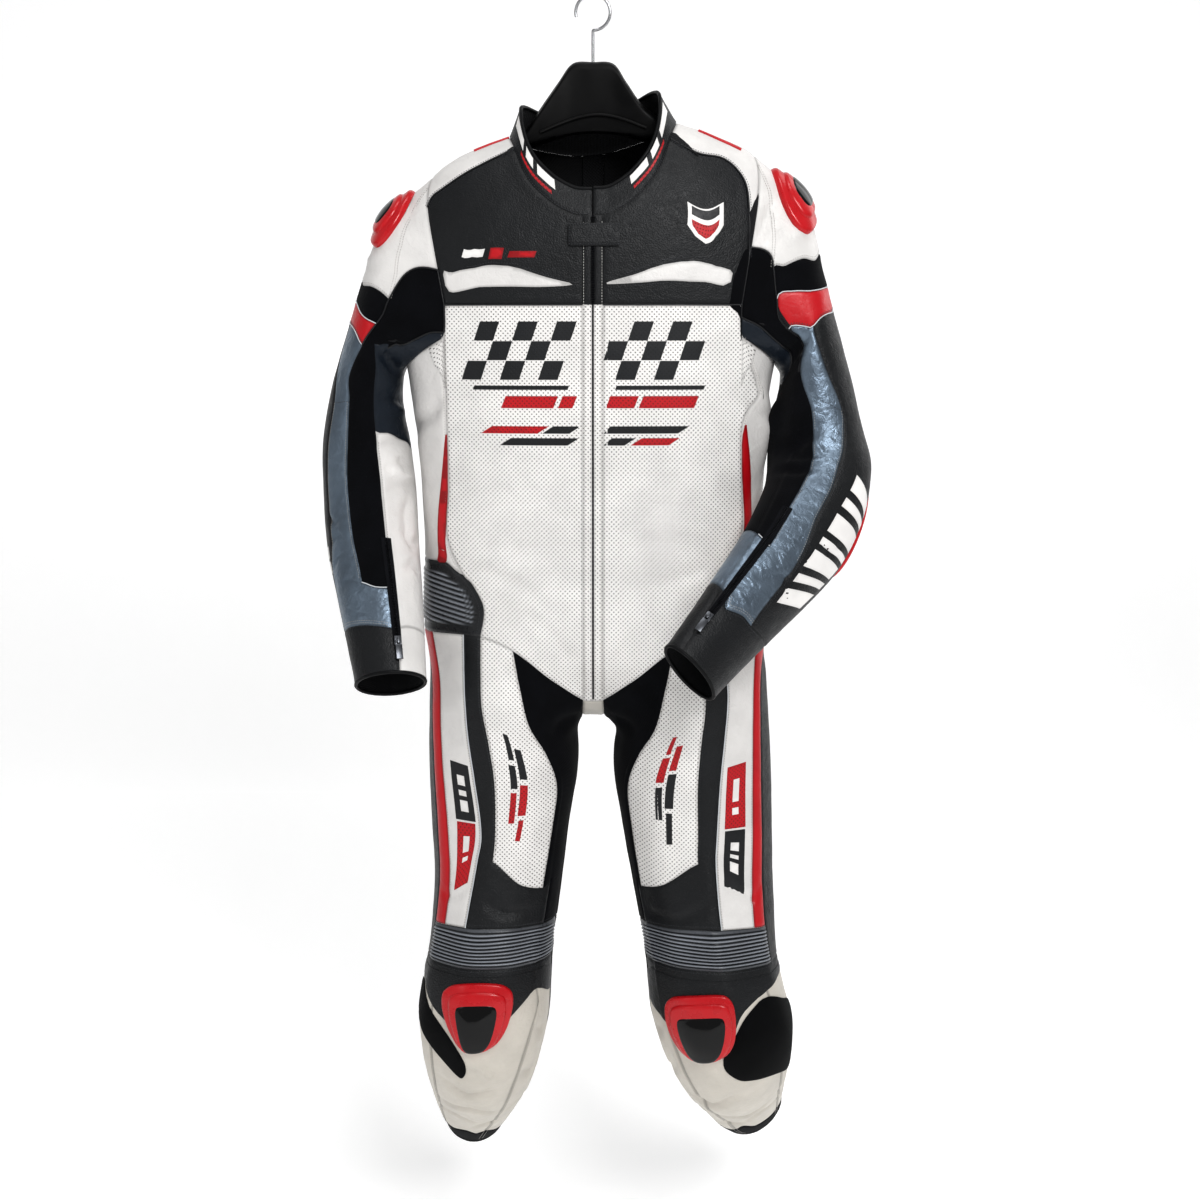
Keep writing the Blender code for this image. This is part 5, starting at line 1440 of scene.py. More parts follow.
MOVES = {
    # form and side: a line's row and column, and the row and column where its seam runs
    ("yoke", RIGHT): (
        (0, 8, 0, 6.7), (1, 8, 1, 6.9), (2, 8, 2, 7.05), (3, 8, 3, 7.2), (4, 8, 4, 7.3), (5, 8, 5, 7.1),
    ),
    ("yoke", LEFT): (
        (0, 8, 0, 6.3), (1, 8, 1, 6.6), (2, 8, 2, 7.2), (3, 8, 3, 6.95), (4, 8, 4, 6.2), (5, 8, 5, 5.6),
    ),
    ("torso", RIGHT): (
        (3, 6, 3, 6.02), (4, 6, 4, 5.87), (5, 6, 5, 5.95), (6, 6, 5.97, 5.78), (7, 6, 6.38, 5.56),
        (6, 7, 5.82, 6.9), (6, 8, 6.03, 8.0),
    ),
    ("torso", LEFT): (
        (0, 6, 0, 6.2), (1, 6, 1, 7.25), (2, 6, 2, 7.35), (3, 6, 2.98, 6.3), (4, 6, 4, 6.25),
        (5, 6, 5, 6.1), (6, 6, 5.95, 5.9), (7, 6, 6.4, 5.6), (6, 7, 5.85, 6.9), (6, 8, 6.03, 8.0),
    ),
    ("sleeve", RIGHT): (
        (0, 1, 0, 1.7), (0, 2, 0, 3.1), (0, 3, 0, 4.45), (0, 4, 0, 4.85), (0, 5, 0, 5.2), (0, 6, 0, 5.55),
        (0, 7, 0, 5.95), (0, 8, 0, 7.2), (0, 9, 0, 8.6), (1, 3, 0.8, 3.9), (2, 3, 1.4, 3.9),
        (3, 3, 1.9, 4.05), (4, 3, 3.85, 3.4), (5, 3, 5.0, 2.85), (6, 3, 5.75, 3.3), (7, 3, 6.9, 3.45),
        (8, 3, 8.0, 3.32), (9, 3, 9, 3.3), (10, 3, 10, 3.3), (11, 3, 11.25, 3.4), (12, 3, 12.15, 3.2),
        (2, 1, 1.92, 1.3), (3, 1, 2.6, 1.35), (4, 1, 3.9, 0.9), (5, 1, 4.9, 0.9), (6, 1, 5.9, 1.75),
        (7, 1, 7, 1.68), (8, 1, 8.1, 1.55), (9, 1, 9, 1.52), (10, 1, 10, 1.3), (11, 1, 11, 0.4),
        (12, 1, 12, 0.2), (1, 7, 0.5, 5.65), (2, 7, 1.05, 5.62), (3, 7, 1.45, 5.6), (4, 7, 1.85, 5.45),
        (4, 6, 2.15, 5.0), (4, 5, 2.6, 4.55), (4, 4, 3.25, 4.0), (5, 5, 4.3, 4.95), (6, 5, 6.6, 5.3),
        (7, 5, 7.3, 5.3), (8, 5, 8, 5.3), (9, 5, 9, 5.3), (10, 5, 10, 5.3), (11, 5, 11.35, 5.2),
        (12, 5, 12.3, 5.1), (11, 4, 11.36, 4.2), (6, 6, 6.65, 6.2), (6, 7, 6.8, 7.15), (6, 8, 7.0, 8.2),
        (6, 9, 7.25, 9.2), (7, 7, 7.6, 7.1), (7, 9, 8.0, 9.2),
    ),
    ("sleeve", LEFT): (
        (0, 1, 0, 1.6), (0, 2, 0, 2.9), (0, 3, 0, 4.2), (0, 4, 0, 4.5), (0, 5, 0, 4.8), (0, 6, 0, 5.1),
        (0, 7, 0, 5.4), (0, 8, 0, 6.8), (0, 9, 0, 8.4), (1, 3, 0.52, 3.95), (2, 3, 0.72, 4.1),
        (3, 3, 1.0, 4.5), (4, 3, 1.5, 5.0), (5, 3, 4.0, 5.5), (6, 3, 6.05, 4.78), (7, 3, 6.95, 4.85),
        (8, 3, 8.1, 5.0), (9, 3, 9.1, 5.15), (10, 3, 10.1, 5.2), (11, 3, 11.1, 4.9), (12, 3, 12.3, 4.6),
        (2, 2, 1.0, 3.75), (2, 1, 1.3, 3.0), (2, 0, 1.6, 1.95), (3, 2, 1.35, 4.0), (3, 1, 1.75, 3.2),
        (3, 0, 2.2, 1.65), (4, 2, 1.95, 4.5), (4, 1, 2.4, 4.0), (4, 0, 3.65, 1.55), (5, 1, 5.05, 3.35),
        (6, 1, 6.4, 2.75), (7, 1, 7.0, 2.9), (8, 1, 8.2, 3.5), (9, 1, 9.1, 3.58), (10, 1, 10, 3.6),
        (11, 1, 11.1, 3.0), (12, 1, 12.15, 2.5), (1, 7, 0.65, 5.35), (2, 7, 1.1, 5.6), (3, 7, 1.8, 6.2),
        (4, 7, 2.6, 7.0),
    ),
    ("leg", RIGHT): (
        (14, 1, 13.95, 1), (14, 3, 13.62, 3), (14, 5, 13.65, 5), (14, 7, 14.1, 7), (9, 5, 9.2, 6.3),
        (10, 5, 10.1, 5.55), (11, 5, 11.0, 5.15), (12, 5, 12, 5.1), (13, 5, 13.0, 5.2),
        *((8, column, 8, column) for column in range(19)),
    ),
    ("leg", LEFT): ((14, 0, 14.05, 0), (14, 2, 13.9, 2), (14, 4, 13.5, 4), (14, 6, 13.9, 6)),
}

PANELS = (
    # piece, form, blocks of first and last row, first and last column, finish, CAD node
    ("yoke", "yoke", ((0, 5, 0, 8),), "black leather", "yoke"),
    ("shoulder", "yoke", ((0, 5, 8, 12),), "white leather", "shoulder"),
    ("back_yoke", "yoke", ((0, 5, 12, 18),), "black leather", None),
    ("front", "torso", ((0, 8, 0, 6),), "perforated leather", "front"),
    ("side", "torso", ((0, 6, 6, 12), (6, 8, 10, 12)), "white leather", "side"),
    ("back", "torso", ((0, 8, 12, 15),), "white leather", None),
    ("sleeve_cap", "sleeve", ((0, 2, 12, 20),), "white leather", "sleeve_cap"),
    ("sleeve_black_band", "sleeve", ((2, 3, 12, 20),), "black stretch", None),
    ("sleeve_red_band", "sleeve", ((3, 4, 12, 20),), "red leather", "sleeve_band"),
    ("sleeve_stretch", "sleeve", ((0, 4, 3, 7), (4, 11, 3, 5)), "black stretch", "sleeve_stretch"),
    ("sleeve_outer", "sleeve", ((4, 12, 12, 18),), "black leather", "sleeve_outer"),
    ("sleeve_strip", "sleeve", ((4, 12, 1, 3), (11, 12, 3, 5)), "grey metallic leather", "sleeve_strip"),
    ("underarm", "sleeve", ((0, 4, 7, 12), (4, 6, 5, 12)), "navy leather", "sleeve_under"),
    ("inner_forearm", "sleeve", ((6, 12, 5, 12),), "white leather", None),
    ("cuff", "sleeve", ((12, 14, 9, 22.3),), "black leather", "cuff"),
    ("cuff_inside", "sleeve", ((12, 14, 5.3, 9),), "white leather", None),
    ("thigh_front", "leg", ((0, 6, 3, 5),), "perforated leather", "thigh_front"),
    ("thigh_side", "leg", ((0, 6, 2, 3), (6, 7, 2, 6)), "black leather", "thigh_side"),
    ("thigh_red_stripe", "leg", ((0, 7, 0, 1),), "red leather", "thigh_stripe"),
    ("thigh_white_stripe", "leg", ((0, 7, 1, 2),), "white leather", None),
    ("thigh_inner", "leg", ((0, 6, 5, 13), (6, 7, 6, 13)), "black stretch", "thigh_inner"),
    ("thigh_back", "leg", ((0, 8, 13, 19),), "black leather", "thigh_back"),
    ("knee_top", "leg", ((8, 8.4, 17, 28.5),), "black leather", None),
    ("shin", "leg", ((8.4, 14, 1, 5),), "shaded white leather", "shin"),
    ("calf_inner", "leg", ((8.4, 14, 5, 9.5),), "shaded white leather", "calf"),
    ("calf_outer", "leg", ((8.4, 14, 17, 20),), "shaded white leather", None),
    ("calf_back", "leg", ((8, 14, 9.5, 17), (7, 8, 9, 13)), "black stretch", None),
    ("hem", "leg", ((14, 15, 0, 19),), "black stretch", None),
    ("placket_black", "zip", ((0, 5, 0, 0.44),), "black leather", "front_zip"),
    ("placket_black_flap", "zip", ((0, 5, 0.56, 1),), "black leather", None),
    ("placket_white", "zip", ((5, 13, 0, 0.5),), "perforated leather", None),
    ("placket_white_flap", "zip", ((5, 13, 0.5, 1),), "perforated leather", None),
    ("front_zip_tape", "zip", ((0, 5, 0.44, 0.56),), "zip tape", None),
    ("back_yoke_middle", "back", ((0, 5, 0, 1),), "black leather", "back_yoke"),
    ("back_middle", "back", ((5, 13, 0, 1),), "white leather", "back"),
    ("gusset", "gusset", ((0, 1, 0, 4),), "pale shaded leather", "gusset"),
    ("collar", "collar", ((0, 3, 0, 39),), "black leather", "collar"),
)
LEFT_PANELS = {
    # The left sleeve shows more of its black stretch: blocks and finish.
    "sleeve_stretch": (((0, 4, 3, 7), (4, 11, 3, 9)), "black stretch"),
    "sleeve_strip": (((4, 12, 1, 3), (11, 12, 3, 9)), "grey metallic leather"),
    "underarm": (((0, 4, 7, 12), (4, 6, 9, 12)), "navy leather"),
    "inner_forearm": (((6, 12, 9, 12),), "white leather"),
    "cuff_inside": (((12, 14, 5.3, 9),), "black leather"),
}
MIDDLE_FORMS = ("zip", "back", "gusset", "collar")

CREASES = {
    # form and side: each crease's three places as rows and columns, its depth and width in millimetres
    # Where the cap drops from the shoulder, under the arm, round the elbow, the grey strip, the inner side.
    ("sleeve", LEFT): (
        (0.4, 2.6, 0.25, 3.6, 0.05, 4.2, 3, 9), (2.3, 4.6, 1.9, 5.8, 1.7, 7, 2.6, 10),
        (6.6, 4.4, 7.2, 6, 7, 8, 4, 12), (7.6, 3.8, 7.7, 5.4, 7.4, 7.4, 3, 9),
        (8.2, 4.2, 8.5, 5.6, 8.2, 7.6, 2.2, 9), (10, 1.1, 10.4, 2, 10.2, 2.9, 1.6, 6),
        (10.9, 1.2, 11.1, 2.2, 10.8, 2.9, 1.4, 5), (11.5, 1.6, 11.3, 3, 11.6, 4.6, 1.8, 6),
        (4.4, 7.8, 5.6, 8.3, 6.8, 8.6, -3.5, 18), (0.9, 3.2, 1.1, 2.2, 1.2, 1, -1.8, 8),
        (5.6, 12.6, 5.9, 14.4, 5.7, 16.4, 2.2, 11), (6.8, 13, 6.6, 14.8, 6.9, 16.2, 2, 10),
    ),
    # The same on the right, with a bulge under the arm and soft folds down the forearm.
    ("sleeve", RIGHT): (
        (0.3, 1.2, 0.45, 2.4, 0.5, 3, 1.2, 8), (1.75, 4.6, 1.35, 5.3, 1.05, 5.95, -3, 10),
        (2.5, 5, 2.1, 6.2, 1.9, 7.4, 3, 9), (5, 5.3, 4.8, 7, 4.5, 9, 2, 10),
        (5.7, 5.6, 5.4, 7.2, 5.6, 9.2, -1.6, 9), (7.2, 5.3, 7, 6.6, 6.8, 8.6, 2.2, 9),
        (7.9, 5.6, 7.6, 7, 7.7, 8.2, 1.4, 7), (8.7, 5.4, 8.3, 6.8, 8.4, 8.4, 1.8, 10),
        (9.6, 6.6, 9.9, 7.6, 9.6, 8.8, 2.2, 8), (10.9, 6.2, 10.6, 7.4, 10.8, 8.6, 2.2, 9),
        (9.2, 1.1, 9.5, 2, 9.3, 2.9, 1.6, 6), (10, 1.2, 9.8, 2.1, 10.1, 2.8, 1.8, 6),
        (10.7, 1.1, 10.4, 2, 10.6, 2.9, 1.4, 5), (11.4, 1.3, 11.1, 2.4, 11.5, 3.8, 1.6, 6),
        (7.3, 6, 8.1, 6.9, 8, 8.6, -2.6, 10), (8.6, 7.6, 9.2, 7, 10.2, 7.4, 2.4, 9),
        (1.2, 2.8, 1.5, 1.6, 1.6, 0.4, -1.6, 8), (7, 12.6, 7.3, 14.4, 7.1, 16.2, 2.6, 11),
        (8.2, 12.8, 8, 14.6, 8.3, 16, 2, 10),
    ),
    # The side that hangs against its sleeve, round the waist, under the arm, behind.
    ("torso", LEFT): (
        (1.2, 7.4, 2.4, 8, 3.8, 8.3, -4, 22), (5.2, 0.8, 5, 2.8, 5.4, 4.4, 1, 16),
        (6.2, 2.6, 5.9, 4.2, 5.5, 5.6, 1.4, 14), (7.5, 1, 7.1, 2.4, 6.9, 3.8, 1.2, 13),
        (1.6, 6.6, 2.4, 7.8, 3.1, 9.2, 2.4, 13), (4.6, 12, 4.2, 13.2, 4.4, 14.6, 2.6, 18),
        (5.8, 12.4, 6.3, 13.6, 6.1, 14.9, 2.6, 16),
    ),
    # Round the waist, under the arm, behind.
    ("torso", RIGHT): (
        (4.9, 0.4, 5.3, 2.4, 5.1, 4.6, 1.1, 16), (6.4, 2.2, 6, 3.8, 5.7, 5.4, 1.4, 14),
        (7.4, 0.8, 7, 2, 6.8, 3.6, 1.4, 13), (1.8, 6.6, 2.6, 7.6, 3.2, 9, 2.6, 13),
        (4.2, 12.2, 4.6, 13.4, 4.5, 14.8, 3, 18), (6.1, 12.2, 5.8, 13.6, 6.2, 14.8, 2.2, 16),
    ),
    # Across the thigh, over the knee's black panel, behind, and round the shin, where the leather buckles.
    ("leg", RIGHT): (
        (1.2, 3.2, 0.8, 4.2, 0.6, 5.4, 1.6, 12), (2.2, 6.4, 1.4, 8, 1, 9.6, 3, 13),
        (6.5, 2.4, 6.7, 3.6, 6.5, 4.8, 2.6, 8), (6.1, 0.3, 6.4, 1.2, 6.3, 2, 1.2, 7),
        (4.6, 14, 5, 15.6, 4.7, 17.4, 3, 16), (7.2, 10, 7.4, 11.4, 7.3, 12.8, 3.4, 12),
        (11.2, 1.4, 11.5, 2.8, 11.3, 4.4, 3, 9), (12.2, 1.2, 12, 3, 12.3, 4.8, 2.6, 8),
        (12.9, 0.6, 12.6, 2.2, 12.9, 3.6, 2.4, 7), (11, 5.4, 11.4, 6.8, 11.2, 8.4, 3, 10),
        (12.6, 5.2, 12.3, 6.6, 12.7, 8.2, 2.6, 9), (10.4, 2.9, 10.9, 3.8, 11, 5, -2.2, 9),
        (13.3, 3.4, 13, 4.8, 13.2, 6, 2.2, 8), (9.9, 6.4, 10.3, 7.4, 10.2, 8.6, 2.4, 9),
    ),
    # The same on the left.
    ("leg", LEFT): (
        (1, 3.4, 0.8, 4.4, 0.5, 5.6, 1.6, 12), (2, 6.6, 1.5, 8.2, 0.9, 9.8, 3, 13),
        (6.6, 2.6, 6.8, 3.8, 6.6, 5, 2.6, 8), (5.9, 0.2, 6.3, 1, 6.2, 1.9, 1.2, 7),
        (4.8, 14.2, 4.5, 15.8, 4.9, 17.6, 3, 16), (7.3, 9.8, 7.5, 11.2, 7.2, 12.6, 3.4, 12),
        (11.4, 3.2, 11.9, 4.4, 11.6, 5.8, 3.4, 9), (12.4, 1.4, 12.7, 3.2, 12.4, 5, 2.8, 8),
        (13.1, 0.8, 12.9, 2.4, 13.2, 3.8, 2.4, 7), (10.6, 6, 11.2, 7, 11.4, 8.4, 3, 10),
        (12.2, 5.8, 12.6, 7, 12.4, 8.4, 2.4, 8), (9.8, 6.2, 10.2, 7.2, 10.1, 8.4, 2.4, 9),
        (13.4, 3.6, 13.1, 5, 13.4, 6.2, 2.2, 8), (12.5, 18, 12.2, 19.4, 12.6, 20.4, 1.6, 10),
    ),
}

KNEE_BLACK = {
    RIGHT: (
        (8.2, -1.6), (8.2, 9.4), (9.1, 9.4), (9.15, 8.4), (8.78, 6.2), (8.8, 5.2), (9.1, 4.7),
        (9.45, 4.2), (9.9, 3.4), (9.7, 2.0), (9.5, 1.5), (9.1, 0.8), (8.72, 0.0), (8.5, -1.6),
    ),
    LEFT: (
        (8.2, -1.6), (8.2, 9.4), (9.3, 9.4), (9.4, 8.3), (9.5, 6.6), (9.65, 5.0), (10.0, 4.2), (9.9, 3.0),
        (9.58, 2.62), (9.2, 2.1), (8.7, 1.2), (8.5, 0.2), (8.4, -1.6),
    ),
}
LOOP_PATCH = {
    RIGHT: (
        (8.75, -0.35), (8.8, 0.0), (9.5, 1.2), (10.15, 2.0), (10.5, 2.6), (10.75, 2.7), (10.95, 2.45),
        (10.8, 1.9), (10.35, 0.95), (10.0, 0.0), (9.6, -0.9), (9.0, -0.9),
    ),
    LEFT: (
        (8.8, 1.2), (9.15, 1.75), (9.75, 2.75), (10.2, 3.3), (10.6, 3.4), (10.92, 2.95), (11.0, 2.2),
        (11.2, 1.45), (11.75, 0.4), (11.7, -0.5), (11.0, -1.0), (10.1, -1.0), (9.4, -0.6), (9.0, 0.3),
    ),
}
SIDE_STRIPE = {
    RIGHT: (
        (2.92, 6.04), (3.6, 5.94), (4.25, 5.89), (4.85, 5.94), (5.4, 6.3), (5.8, 6.88), (5.98, 7.5),
        (5.5, 7.2), (4.85, 6.9), (4.25, 6.75), (3.6, 6.38),
    ),
    LEFT: (
        (2.75, 6.88), (3.15, 7.05), (3.7, 7.2), (4.3, 7.2), (5.0, 7.2), (5.95, 7.5), (5.9, 6.75),
        (5.0, 6.28), (4.3, 6.32), (3.7, 6.24), (3.15, 6.3),
    ),
}
# Generic motifs in plain shapes: x and z of the top left corner, width, height and lean, in metres.
CHEQUERS = {"left": -0.142, "top": -0.41, "size": (0.0243, 0.0235), "lean": 0.008, "rows": 3, "count": 6}
CHEST_BARS = (
    # x, z, width, height, lean, finish
    (-0.15, -0.49, 0.12, 0.005, 0.002, "black print"),
    (0.03, -0.49, 0.112, 0.005, 0.002, "black print"),
    (-0.11, -0.503, 0.066, 0.015, 0.006, "red print"),
    (-0.038, -0.503, 0.018, 0.015, 0.006, "red print"),
    (0.022, -0.503, 0.036, 0.015, 0.006, "red print"),
    (0.064, -0.503, 0.07, 0.015, 0.006, "red print"),
    (-0.128, -0.541, 0.072, 0.009, 0.014, "red print"),
    (-0.05, -0.541, 0.034, 0.009, 0.014, "black print"),
    (0.022, -0.541, 0.1, 0.009, 0.014, "black print"),
    (-0.104, -0.556, 0.086, 0.009, 0.014, "black print"),
    (0.024, -0.556, 0.03, 0.009, 0.014, "black print"),
    (0.062, -0.556, 0.048, 0.009, 0.014, "red print"),
)
# Bars on limbs and collar.
BARS = (
    # form, side, finish, then bars, each with its two ends as rows and columns, and half its width
    ("leg", RIGHT, "black patch", (3.7, 1.58, 4.78, 1.58, 0.26)),
    ("leg", RIGHT, "red print", (4.82, 1.58, 6.25, 1.5, 0.24)),
    (
        "leg", RIGHT, "white print",
        (3.95, 1.58, 4.15, 1.58, 0.1), (4.24, 1.58, 4.34, 1.58, 0.1), (4.42, 1.58, 4.62, 1.58, 0.1),
        (5.1, 1.57, 5.5, 1.55, 0.08), (5.62, 1.55, 5.74, 1.54, 0.08),
    ),
    ("leg", LEFT, "red print", (3.72, 1.55, 4.86, 1.52, 0.26)),
    ("leg", LEFT, "black patch", (4.9, 1.52, 6.25, 1.52, 0.25)),
    (
        "leg", LEFT, "white print",
        (4, 1.54, 4.4, 1.54, 0.08), (4.5, 1.54, 4.62, 1.53, 0.08), (5.15, 1.52, 5.35, 1.52, 0.1),
        (5.45, 1.52, 5.55, 1.52, 0.1), (5.65, 1.52, 5.9, 1.52, 0.1),
    ),
    (
        "leg", RIGHT, "black print",
        (2.55, 3.72, 3.3, 3.66, 0.08), (2.95, 3.96, 3.8, 3.88, 0.11), (3.45, 3.62, 4.05, 3.58, 0.09),
    ),
    (
        "leg", RIGHT, "red print",
        (3.95, 3.86, 4.65, 3.78, 0.11), (4.15, 3.56, 4.8, 3.5, 0.08), (4.75, 3.78, 5.2, 3.72, 0.07),
    ),
    (
        "leg", LEFT, "red print",
        (2.5, 3.94, 3.05, 3.94, 0.07), (2.85, 3.66, 3.55, 3.7, 0.09), (3.15, 3.96, 3.85, 3.98, 0.11),
    ),
    (
        "leg", LEFT, "black print",
        (3.65, 3.68, 4.45, 3.72, 0.1), (3.98, 3.98, 4.7, 3.98, 0.09), (4.55, 3.72, 5.2, 3.74, 0.07),
    ),
    ("sleeve", RIGHT, "white print", (9.95, 0.62, 10.3, 0.58, 0.18), (10.4, 0.56, 10.75, 0.5, 0.18)),
    (
        "collar", None, "white print",
        (1.55, 3.2, 1.55, 4.6, 0.36), (1.55, 5, 1.55, 5.8, 0.36), (1.55, 6.2, 1.55, 8.6, 0.36),
    ),
    ("collar", None, "red print", (0.8, 3.4, 0.8, 6.4, 0.14)),
    (
        "collar", None, "white print",
        (1.55, 30.4, 1.55, 32.8, 0.36), (1.55, 33.2, 1.55, 34, 0.36), (1.55, 34.4, 1.55, 35.8, 0.36),
    ),
    ("collar", None, "red print", (0.8, 32.6, 0.8, 35.6, 0.14)),
)

# Where the left sleeve's white bars run: their upper and lower ends, wrist first, and their shares.
SLEEVE_BAND = (
    ((11.65, 2.3), (11.1, 2.6), (10.3, 2.8), (9.4, 2.75), (8.35, 2.3)),
    ((11.4, 0.35), (10.75, 0.25), (10.1, 0.15), (9.45, 0.15), (8.85, 0.3)),
)
SLEEVE_BARS = (
    (0.02, 0.13), (0.18, 0.24), (0.29, 0.42), (0.47, 0.53), (0.58, 0.71), (0.76, 0.82), (0.87, 0.98),
)
# On the right chest: x and z of the top left corner, width, height, lean, finish.
CHEST_DASHES = (
    (-0.162, -0.32, 0.027, 0.01, 0.003, "white print"),
    (-0.128, -0.319, 0.017, 0.014, 0.003, "red leather"),
    (-0.104, -0.323, 0.034, 0.008, 0.003, "red leather"),
)
# White flashes over the chest, and the black stretch that laps over the left armhole's front.
FLASH = {
    RIGHT: (
        (3.95, 5.45), (3.2, 5.22), (2.7, 4.9), (2.55, 4.1), (2.5, 3.2), (2.7, 2.05), (2.9, 1.0),
        (3.1, 1.55), (3.35, 2.35), (3.45, 3.15), (3.58, 3.95), (3.62, 4.6), (4.05, 5.1),
    ),
    LEFT: (
        (2.87, 0.4), (2.7, 1.55), (2.5, 2.65), (2.5, 3.75), (2.65, 4.75), (3.1, 5.15), (3.4, 4.85),
        (3.3, 3.85), (3.05, 2.9), (3.0, 1.85),
    ),
}
ARMHOLE_LAPS = (
    (
        "bare yoke",
        (
            (3.95, 5.65), (4.4, 5.72), (5, 5.75), (5, 4.6), (4.4, 4.68), (3.85, 4.8), (3.25, 5.05),
            (3.5, 5.45),
        ),
    ),
    ("bare torso", ((0, 4.6), (0.15, 4.8), (0.3, 5.2), (0.36, 5.5), (0.32, 5.9), (0, 6))),
)
UNDERARM = dict.fromkeys(BOTH, ((0.1, 6.05), (0.03, 7.3), (0.7, 7.1), (1.62, 6.08)))
PATCHES = (
    # piece, form, outlines, times that their corners are cut, finish, lift, thickness, step
    ("knee_black", "leg", KNEE_BLACK, 1, "black leather", 0.0, 0.001, 0.006),
    ("loop_patch", "leg", LOOP_PATCH, 2, "loop patch", 0.0002, 0.0014, 0.006),
    ("side_stripe", "torso", SIDE_STRIPE, 1, "red leather", 0.0, 0.0008, 0.005),
    ("underarm_triangle", "torso", UNDERARM, 0, "perforated leather", 0.0, 0.0005, 0.005),
    ("flash_patch", "yoke", FLASH, 1, "white leather", 0.0, 0.0012, 0.006),
)
WHITE_LIFT = 0.0004  # of white prints, which lie on other colours

# Sewing: form, sides, places as rows and columns, and the lines' distances aside in millimetres.
WHITE_STITCHES = (
    ("zip", MIDDLE, (0.35, 0.06, 5, 0.06), 0), ("zip", MIDDLE, (0.35, 0.94, 5, 0.94), 0),
)
GREY_STITCHES = (
    ("zip", MIDDLE, (5.05, 0.1, 12.9, 0.1), 0), ("zip", MIDDLE, (5.05, 0.9, 12.9, 0.9), 0),
    ("sleeve", BOTH, (0.05, 1, 0.45, 1.5, 0.9, 2.2, 1.4, 2.7, 1.95, 2.95), 0, 3.5),
    ("sleeve", BOTH, (1.94, 12.1, 1.94, 20), 0),
    ("torso", (RIGHT,), (0.15, 6.9, 0.7, 6.6, 1.6, 6.12), 0, 3),
    ("torso", (LEFT,), (0.15, 6.9, 0.7, 6.6, 1.6, 6.12), 0, 3), ("torso", BOTH, (0.05, 6, 5.9, 6), -3),
    ("torso", BOTH, (0, 0.2, 0, 5), 3), ("torso", BOTH, (8, 0.2, 8, 6), -3),
    ("sleeve", BOTH, (6.1, 1, 10.9, 1), 2.5), ("sleeve", BOTH, (6.1, 3, 10.9, 3), -2.5),
    ("sleeve", BOTH, (11.97, 1.1, 11.97, 4.9), 2, 5), ("sleeve", (RIGHT,), (6.4, 5, 11.9, 5), 2.5),
    ("leg", BOTH, (0.05, 1, 6.95, 1), 2.5), ("leg", BOTH, (0.05, 2, 6.95, 2), -2.5),
    ("leg", BOTH, (6.96, 0.05, 6.96, 1.95), -2), ("leg", BOTH, (0.05, 3, 5.7, 3), 2.5),
    ("leg", BOTH, (0.05, 5, 6, 5), -2.5), ("leg", BOTH, (9.7, 5, 14.8, 5), 2.5, -2.5),
    ("leg", BOTH, (9.8, 1, 14.8, 1), 2.5, -2.5), ("leg", BOTH, (8.9, 9.5, 14.8, 9.5), 2.5),
)
BLACK_STITCHES = (
    ("yoke", BOTH, (0.1, 8, 4.9, 8), -3, 3), ("yoke", BOTH, (0.1, 12, 4.9, 12), -3, 3),
    ("bare yoke", (RIGHT,), (2.6, 4.8, 2.45, 4.1, 2.4, 3.2, 2.6, 2.05, 2.8, 1), -1),
    ("bare yoke", (LEFT,), (2.6, 1.55, 2.4, 2.65, 2.4, 3.75, 2.55, 4.7), -1),
    ("bare yoke", (RIGHT,), (3.7, 4.6, 3.68, 3.95, 3.55, 3.15, 3.45, 2.35, 3.2, 1.55), 1),
    ("bare yoke", (LEFT,), (3.1, 1.85, 3.15, 2.9, 3.4, 3.85, 3.5, 4.75), 1),
    ("yoke", BOTH, (4.96, 0.1, 4.96, 4.9), 0), ("sleeve", BOTH, (4, 12.1, 4, 20), 3),
    ("sleeve", BOTH, (6, 1, 6, 3), -3), ("sleeve", BOTH, (6.1, 18, 11.9, 18), -3),
    ("sleeve", BOTH, (4.1, 12, 11.9, 12), 3, -3), ("sleeve", BOTH, (12.1, 12, 12.1, 21.9), 3),
    ("leg", BOTH, (0.05, 2, 5.9, 2), 2.5), ("leg", BOTH, (0.05, 3, 5.7, 3), -2.5),
    ("leg", BOTH, (6.94, 2.1, 6.94, 8.9), 0), ("leg", BOTH, (8.06, 0.05, 8.06, 9), 0),
    ("leg", BOTH, (0.1, 13, 7.9, 13), 3, -3), ("collar", MIDDLE, (0.12, 0.2, 0.12, 38.8), 0),
    ("collar", MIDDLE, (2.55, 0.3, 2.55, 38.7), 0), ("torso", BOTH, (6.1, 6.25, 7.9, 6.25), 0),
    ("torso", BOTH, (6.1, 6.3, 6.1, 9.8), 0),
)
BLACK_PIPING = (
    ("yoke", BOTH, (0, 8, 5, 8), 0), ("sleeve", BOTH, (0, 3, 4, 3), 0), ("sleeve", BOTH, (0, 3, 0, 7), 0),
    ("sleeve", BOTH, (0, 7, 4, 7), 0), ("torso", BOTH, (0, 0, 0, 5), 0),
)
PALE_PIPING = (
    ("sleeve", BOTH, (3, 12, 3, 20), 0), ("sleeve", BOTH, (4, 12, 4, 20), 0),
    ("leg", BOTH, (0, 2, 7, 2), 0), ("collar", MIDDLE, (2.82, 0.2, 2.82, 38.8), 0),
    ("sleeve", BOTH, (11, 3, 11, 5), 0),
)
TAB_STITCHES = (
    ("tab", MIDDLE, (0.2, 0.15, 0.2, 5.85), 0), ("tab", MIDDLE, (2.8, 0.15, 2.8, 5.85), 0),
    ("tab", MIDDLE, (0.2, 0.15, 2.8, 0.15), 0), ("tab", MIDDLE, (0.2, 5.85, 2.8, 5.85), 0),
)
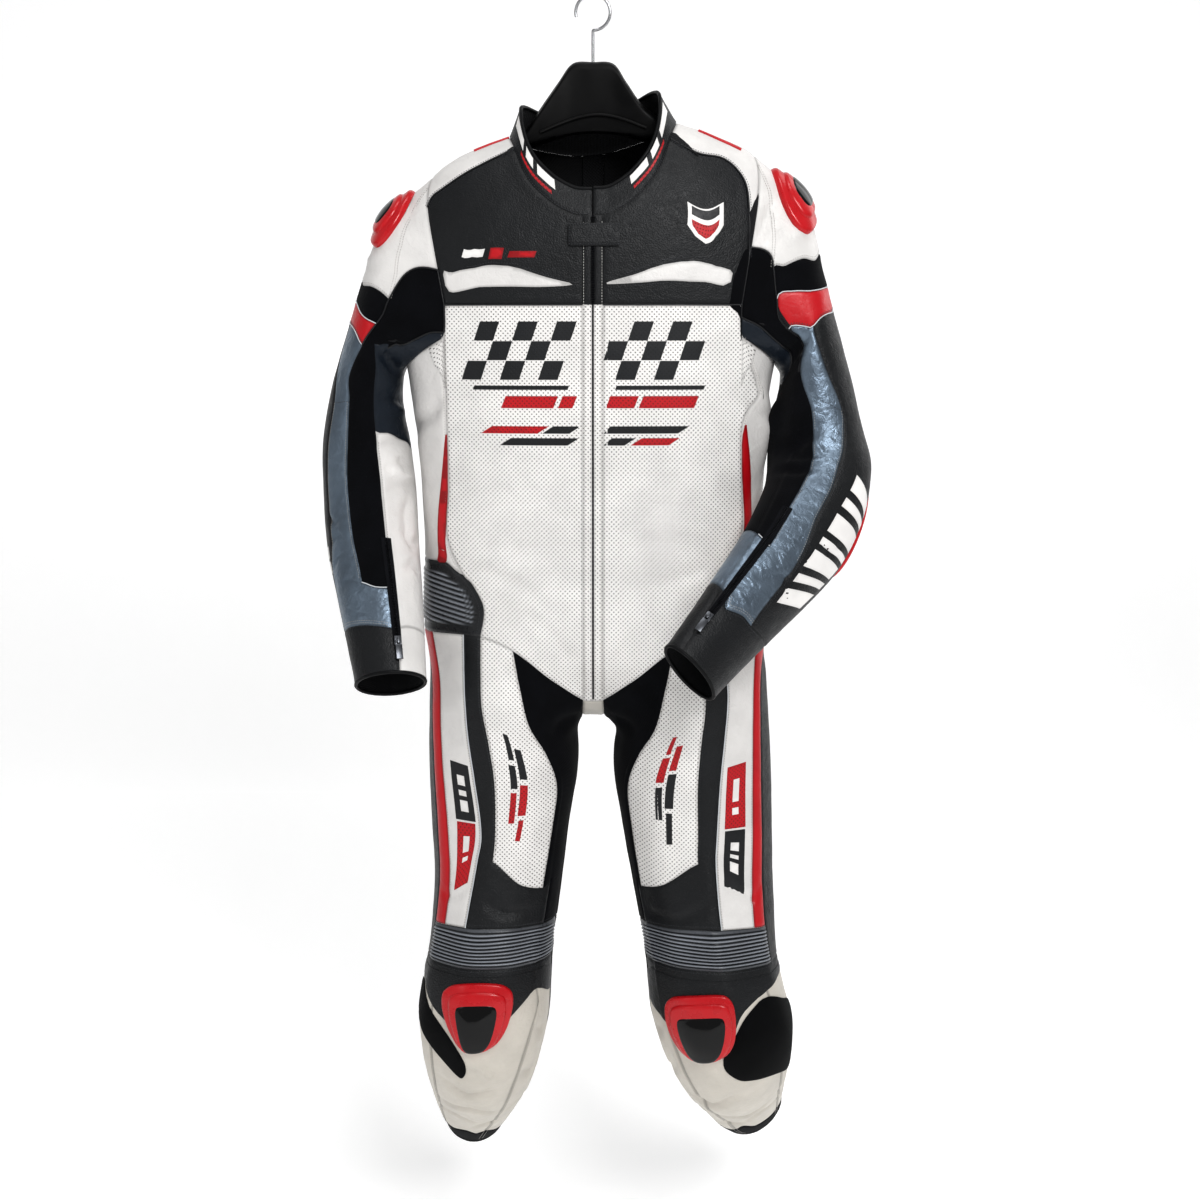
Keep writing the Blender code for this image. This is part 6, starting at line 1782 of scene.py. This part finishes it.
RED_PIPING = (
    ("bare yoke", (RIGHT,), (0.02, 9.35, 0.8, 9.05, 1.5, 8.85), 0, 1.6),
    ("bare yoke", (LEFT,), (0.9, 8.75, 1.8, 8.62, 2.85, 8.6), 0, 1.6),
)
BOUND_EDGES = (
    ("sleeve", BOTH, (14, 0, 14, 22), 0), ("leg", BOTH, (15, 0, 15, 19), 0),
    ("collar", MIDDLE, (3, 0, 3, 39), 0),
)


# Moulded cups, in layers on a limb. Outlines are in the cup's half sizes: down and across.

CUP_PLACES = {
    # cup and side: its middle, its half sizes down and across it as rows and columns, lift
    ("shoulder", RIGHT): ((0.85, 0.6), (0.5, 0), (0, 1.7), 0.0008),
    ("shoulder", LEFT): ((0.82, 0.75), (0.5, 0), (0, 1.95), 0.0008),
    ("elbow", RIGHT): ((9.5, -2.75), (1.35, 0), (0, 1.9), 0.0012),
    ("elbow", LEFT): ((9.1, -2.6), (1.35, 0), (0, 1.9), 0.0013),
    ("knee", RIGHT): ((9.28, 2.93), (0.91, 0.1), (-0.05, 1.42), 0.0017),
    ("knee", LEFT): ((9.5, 3.7), (0.87, 0.2), (0.15, 1.3), 0.0017),
}
KNEE_OUTER = (
    (-1.02, 0.3), (-0.94, 0.74), (-0.66, 0.99), (-0.25, 1.01), (0.12, 0.94), (0.5, 0.82), (0.86, 0.58),
    (1.01, 0.26),
)
KNEE_MIDDLE = ((-0.76, 0.5), (-0.56, 0.8), (0.0, 0.8), (0.45, 0.68), (0.84, 0.5), (0.985, 0.24))
KNEE_INSERT = ((-0.38, 0.52), (-0.14, 0.6), (0.35, 0.52), (0.76, 0.4), (0.96, 0.22))
BLADE_MIDDLE = ((-0.7, 0.4), (-0.42, 0.72), (0.3, 0.74), (0.68, 0.42))
BLADE_INSERT = ((-0.46, 0.28), (-0.26, 0.5), (0.24, 0.5), (0.46, 0.28))
LAYERS = {
    # layers: outline, finish, its foot's and its face's height, share of its rounded edge, crown
    "knee": (
        (KNEE_OUTER, "red moulded plastic", -0.0012, 0.0052, 0.07, 0.0012),
        (KNEE_MIDDLE, "red moulded plastic", 0.004, 0.0084, 0.12, 0.0006),
        (KNEE_INSERT, "smoked insert", 0.0072, 0.0094, 0.16, 0.0026),
    ),
    "shoulder": (
        (oval(64, 2.4), "red moulded plastic", -0.0012, 0.006, 0.1, 0.0012),
        (BLADE_MIDDLE, "red moulded plastic", 0.0048, 0.01, 0.16, 0.0008),
        (BLADE_INSERT, "smoked insert", 0.0088, 0.0114, 0.2, 0.0006),
    ),
    "elbow": (
        (oval(64, 2.6), "red moulded plastic", -0.0012, 0.0056, 0.08, 0.0012),
        (BLADE_MIDDLE, "red moulded plastic", 0.0044, 0.0092, 0.14, 0.0008),
        (BLADE_INSERT, "smoked insert", 0.008, 0.0104, 0.2, 0.0006),
    ),
}


def even_outline(outline, count=64):
    """A closed outline, mirrored if it gives one half, as evenly spaced points."""
    outline = [tuple(place) for place in outline]
    if len(outline) < 16:
        outline = rounded(outline + [(down, -across) for down, across in outline[::-1]], 3)
    line = np.array([*outline, outline[0]], float)
    along = np.append(0, np.cumsum(np.linalg.norm(np.diff(line, axis=0), axis=1)))
    at = np.linspace(0, along[-1], count, endpoint=False)
    return np.stack([np.interp(at, along, line[:, axis]) for axis in (0, 1)], axis=1)


def layer_of(form, place, outline, foot, face, bevel, crown):
    """Points and faces of one layer: a rounded edge round a slightly crowned face."""
    centre, down, across, lift = (np.array(item) for item in place)
    outline = even_outline(outline)
    middle, count = outline.mean(axis=0), len(outline)
    turns = np.linspace(0, math.pi / 2, 7)
    shares = np.concatenate([1 - bevel * (1 - np.cos(turns)), (1 - bevel) * np.linspace(0.9, 0.04, 12)])
    heights = np.concatenate([foot + (face - foot) * np.sin(turns), np.full(12, face)])
    heights += crown * np.clip(1 - (shares / (1 - bevel)) ** 2, 0, 1)
    rings = middle + (outline - middle) * shares[:, None, None]
    places = centre + rings[..., :1] * down + rings[..., 1:] * across
    points, normals = form.at(places[..., 0], places[..., 1])
    points = points + normals * (lift + heights)[:, None, None]
    faces = np.array(tube_faces(len(shares), count))
    faces = facing_out(points.reshape(-1, 3), faces, normals.reshape(-1, 3))
    last = np.arange((len(shares) - 1) * count, len(shares) * count)
    way = np.cross(*(points[-1, [count // 4, count // 2]] - points[-1, 0]))
    cap = last if way @ normals[-1, 0] > 0 else last[::-1]
    return points.reshape(-1, 3), [*faces.tolist(), cap.tolist()]


def tube_faces(rings, count):
    """Faces between rings of as many points each."""
    faces = []
    for start in range(0, (rings - 1) * count, count):
        for spoke in range(count):
            a, b = start + spoke, start + (spoke + 1) % count
            faces.append((a, b, b + count, a + count))
    return faces


def plain_piece(name, parts, finishes, node=None, body="suit"):
    """One object of parts, each points, faces and the number of its finish."""
    points, faces, index = [], [], []
    for part_points, part_faces, finish in parts:
        first = len(points)
        points += [tuple(point) for point in part_points]
        faces += [[first + corner for corner in face] for face in part_faces]
        index += [finish] * len(part_faces)
    mesh = new_mesh(name, points, [], faces, finishes, index)
    mesh.shade_smooth()
    mesh.set_sharp_from_angle(angle=math.radians(42))
    piece = new_object(name, mesh)
    finish_piece(piece, node, body)
    return piece


def moulded_cup(name, node, kind, side, place, layers):
    form = form_of("bare " + kind, side)
    finishes = list(dict.fromkeys(layer[1] for layer in layers))
    parts = []
    for outline, finish, *sizes in layers:
        parts.append((*layer_of(form, place, outline, *sizes), finishes.index(finish)))
    return plain_piece(name, parts, finishes, node)


# Designs.


def place_at(kind, side, x, z, start=(2.0, 2.5)):
    """The row and column where a form's face has that x and z."""
    form, place = form_of(kind, side), np.array(start, float)
    for _ in range(14):
        here = form.at(*place)[0][[0, 2]]
        down = form.at(place[0] + 0.01, place[1])[0][[0, 2]]
        across = form.at(place[0], place[1] + 0.01)[0][[0, 2]]
        slope = np.stack([down - here, across - here], axis=1) / 0.01
        place += np.clip(np.linalg.solve(slope, (x, z) - here), -0.7, 0.7)
        place = np.clip(place, (0.02, 0.02), (form.rows - 1.02, form.columns - 1.02))
    return tuple(place)


def slanted(kind, side, x, z, width, height, lean, start=(2.0, 2.5)):
    """A slanted bar on the front, by its top left corner, in short lengths that follow the form."""
    steps = max(int(width / 0.012), 1)
    top = [(x + width * step / steps, z) for step in range(steps + 1)]
    foot = [(x_ - lean, z - height) for x_, _ in top[::-1]]
    return [place_at(kind, side, *corner, start) for corner in top + foot]


def bar_outline(start, end, half):
    """A bar between two places, as wide in the other direction as twice its half."""
    start, end = np.array(start), np.array(end)
    along_columns = abs(end[1] - start[1]) > abs(end[0] - start[0])
    side = np.array((half, 0)) if along_columns else np.array((0, half))
    lean = np.array((0, 0.12 * half)) if along_columns else np.array((0, 0))
    return [start + side - lean, end + side - lean, end - side + lean, start - side + lean]


def chest_design():
    """Staggered slanted squares over red dashes and thin bars, in a layout of its own."""
    width, height = CHEQUERS["size"]
    found = []
    for row in range(CHEQUERS["rows"]):
        for column in range(2 * CHEQUERS["count"]):
            if (row + column) % 2:
                continue
            x = CHEQUERS["left"] + column * width - row * CHEQUERS["lean"]
            z = CHEQUERS["top"] - row * (height + 0.001)
            if abs(x + width / 2) < width / 2 + 0.019 or x + width > 0.15:
                continue
            found.append((x, z, width, height, CHEQUERS["lean"], "black print"))
    pieces = []
    for x, z, *sizes, finish in found + list(CHEST_BARS):
        side = RIGHT if x < 0 else LEFT
        pieces.append(("bare torso", side, slanted("bare torso", side, x, z, *sizes), finish, 0.00012))
    return pieces


def crest():
    """A plain shield in two colours."""
    pieces = []
    for shape, finish, lift in CREST:
        corners_ = [(CREST_LEFT + CREST_WIDE * u, CREST_TOP - CREST_HIGH * v) for u, v in shape]
        places = [place_at("bare yoke", LEFT, *corner, (1.8, 4.8)) for corner in corners_]
        pieces.append(("bare yoke", LEFT, places, finish, lift))
    return pieces


CREST_LEFT, CREST_TOP, CREST_WIDE, CREST_HIGH = 0.118, -0.262, 0.046, 0.052
CREST = (
    # outline as shares of its width and height, finish, lift
    (((0, 0), (1, 0), (1, 0.55), (0.78, 0.82), (0.5, 1), (0.22, 0.82), (0, 0.55)), "white print", 0.0002),
    (
        ((0.12, 0.42), (0.88, 0.42), (0.86, 0.56), (0.7, 0.76), (0.5, 0.88), (0.3, 0.76), (0.14, 0.56)),
        "red print",
        0.0006,
    ),
    (((0.12, 0.1), (0.88, 0.1), (0.88, 0.3), (0.12, 0.3)), "black patch", 0.0006),
)


# Small hardware.


def frame_on(kind, side, row, column):
    """Axes on a form as a matrix: across it, down it and out of it."""
    form = form_of(kind, side)
    point, out = form.at(row, column)
    down = form.at(row + 0.8, column)[0] - point
    down = unit(down - out * (down @ out))
    across = np.cross(down, out)
    return Matrix([(*axes, place) for *axes, place in zip(across, down, out, point)] + [(0, 0, 0, 1)])


def soft_boxes(name, boxes, matrix, finish, body="suit", node=None, bevel=0.0005):
    """Boxes with rounded edges, united, in a matrix's axes."""
    parts = []
    for low, high in boxes:
        (left, upper, back), (right, lower, front) = low, high
        square = ((left, upper), (right, upper), (right, lower), (left, lower))
        points = [matrix @ Vector((x, y, z)) for z in (back, front) for x, y in square]
        faces = ((0, 3, 2, 1), (4, 5, 6, 7), (0, 1, 5, 4), (1, 2, 6, 5), (2, 3, 7, 6), (3, 0, 4, 7))
        parts.append((points, faces, 0))
    piece = plain_piece(name, parts, [finish], node, body)
    softened = piece.modifiers.new("Soft edges", "BEVEL")
    softened.width = bevel
    softened.segments = 3
    settle(piece)
    return piece


def hanger_outline(top, foot, deep):
    """Half-open shape round the hanger: a shallow roof over rounded sides."""
    roof = 0.26 * deep
    outline = [(0, top), (0.5 * deep, top - 0.4 * roof), (0.92 * deep, top - 1.1 * roof)]
    outline += [(deep, top - 1.9 * roof), (0.85 * deep, foot + 0.002), (0.35 * deep, foot)]
    return rounded(outline + [(-y, z) for y, z in outline[:0:-1]], 2)


def hanger_parts():
    """The hanger's points and faces, from the arms under one shoulder over the hump to the other's."""
    sections = {}
    for side in BOTH:
        points, normals = form_of("yoke", side).at(np.arange(4), RIDGE_COLUMN)
        under = points - normals * (WALL + HANGER_GAP)
        sections[side] = [(x, z, z - HANGER_ARM, HANGER_DEPTH) for x, _, z in under]
    rows = sections[RIGHT][::-1] + list(HUMP) + sections[LEFT]
    rows = smooth(rows, np.linspace(0, len(rows) - 1, 150))
    points = [(x, y, z) for x, *sizes in rows for y, z in hanger_outline(*sizes)]
    count = len(points) // len(rows)
    faces = [(a, d, c, b) for a, b, c, d in tube_faces(len(rows), count)]
    faces.append(list(range(count)))
    faces.append(list(range(len(points) - count, len(points)))[::-1])
    return points, faces


# The operators.


def colour_setting(name, text, value):
    return bpy.props.FloatVectorProperty(
        name=name, description=text, subtype="COLOR", size=3, min=0, max=1, default=srgb(value)
    )


def length_setting(name, text, value):
    return bpy.props.FloatProperty(
        name=name, description=text, default=value, min=0, soft_max=4 * value, unit="LENGTH", precision=4
    )


class RaceSuitSizes(bpy.types.PropertyGroup):
    """Sizes of the leather and of its sewing."""

    leather_thickness: length_setting("Leather", "Thickness of a finished panel", 0.0016)
    seam_depth: length_setting("Seam depth", "How far a panel sinks to its seam", 0.001)
    crease_strength: bpy.props.FloatProperty(
        name="Creases", description="1 for new leather, 0 for none", default=2.0, min=0, max=3
    )
    stitch_pitch: length_setting("Stitch pitch", "From one stitch to the next", 0.0034)
    stitch_length: length_setting("Stitch length", "Of thread that shows", 0.0026)
    thread_width: length_setting("Thread", "Thickness of the thread", 0.0008)
    piping_width: length_setting("Piping", "Thickness of the piping in the seams", 0.0022)
    rib_height: length_setting("Rib height", "Of the stretch panels' ribs", 0.003)


class RaceSuitColours(bpy.types.PropertyGroup):
    """Colours of the leathers."""

    black: colour_setting("Black leather", "Dye of the black hide", "#131518")
    white: colour_setting("White leather", "Finish of the white hide", "#dcdad8")
    red: colour_setting("Red leather", "Dye of the red hide", "#bd0e1d")
    grey: colour_setting("Grey leather", "Metallic foil of the grey hide", "#73808d")
    navy: colour_setting("Navy leather", "Dye under the arms", "#1b232d")


def build_panels(*kinds):
    for name, kind, blocks, finish, node in PANELS:
        if kind not in kinds:
            continue
        for side in MIDDLE if kind in MIDDLE_FORMS else BOTH:
            tail = f"_{SIDE_NAMES[side]}" if side else ""
            if side == LEFT and name in LEFT_PANELS:
                blocks, finish = LEFT_PANELS[name]
            cut_panel(f"{name}_panel{tail}", node + tail if node else None, kind, side, blocks, finish)


def build_ribs(name, kind, block, ribs):
    height = bpy.context.scene.race_suit_sizes.rib_height
    for side in BOTH:
        tail = SIDE_NAMES[side]
        settings = {**ribs, "height": height}
        piece, node = f"{name}_panel_{tail}", f"{name}_{tail}"
        cut_panel(piece, node, kind, side, (block,), "ribbed leather", ribs=settings)


class UpperBody(bpy.types.Operator):
    """Build the yokes, shoulders, collar, front, sides and back"""

    bl_idname = "race_suit.upper_body"
    bl_label = "Upper body"

    def execute(self, context):
        build_panels("yoke", "torso", "zip", "back", "gusset", "collar")
        ribs = {
            "step": 0.0011,
            "across": 0.003,
            "phase": lambda rows, points: (points[:, 2] - HIP_SLANT * np.abs(points[:, 0])) / HIP_PITCH,
            "mask": lambda edge: np.clip((edge - HIP_BORDER) / 0.004, 0, 1),
        }
        build_ribs("hip_ribs", "torso", (6, 8, 6, 10), ribs)
        outline = TAB_CORNERS + tuple((3 - row, column) for row, column in TAB_CORNERS[::-1])
        piece = ("tab", None, outline, "black leather", TAB_LAYER[0])
        applied("neck_tab_strap", [piece], 0.0024, 0.003, "neck_tab", cloth=True)
        return {"FINISHED"}


class Sleeves(bpy.types.Operator):
    """Build both sleeves"""

    bl_idname = "race_suit.sleeves"
    bl_label = "Sleeves"

    def execute(self, context):
        build_panels("sleeve")
        return {"FINISHED"}


class Legs(bpy.types.Operator):
    """Build both legs with their ribbed bands"""

    bl_idname = "race_suit.legs"
    bl_label = "Legs"

    def execute(self, context):
        build_panels("leg")
        ribs = {
            "step": 0.0007,
            "across": STEP,
            "phase": lambda rows, points: (rows - 7) * KNEE_RIBS,
            "mask": lambda edge: np.clip(edge / 0.003, 0, 1),
        }
        build_ribs("knee_ribs", "leg", (7, 8, 0, 9), ribs)
        return {"FINISHED"}


class Protectors(bpy.types.Operator):
    """Build the moulded cups of shoulders, elbows and knees"""

    bl_idname = "race_suit.protectors"
    bl_label = "Protectors"

    def execute(self, context):
        for side in BOTH:
            tail = SIDE_NAMES[side]
            for name, kind in (("shoulder", "sleeve"), ("elbow", "sleeve"), ("knee", "leg")):
                names = f"{name}_guard_{tail}", f"{name}_cup_{tail}"
                moulded_cup(*names, kind, side, CUP_PLACES[name, side], LAYERS[name])
        return {"FINISHED"}


class Patches(bpy.types.Operator):
    """Sew and print the patches and the generic designs"""

    bl_idname = "race_suit.patches"
    bl_label = "Patches"

    def execute(self, context):
        for side in BOTH:
            tail = SIDE_NAMES[side]
            for name, kind, outlines, times, finish, lift, thickness, step in PATCHES:
                patch = [("bare " + kind, side, rounded(outlines[side], times), finish, lift)]
                node = f"flash_{tail}" if outlines is FLASH else None
                applied(f"{name}_{tail}", patch, thickness, step, node, cloth=bool(node))
        laps = [(kind, LEFT, rounded(outline, 1), "black stretch", 0.0) for kind, outline in ARMHOLE_LAPS]
        applied("armhole_lap", laps, 0.001, 0.006)
        applied("chest_design", chest_design(), 0.00018, 0.006)
        applied("crest_patch", crest(), 0.0005, 0.004)
        bars = []
        for kind, side, finish, *places in BARS:
            kind = kind if kind == "collar" else "bare " + kind
            lift = WHITE_LIFT if finish == "white print" else 0.0
            for place in places:
                outline = bar_outline(place[:2], place[2:4], place[4])
                bars.append((kind, side, outline, finish, lift))
        for start, end in SLEEVE_BARS:
            upper, lower = (smooth(line, [4 * start, 4 * end]) for line in SLEEVE_BAND)
            bars.append(("bare sleeve", LEFT, [*upper, *lower[::-1]], "white print", WHITE_LIFT))
        for *sizes, finish in CHEST_DASHES:
            bars.append(("bare yoke", RIGHT, slanted("bare yoke", RIGHT, *sizes), finish, 0.0))
        applied("limb_designs", bars, 0.0003, 0.005)
        return {"FINISHED"}


class Sewing(bpy.types.Operator):
    """Sew the seams: stitches, piping and bound edges"""

    bl_idname = "race_suit.sewing"
    bl_label = "Sewing"

    def execute(self, context):
        sizes = context.scene.race_suit_sizes
        stitch = {"Pitch": sizes.stitch_pitch, "Length": sizes.stitch_length, "Width": sizes.thread_width}
        for name, table, finish, lift in (
            ("placket_stitches", WHITE_STITCHES, "white thread", 0.0001),
            ("grey_stitches", GREY_STITCHES, "grey thread", 0.0001),
            ("black_stitches", BLACK_STITCHES, "black thread", 0.0001),
            ("tab_stitches", TAB_STITCHES, "black thread", 0.0044),
        ):
            along_paths(name, bead_group(), paths_of(table, lift), finish, **stitch)
        for name, table, finish, lift, pitch, width in (
            ("black_piping", BLACK_PIPING, "black piping", 0.0, 0.006, sizes.piping_width),
            ("pale_piping", PALE_PIPING, "pale piping", 0.0002, 0.006, 0.75 * sizes.piping_width),
            ("red_piping", RED_PIPING, "red piping", 0.0004, 0.006, 0.0034),
            ("bound_edges", BOUND_EDGES, "bound edge", -0.001, 0.005, 0.0048),
        ):
            along_paths(name, cord_group(), paths_of(table, lift), finish, Pitch=pitch, Width=width)
        return {"FINISHED"}


class Zips(bpy.types.Operator):
    """Build the zips, the sliders and the pulls"""

    bl_idname = "race_suit.zips"
    bl_label = "Zips"

    def execute(self, context):
        teeth = {"Pitch": 0.0021, "Length": 0.0013, "Width": 0.0026}
        rows = np.linspace(ZIP_START, ZIP_END, 9)
        outline = [(row, ZIP_COLUMN - ZIP_SHARE) for row in rows]
        outline += [(row, ZIP_COLUMN + ZIP_SHARE) for row in rows[::-1]]
        places = ((ZIP_START + 0.05, ZIP_COLUMN), (ZIP_END - 0.05, ZIP_COLUMN))
        for side in BOTH:
            tail = SIDE_NAMES[side]
            tape = [("bare sleeve", side, outline, "zip tape", 0.0003)]
            applied(f"wrist_tape_{tail}", tape, 0.0012, 0.004, f"wrist_zip_{tail}")
            lines = [path_on("bare sleeve", side, places, aside, 0.0018) for aside in (-0.0011, 0.0011)]
            along_paths(f"wrist_teeth_{tail}", bead_group(), lines, "dark metal", **teeth)
            frame_ = frame_on("bare sleeve", side, ZIP_END - 0.15, ZIP_COLUMN)
            soft_boxes(f"wrist_slider_{tail}", SLIDER, frame_, "dark metal")
            hinge = frame_ @ Matrix.Translation((0, 0, PULL_AXIS))
            pull = f"pull_{tail}"
            soft_boxes(f"wrist_{pull}", PULL, hinge, "dark metal", pull, pull, 0.0003)
        open_part = ((0.1, 0.5), (4.95, 0.5))
        lines = [path_on("zip", None, open_part, aside, 0.0004) for aside in (-0.0012, 0.0012)]
        closed = paths_of((("zip", MIDDLE, (5, 0.5, 12.95, 0.5), 0),), 0.0)
        along_paths("front_closed_zip", cord_group(), closed, "black teeth", Pitch=0.006, Width=0.0022)
        along_paths("front_teeth", bead_group(), lines, "black teeth", **teeth)
        return {"FINISHED"}


class Hanger(bpy.types.Operator):
    """Build the hanger and its hook"""

    bl_idname = "race_suit.hanger"
    bl_label = "Hanger"

    def execute(self, context):
        plain_piece("hanger_body", [(*hanger_parts(), 0)], ["satin plastic"], "hanger")
        arch = smooth(HANGER_RIB, np.linspace(0, len(HANGER_RIB) - 1, 60))
        deep = look([(x, half) for x, _, _, half in HUMP], arch[:, 0])[:, 0]
        rib = [(x, -depth - 0.0002, z) for (x, z), depth in zip(arch, deep)]
        along_paths("hanger_rib", cord_group(), [(rib, False)], "satin plastic", Pitch=0.003, Width=0.0046)
        middle = -HOOK_RADIUS + HOOK_WIRE
        turns = np.radians(np.arange(-90, 196, 5))
        wire = [(0, 0, HANGER_TOP - 0.012), (0, 0, middle - HOOK_RADIUS - 0.006)]
        wire += [(HOOK_RADIUS * math.cos(turn), 0, middle + HOOK_RADIUS * math.sin(turn)) for turn in turns]
        along_paths("hook", cord_group(), [(wire, False)], "steel", Pitch=0.002, Width=2 * HOOK_WIRE)
        return {"FINISHED"}


class Stage(bpy.types.Operator):
    """Set up the floor, the backdrop, the lights and the camera"""

    bl_idname = "race_suit.stage"
    bl_label = "Stage"

    def execute(self, context):
        scene = context.scene
        turns = np.linspace(-math.pi / 2, 0, 16)
        line = [(PAPER_FRONT, STAGE_FLOOR), (PAPER_TURN, STAGE_FLOOR)]
        line += [(PAPER_TURN + math.cos(turn), STAGE_FLOOR + 1 + math.sin(turn)) for turn in turns]
        line += [(PAPER_TURN + 1, PAPER_TOP)]
        points = [(x, y, z) for y, z in line for x in (-PAPER_HALF, PAPER_HALF)]
        faces = [(index, index + 1, index + 3, index + 2) for index in range(0, len(points) - 2, 2)]
        mesh = bpy.data.meshes.new("backdrop")
        mesh.from_pydata(points, [], faces)
        mesh.shade_smooth()
        paper = bpy.data.materials.new("backdrop paper")
        paper.use_nodes = True
        white = {"Base Color": (*srgb("#fbfbfb"), 1), "Roughness": 0.9, "Emission Color": (1, 1, 1, 1)}
        white["Emission Strength"] = PAPER_GLOW
        feed(paper.node_tree, paper.node_tree.nodes["Principled BSDF"], white)
        mesh.materials.append(paper)
        new_object("backdrop", mesh)
        for name, place, target, size, power in LIGHTS:
            lamp = bpy.data.lights.new(name, "AREA")
            lamp.shape = "RECTANGLE"
            lamp.size, lamp.size_y = size
            lamp.energy = power
            light = new_object(name, lamp)
            light.location = place
            light.rotation_euler = (Vector(target) - Vector(place)).to_track_quat("-Z", "Y").to_euler()
        scene.world = bpy.data.worlds.new("studio")
        scene.world.use_nodes = True
        tree = scene.world.node_tree
        feed(tree, tree.nodes["Background"], {"Color": (1, 1, 1, 1), "Strength": WORLD})
        camera = new_object("camera", bpy.data.cameras.new("camera"))
        camera.location = CAMERA
        camera.rotation_euler = (math.radians(90 - CAMERA_PITCH), 0, 0)
        camera.data.lens = CAMERA_LENS
        scene.camera = camera
        scene.view_settings.view_transform = "Standard"
        scene.view_settings.gamma = GAMMA
        return {"FINISHED"}


# The paper under and behind the suit: its height, where it starts and turns up, its top and half width.
STAGE_FLOOR, PAPER_FRONT, PAPER_TURN, PAPER_TOP, PAPER_HALF = -1.75, -4.0, 2.6, 4.0, 6.0
PAPER_GLOW = 0.25  # so that it is white from every side
CAMERA, CAMERA_PITCH, CAMERA_LENS = (0.009, -2.3, -0.419), 8.9, 51.96
WORLD = 0.45  # light from all round
GAMMA = 0.82  # below 1, it deepens the darks
LIGHTS = (
    # name, place, target, size, power
    ("key", (1.0, -2.9, 1.1), (0, 0, -0.8), (1.1, 1.1), 62),
    ("fill", (-2.4, -2.2, 0.1), (0, 0, -0.9), (1.0, 2.0), 8),
    ("top", (0.2, -0.7, 2.2), (0, 0, -0.6), (1.8, 0.8), 22),
    ("rim", (1.8, 1.0, 0.6), (0, 0, -0.6), (1.0, 2.2), 12),
)
OPERATORS = (UpperBody, Sleeves, Legs, Protectors, Patches, Sewing, Zips, Hanger, Stage)


class SuitPanel(bpy.types.Panel):
    """Builds the suit from the sidebar"""

    bl_idname = "VIEW3D_PT_race_suit"
    bl_label = "Race suit"
    bl_space_type = "VIEW_3D"
    bl_region_type = "UI"
    bl_category = "Race suit"

    def draw(self, context):
        for settings in (context.scene.race_suit_sizes, context.scene.race_suit_colours):
            column = self.layout.column(align=True)
            for name in settings.__annotations__:
                column.prop(settings, name)
        for operator in OPERATORS:
            self.layout.operator(operator.bl_idname)


CLASSES = (RaceSuitSizes, RaceSuitColours, *OPERATORS, SuitPanel)


def register():
    for each in CLASSES:
        bpy.utils.register_class(each)
    bpy.types.Scene.race_suit_sizes = bpy.props.PointerProperty(type=RaceSuitSizes)
    bpy.types.Scene.race_suit_colours = bpy.props.PointerProperty(type=RaceSuitColours)


def unregister():
    del bpy.types.Scene.race_suit_colours
    del bpy.types.Scene.race_suit_sizes
    for each in reversed(CLASSES):
        bpy.utils.unregister_class(each)


def main():
    register()
    build = bpy.ops.race_suit
    build.upper_body()
    build.sleeves()
    build.legs()
    build.protectors()
    build.patches()
    build.sewing()
    build.zips()
    build.hanger()
    build.stage()


if __name__ == "__main__":
    main()
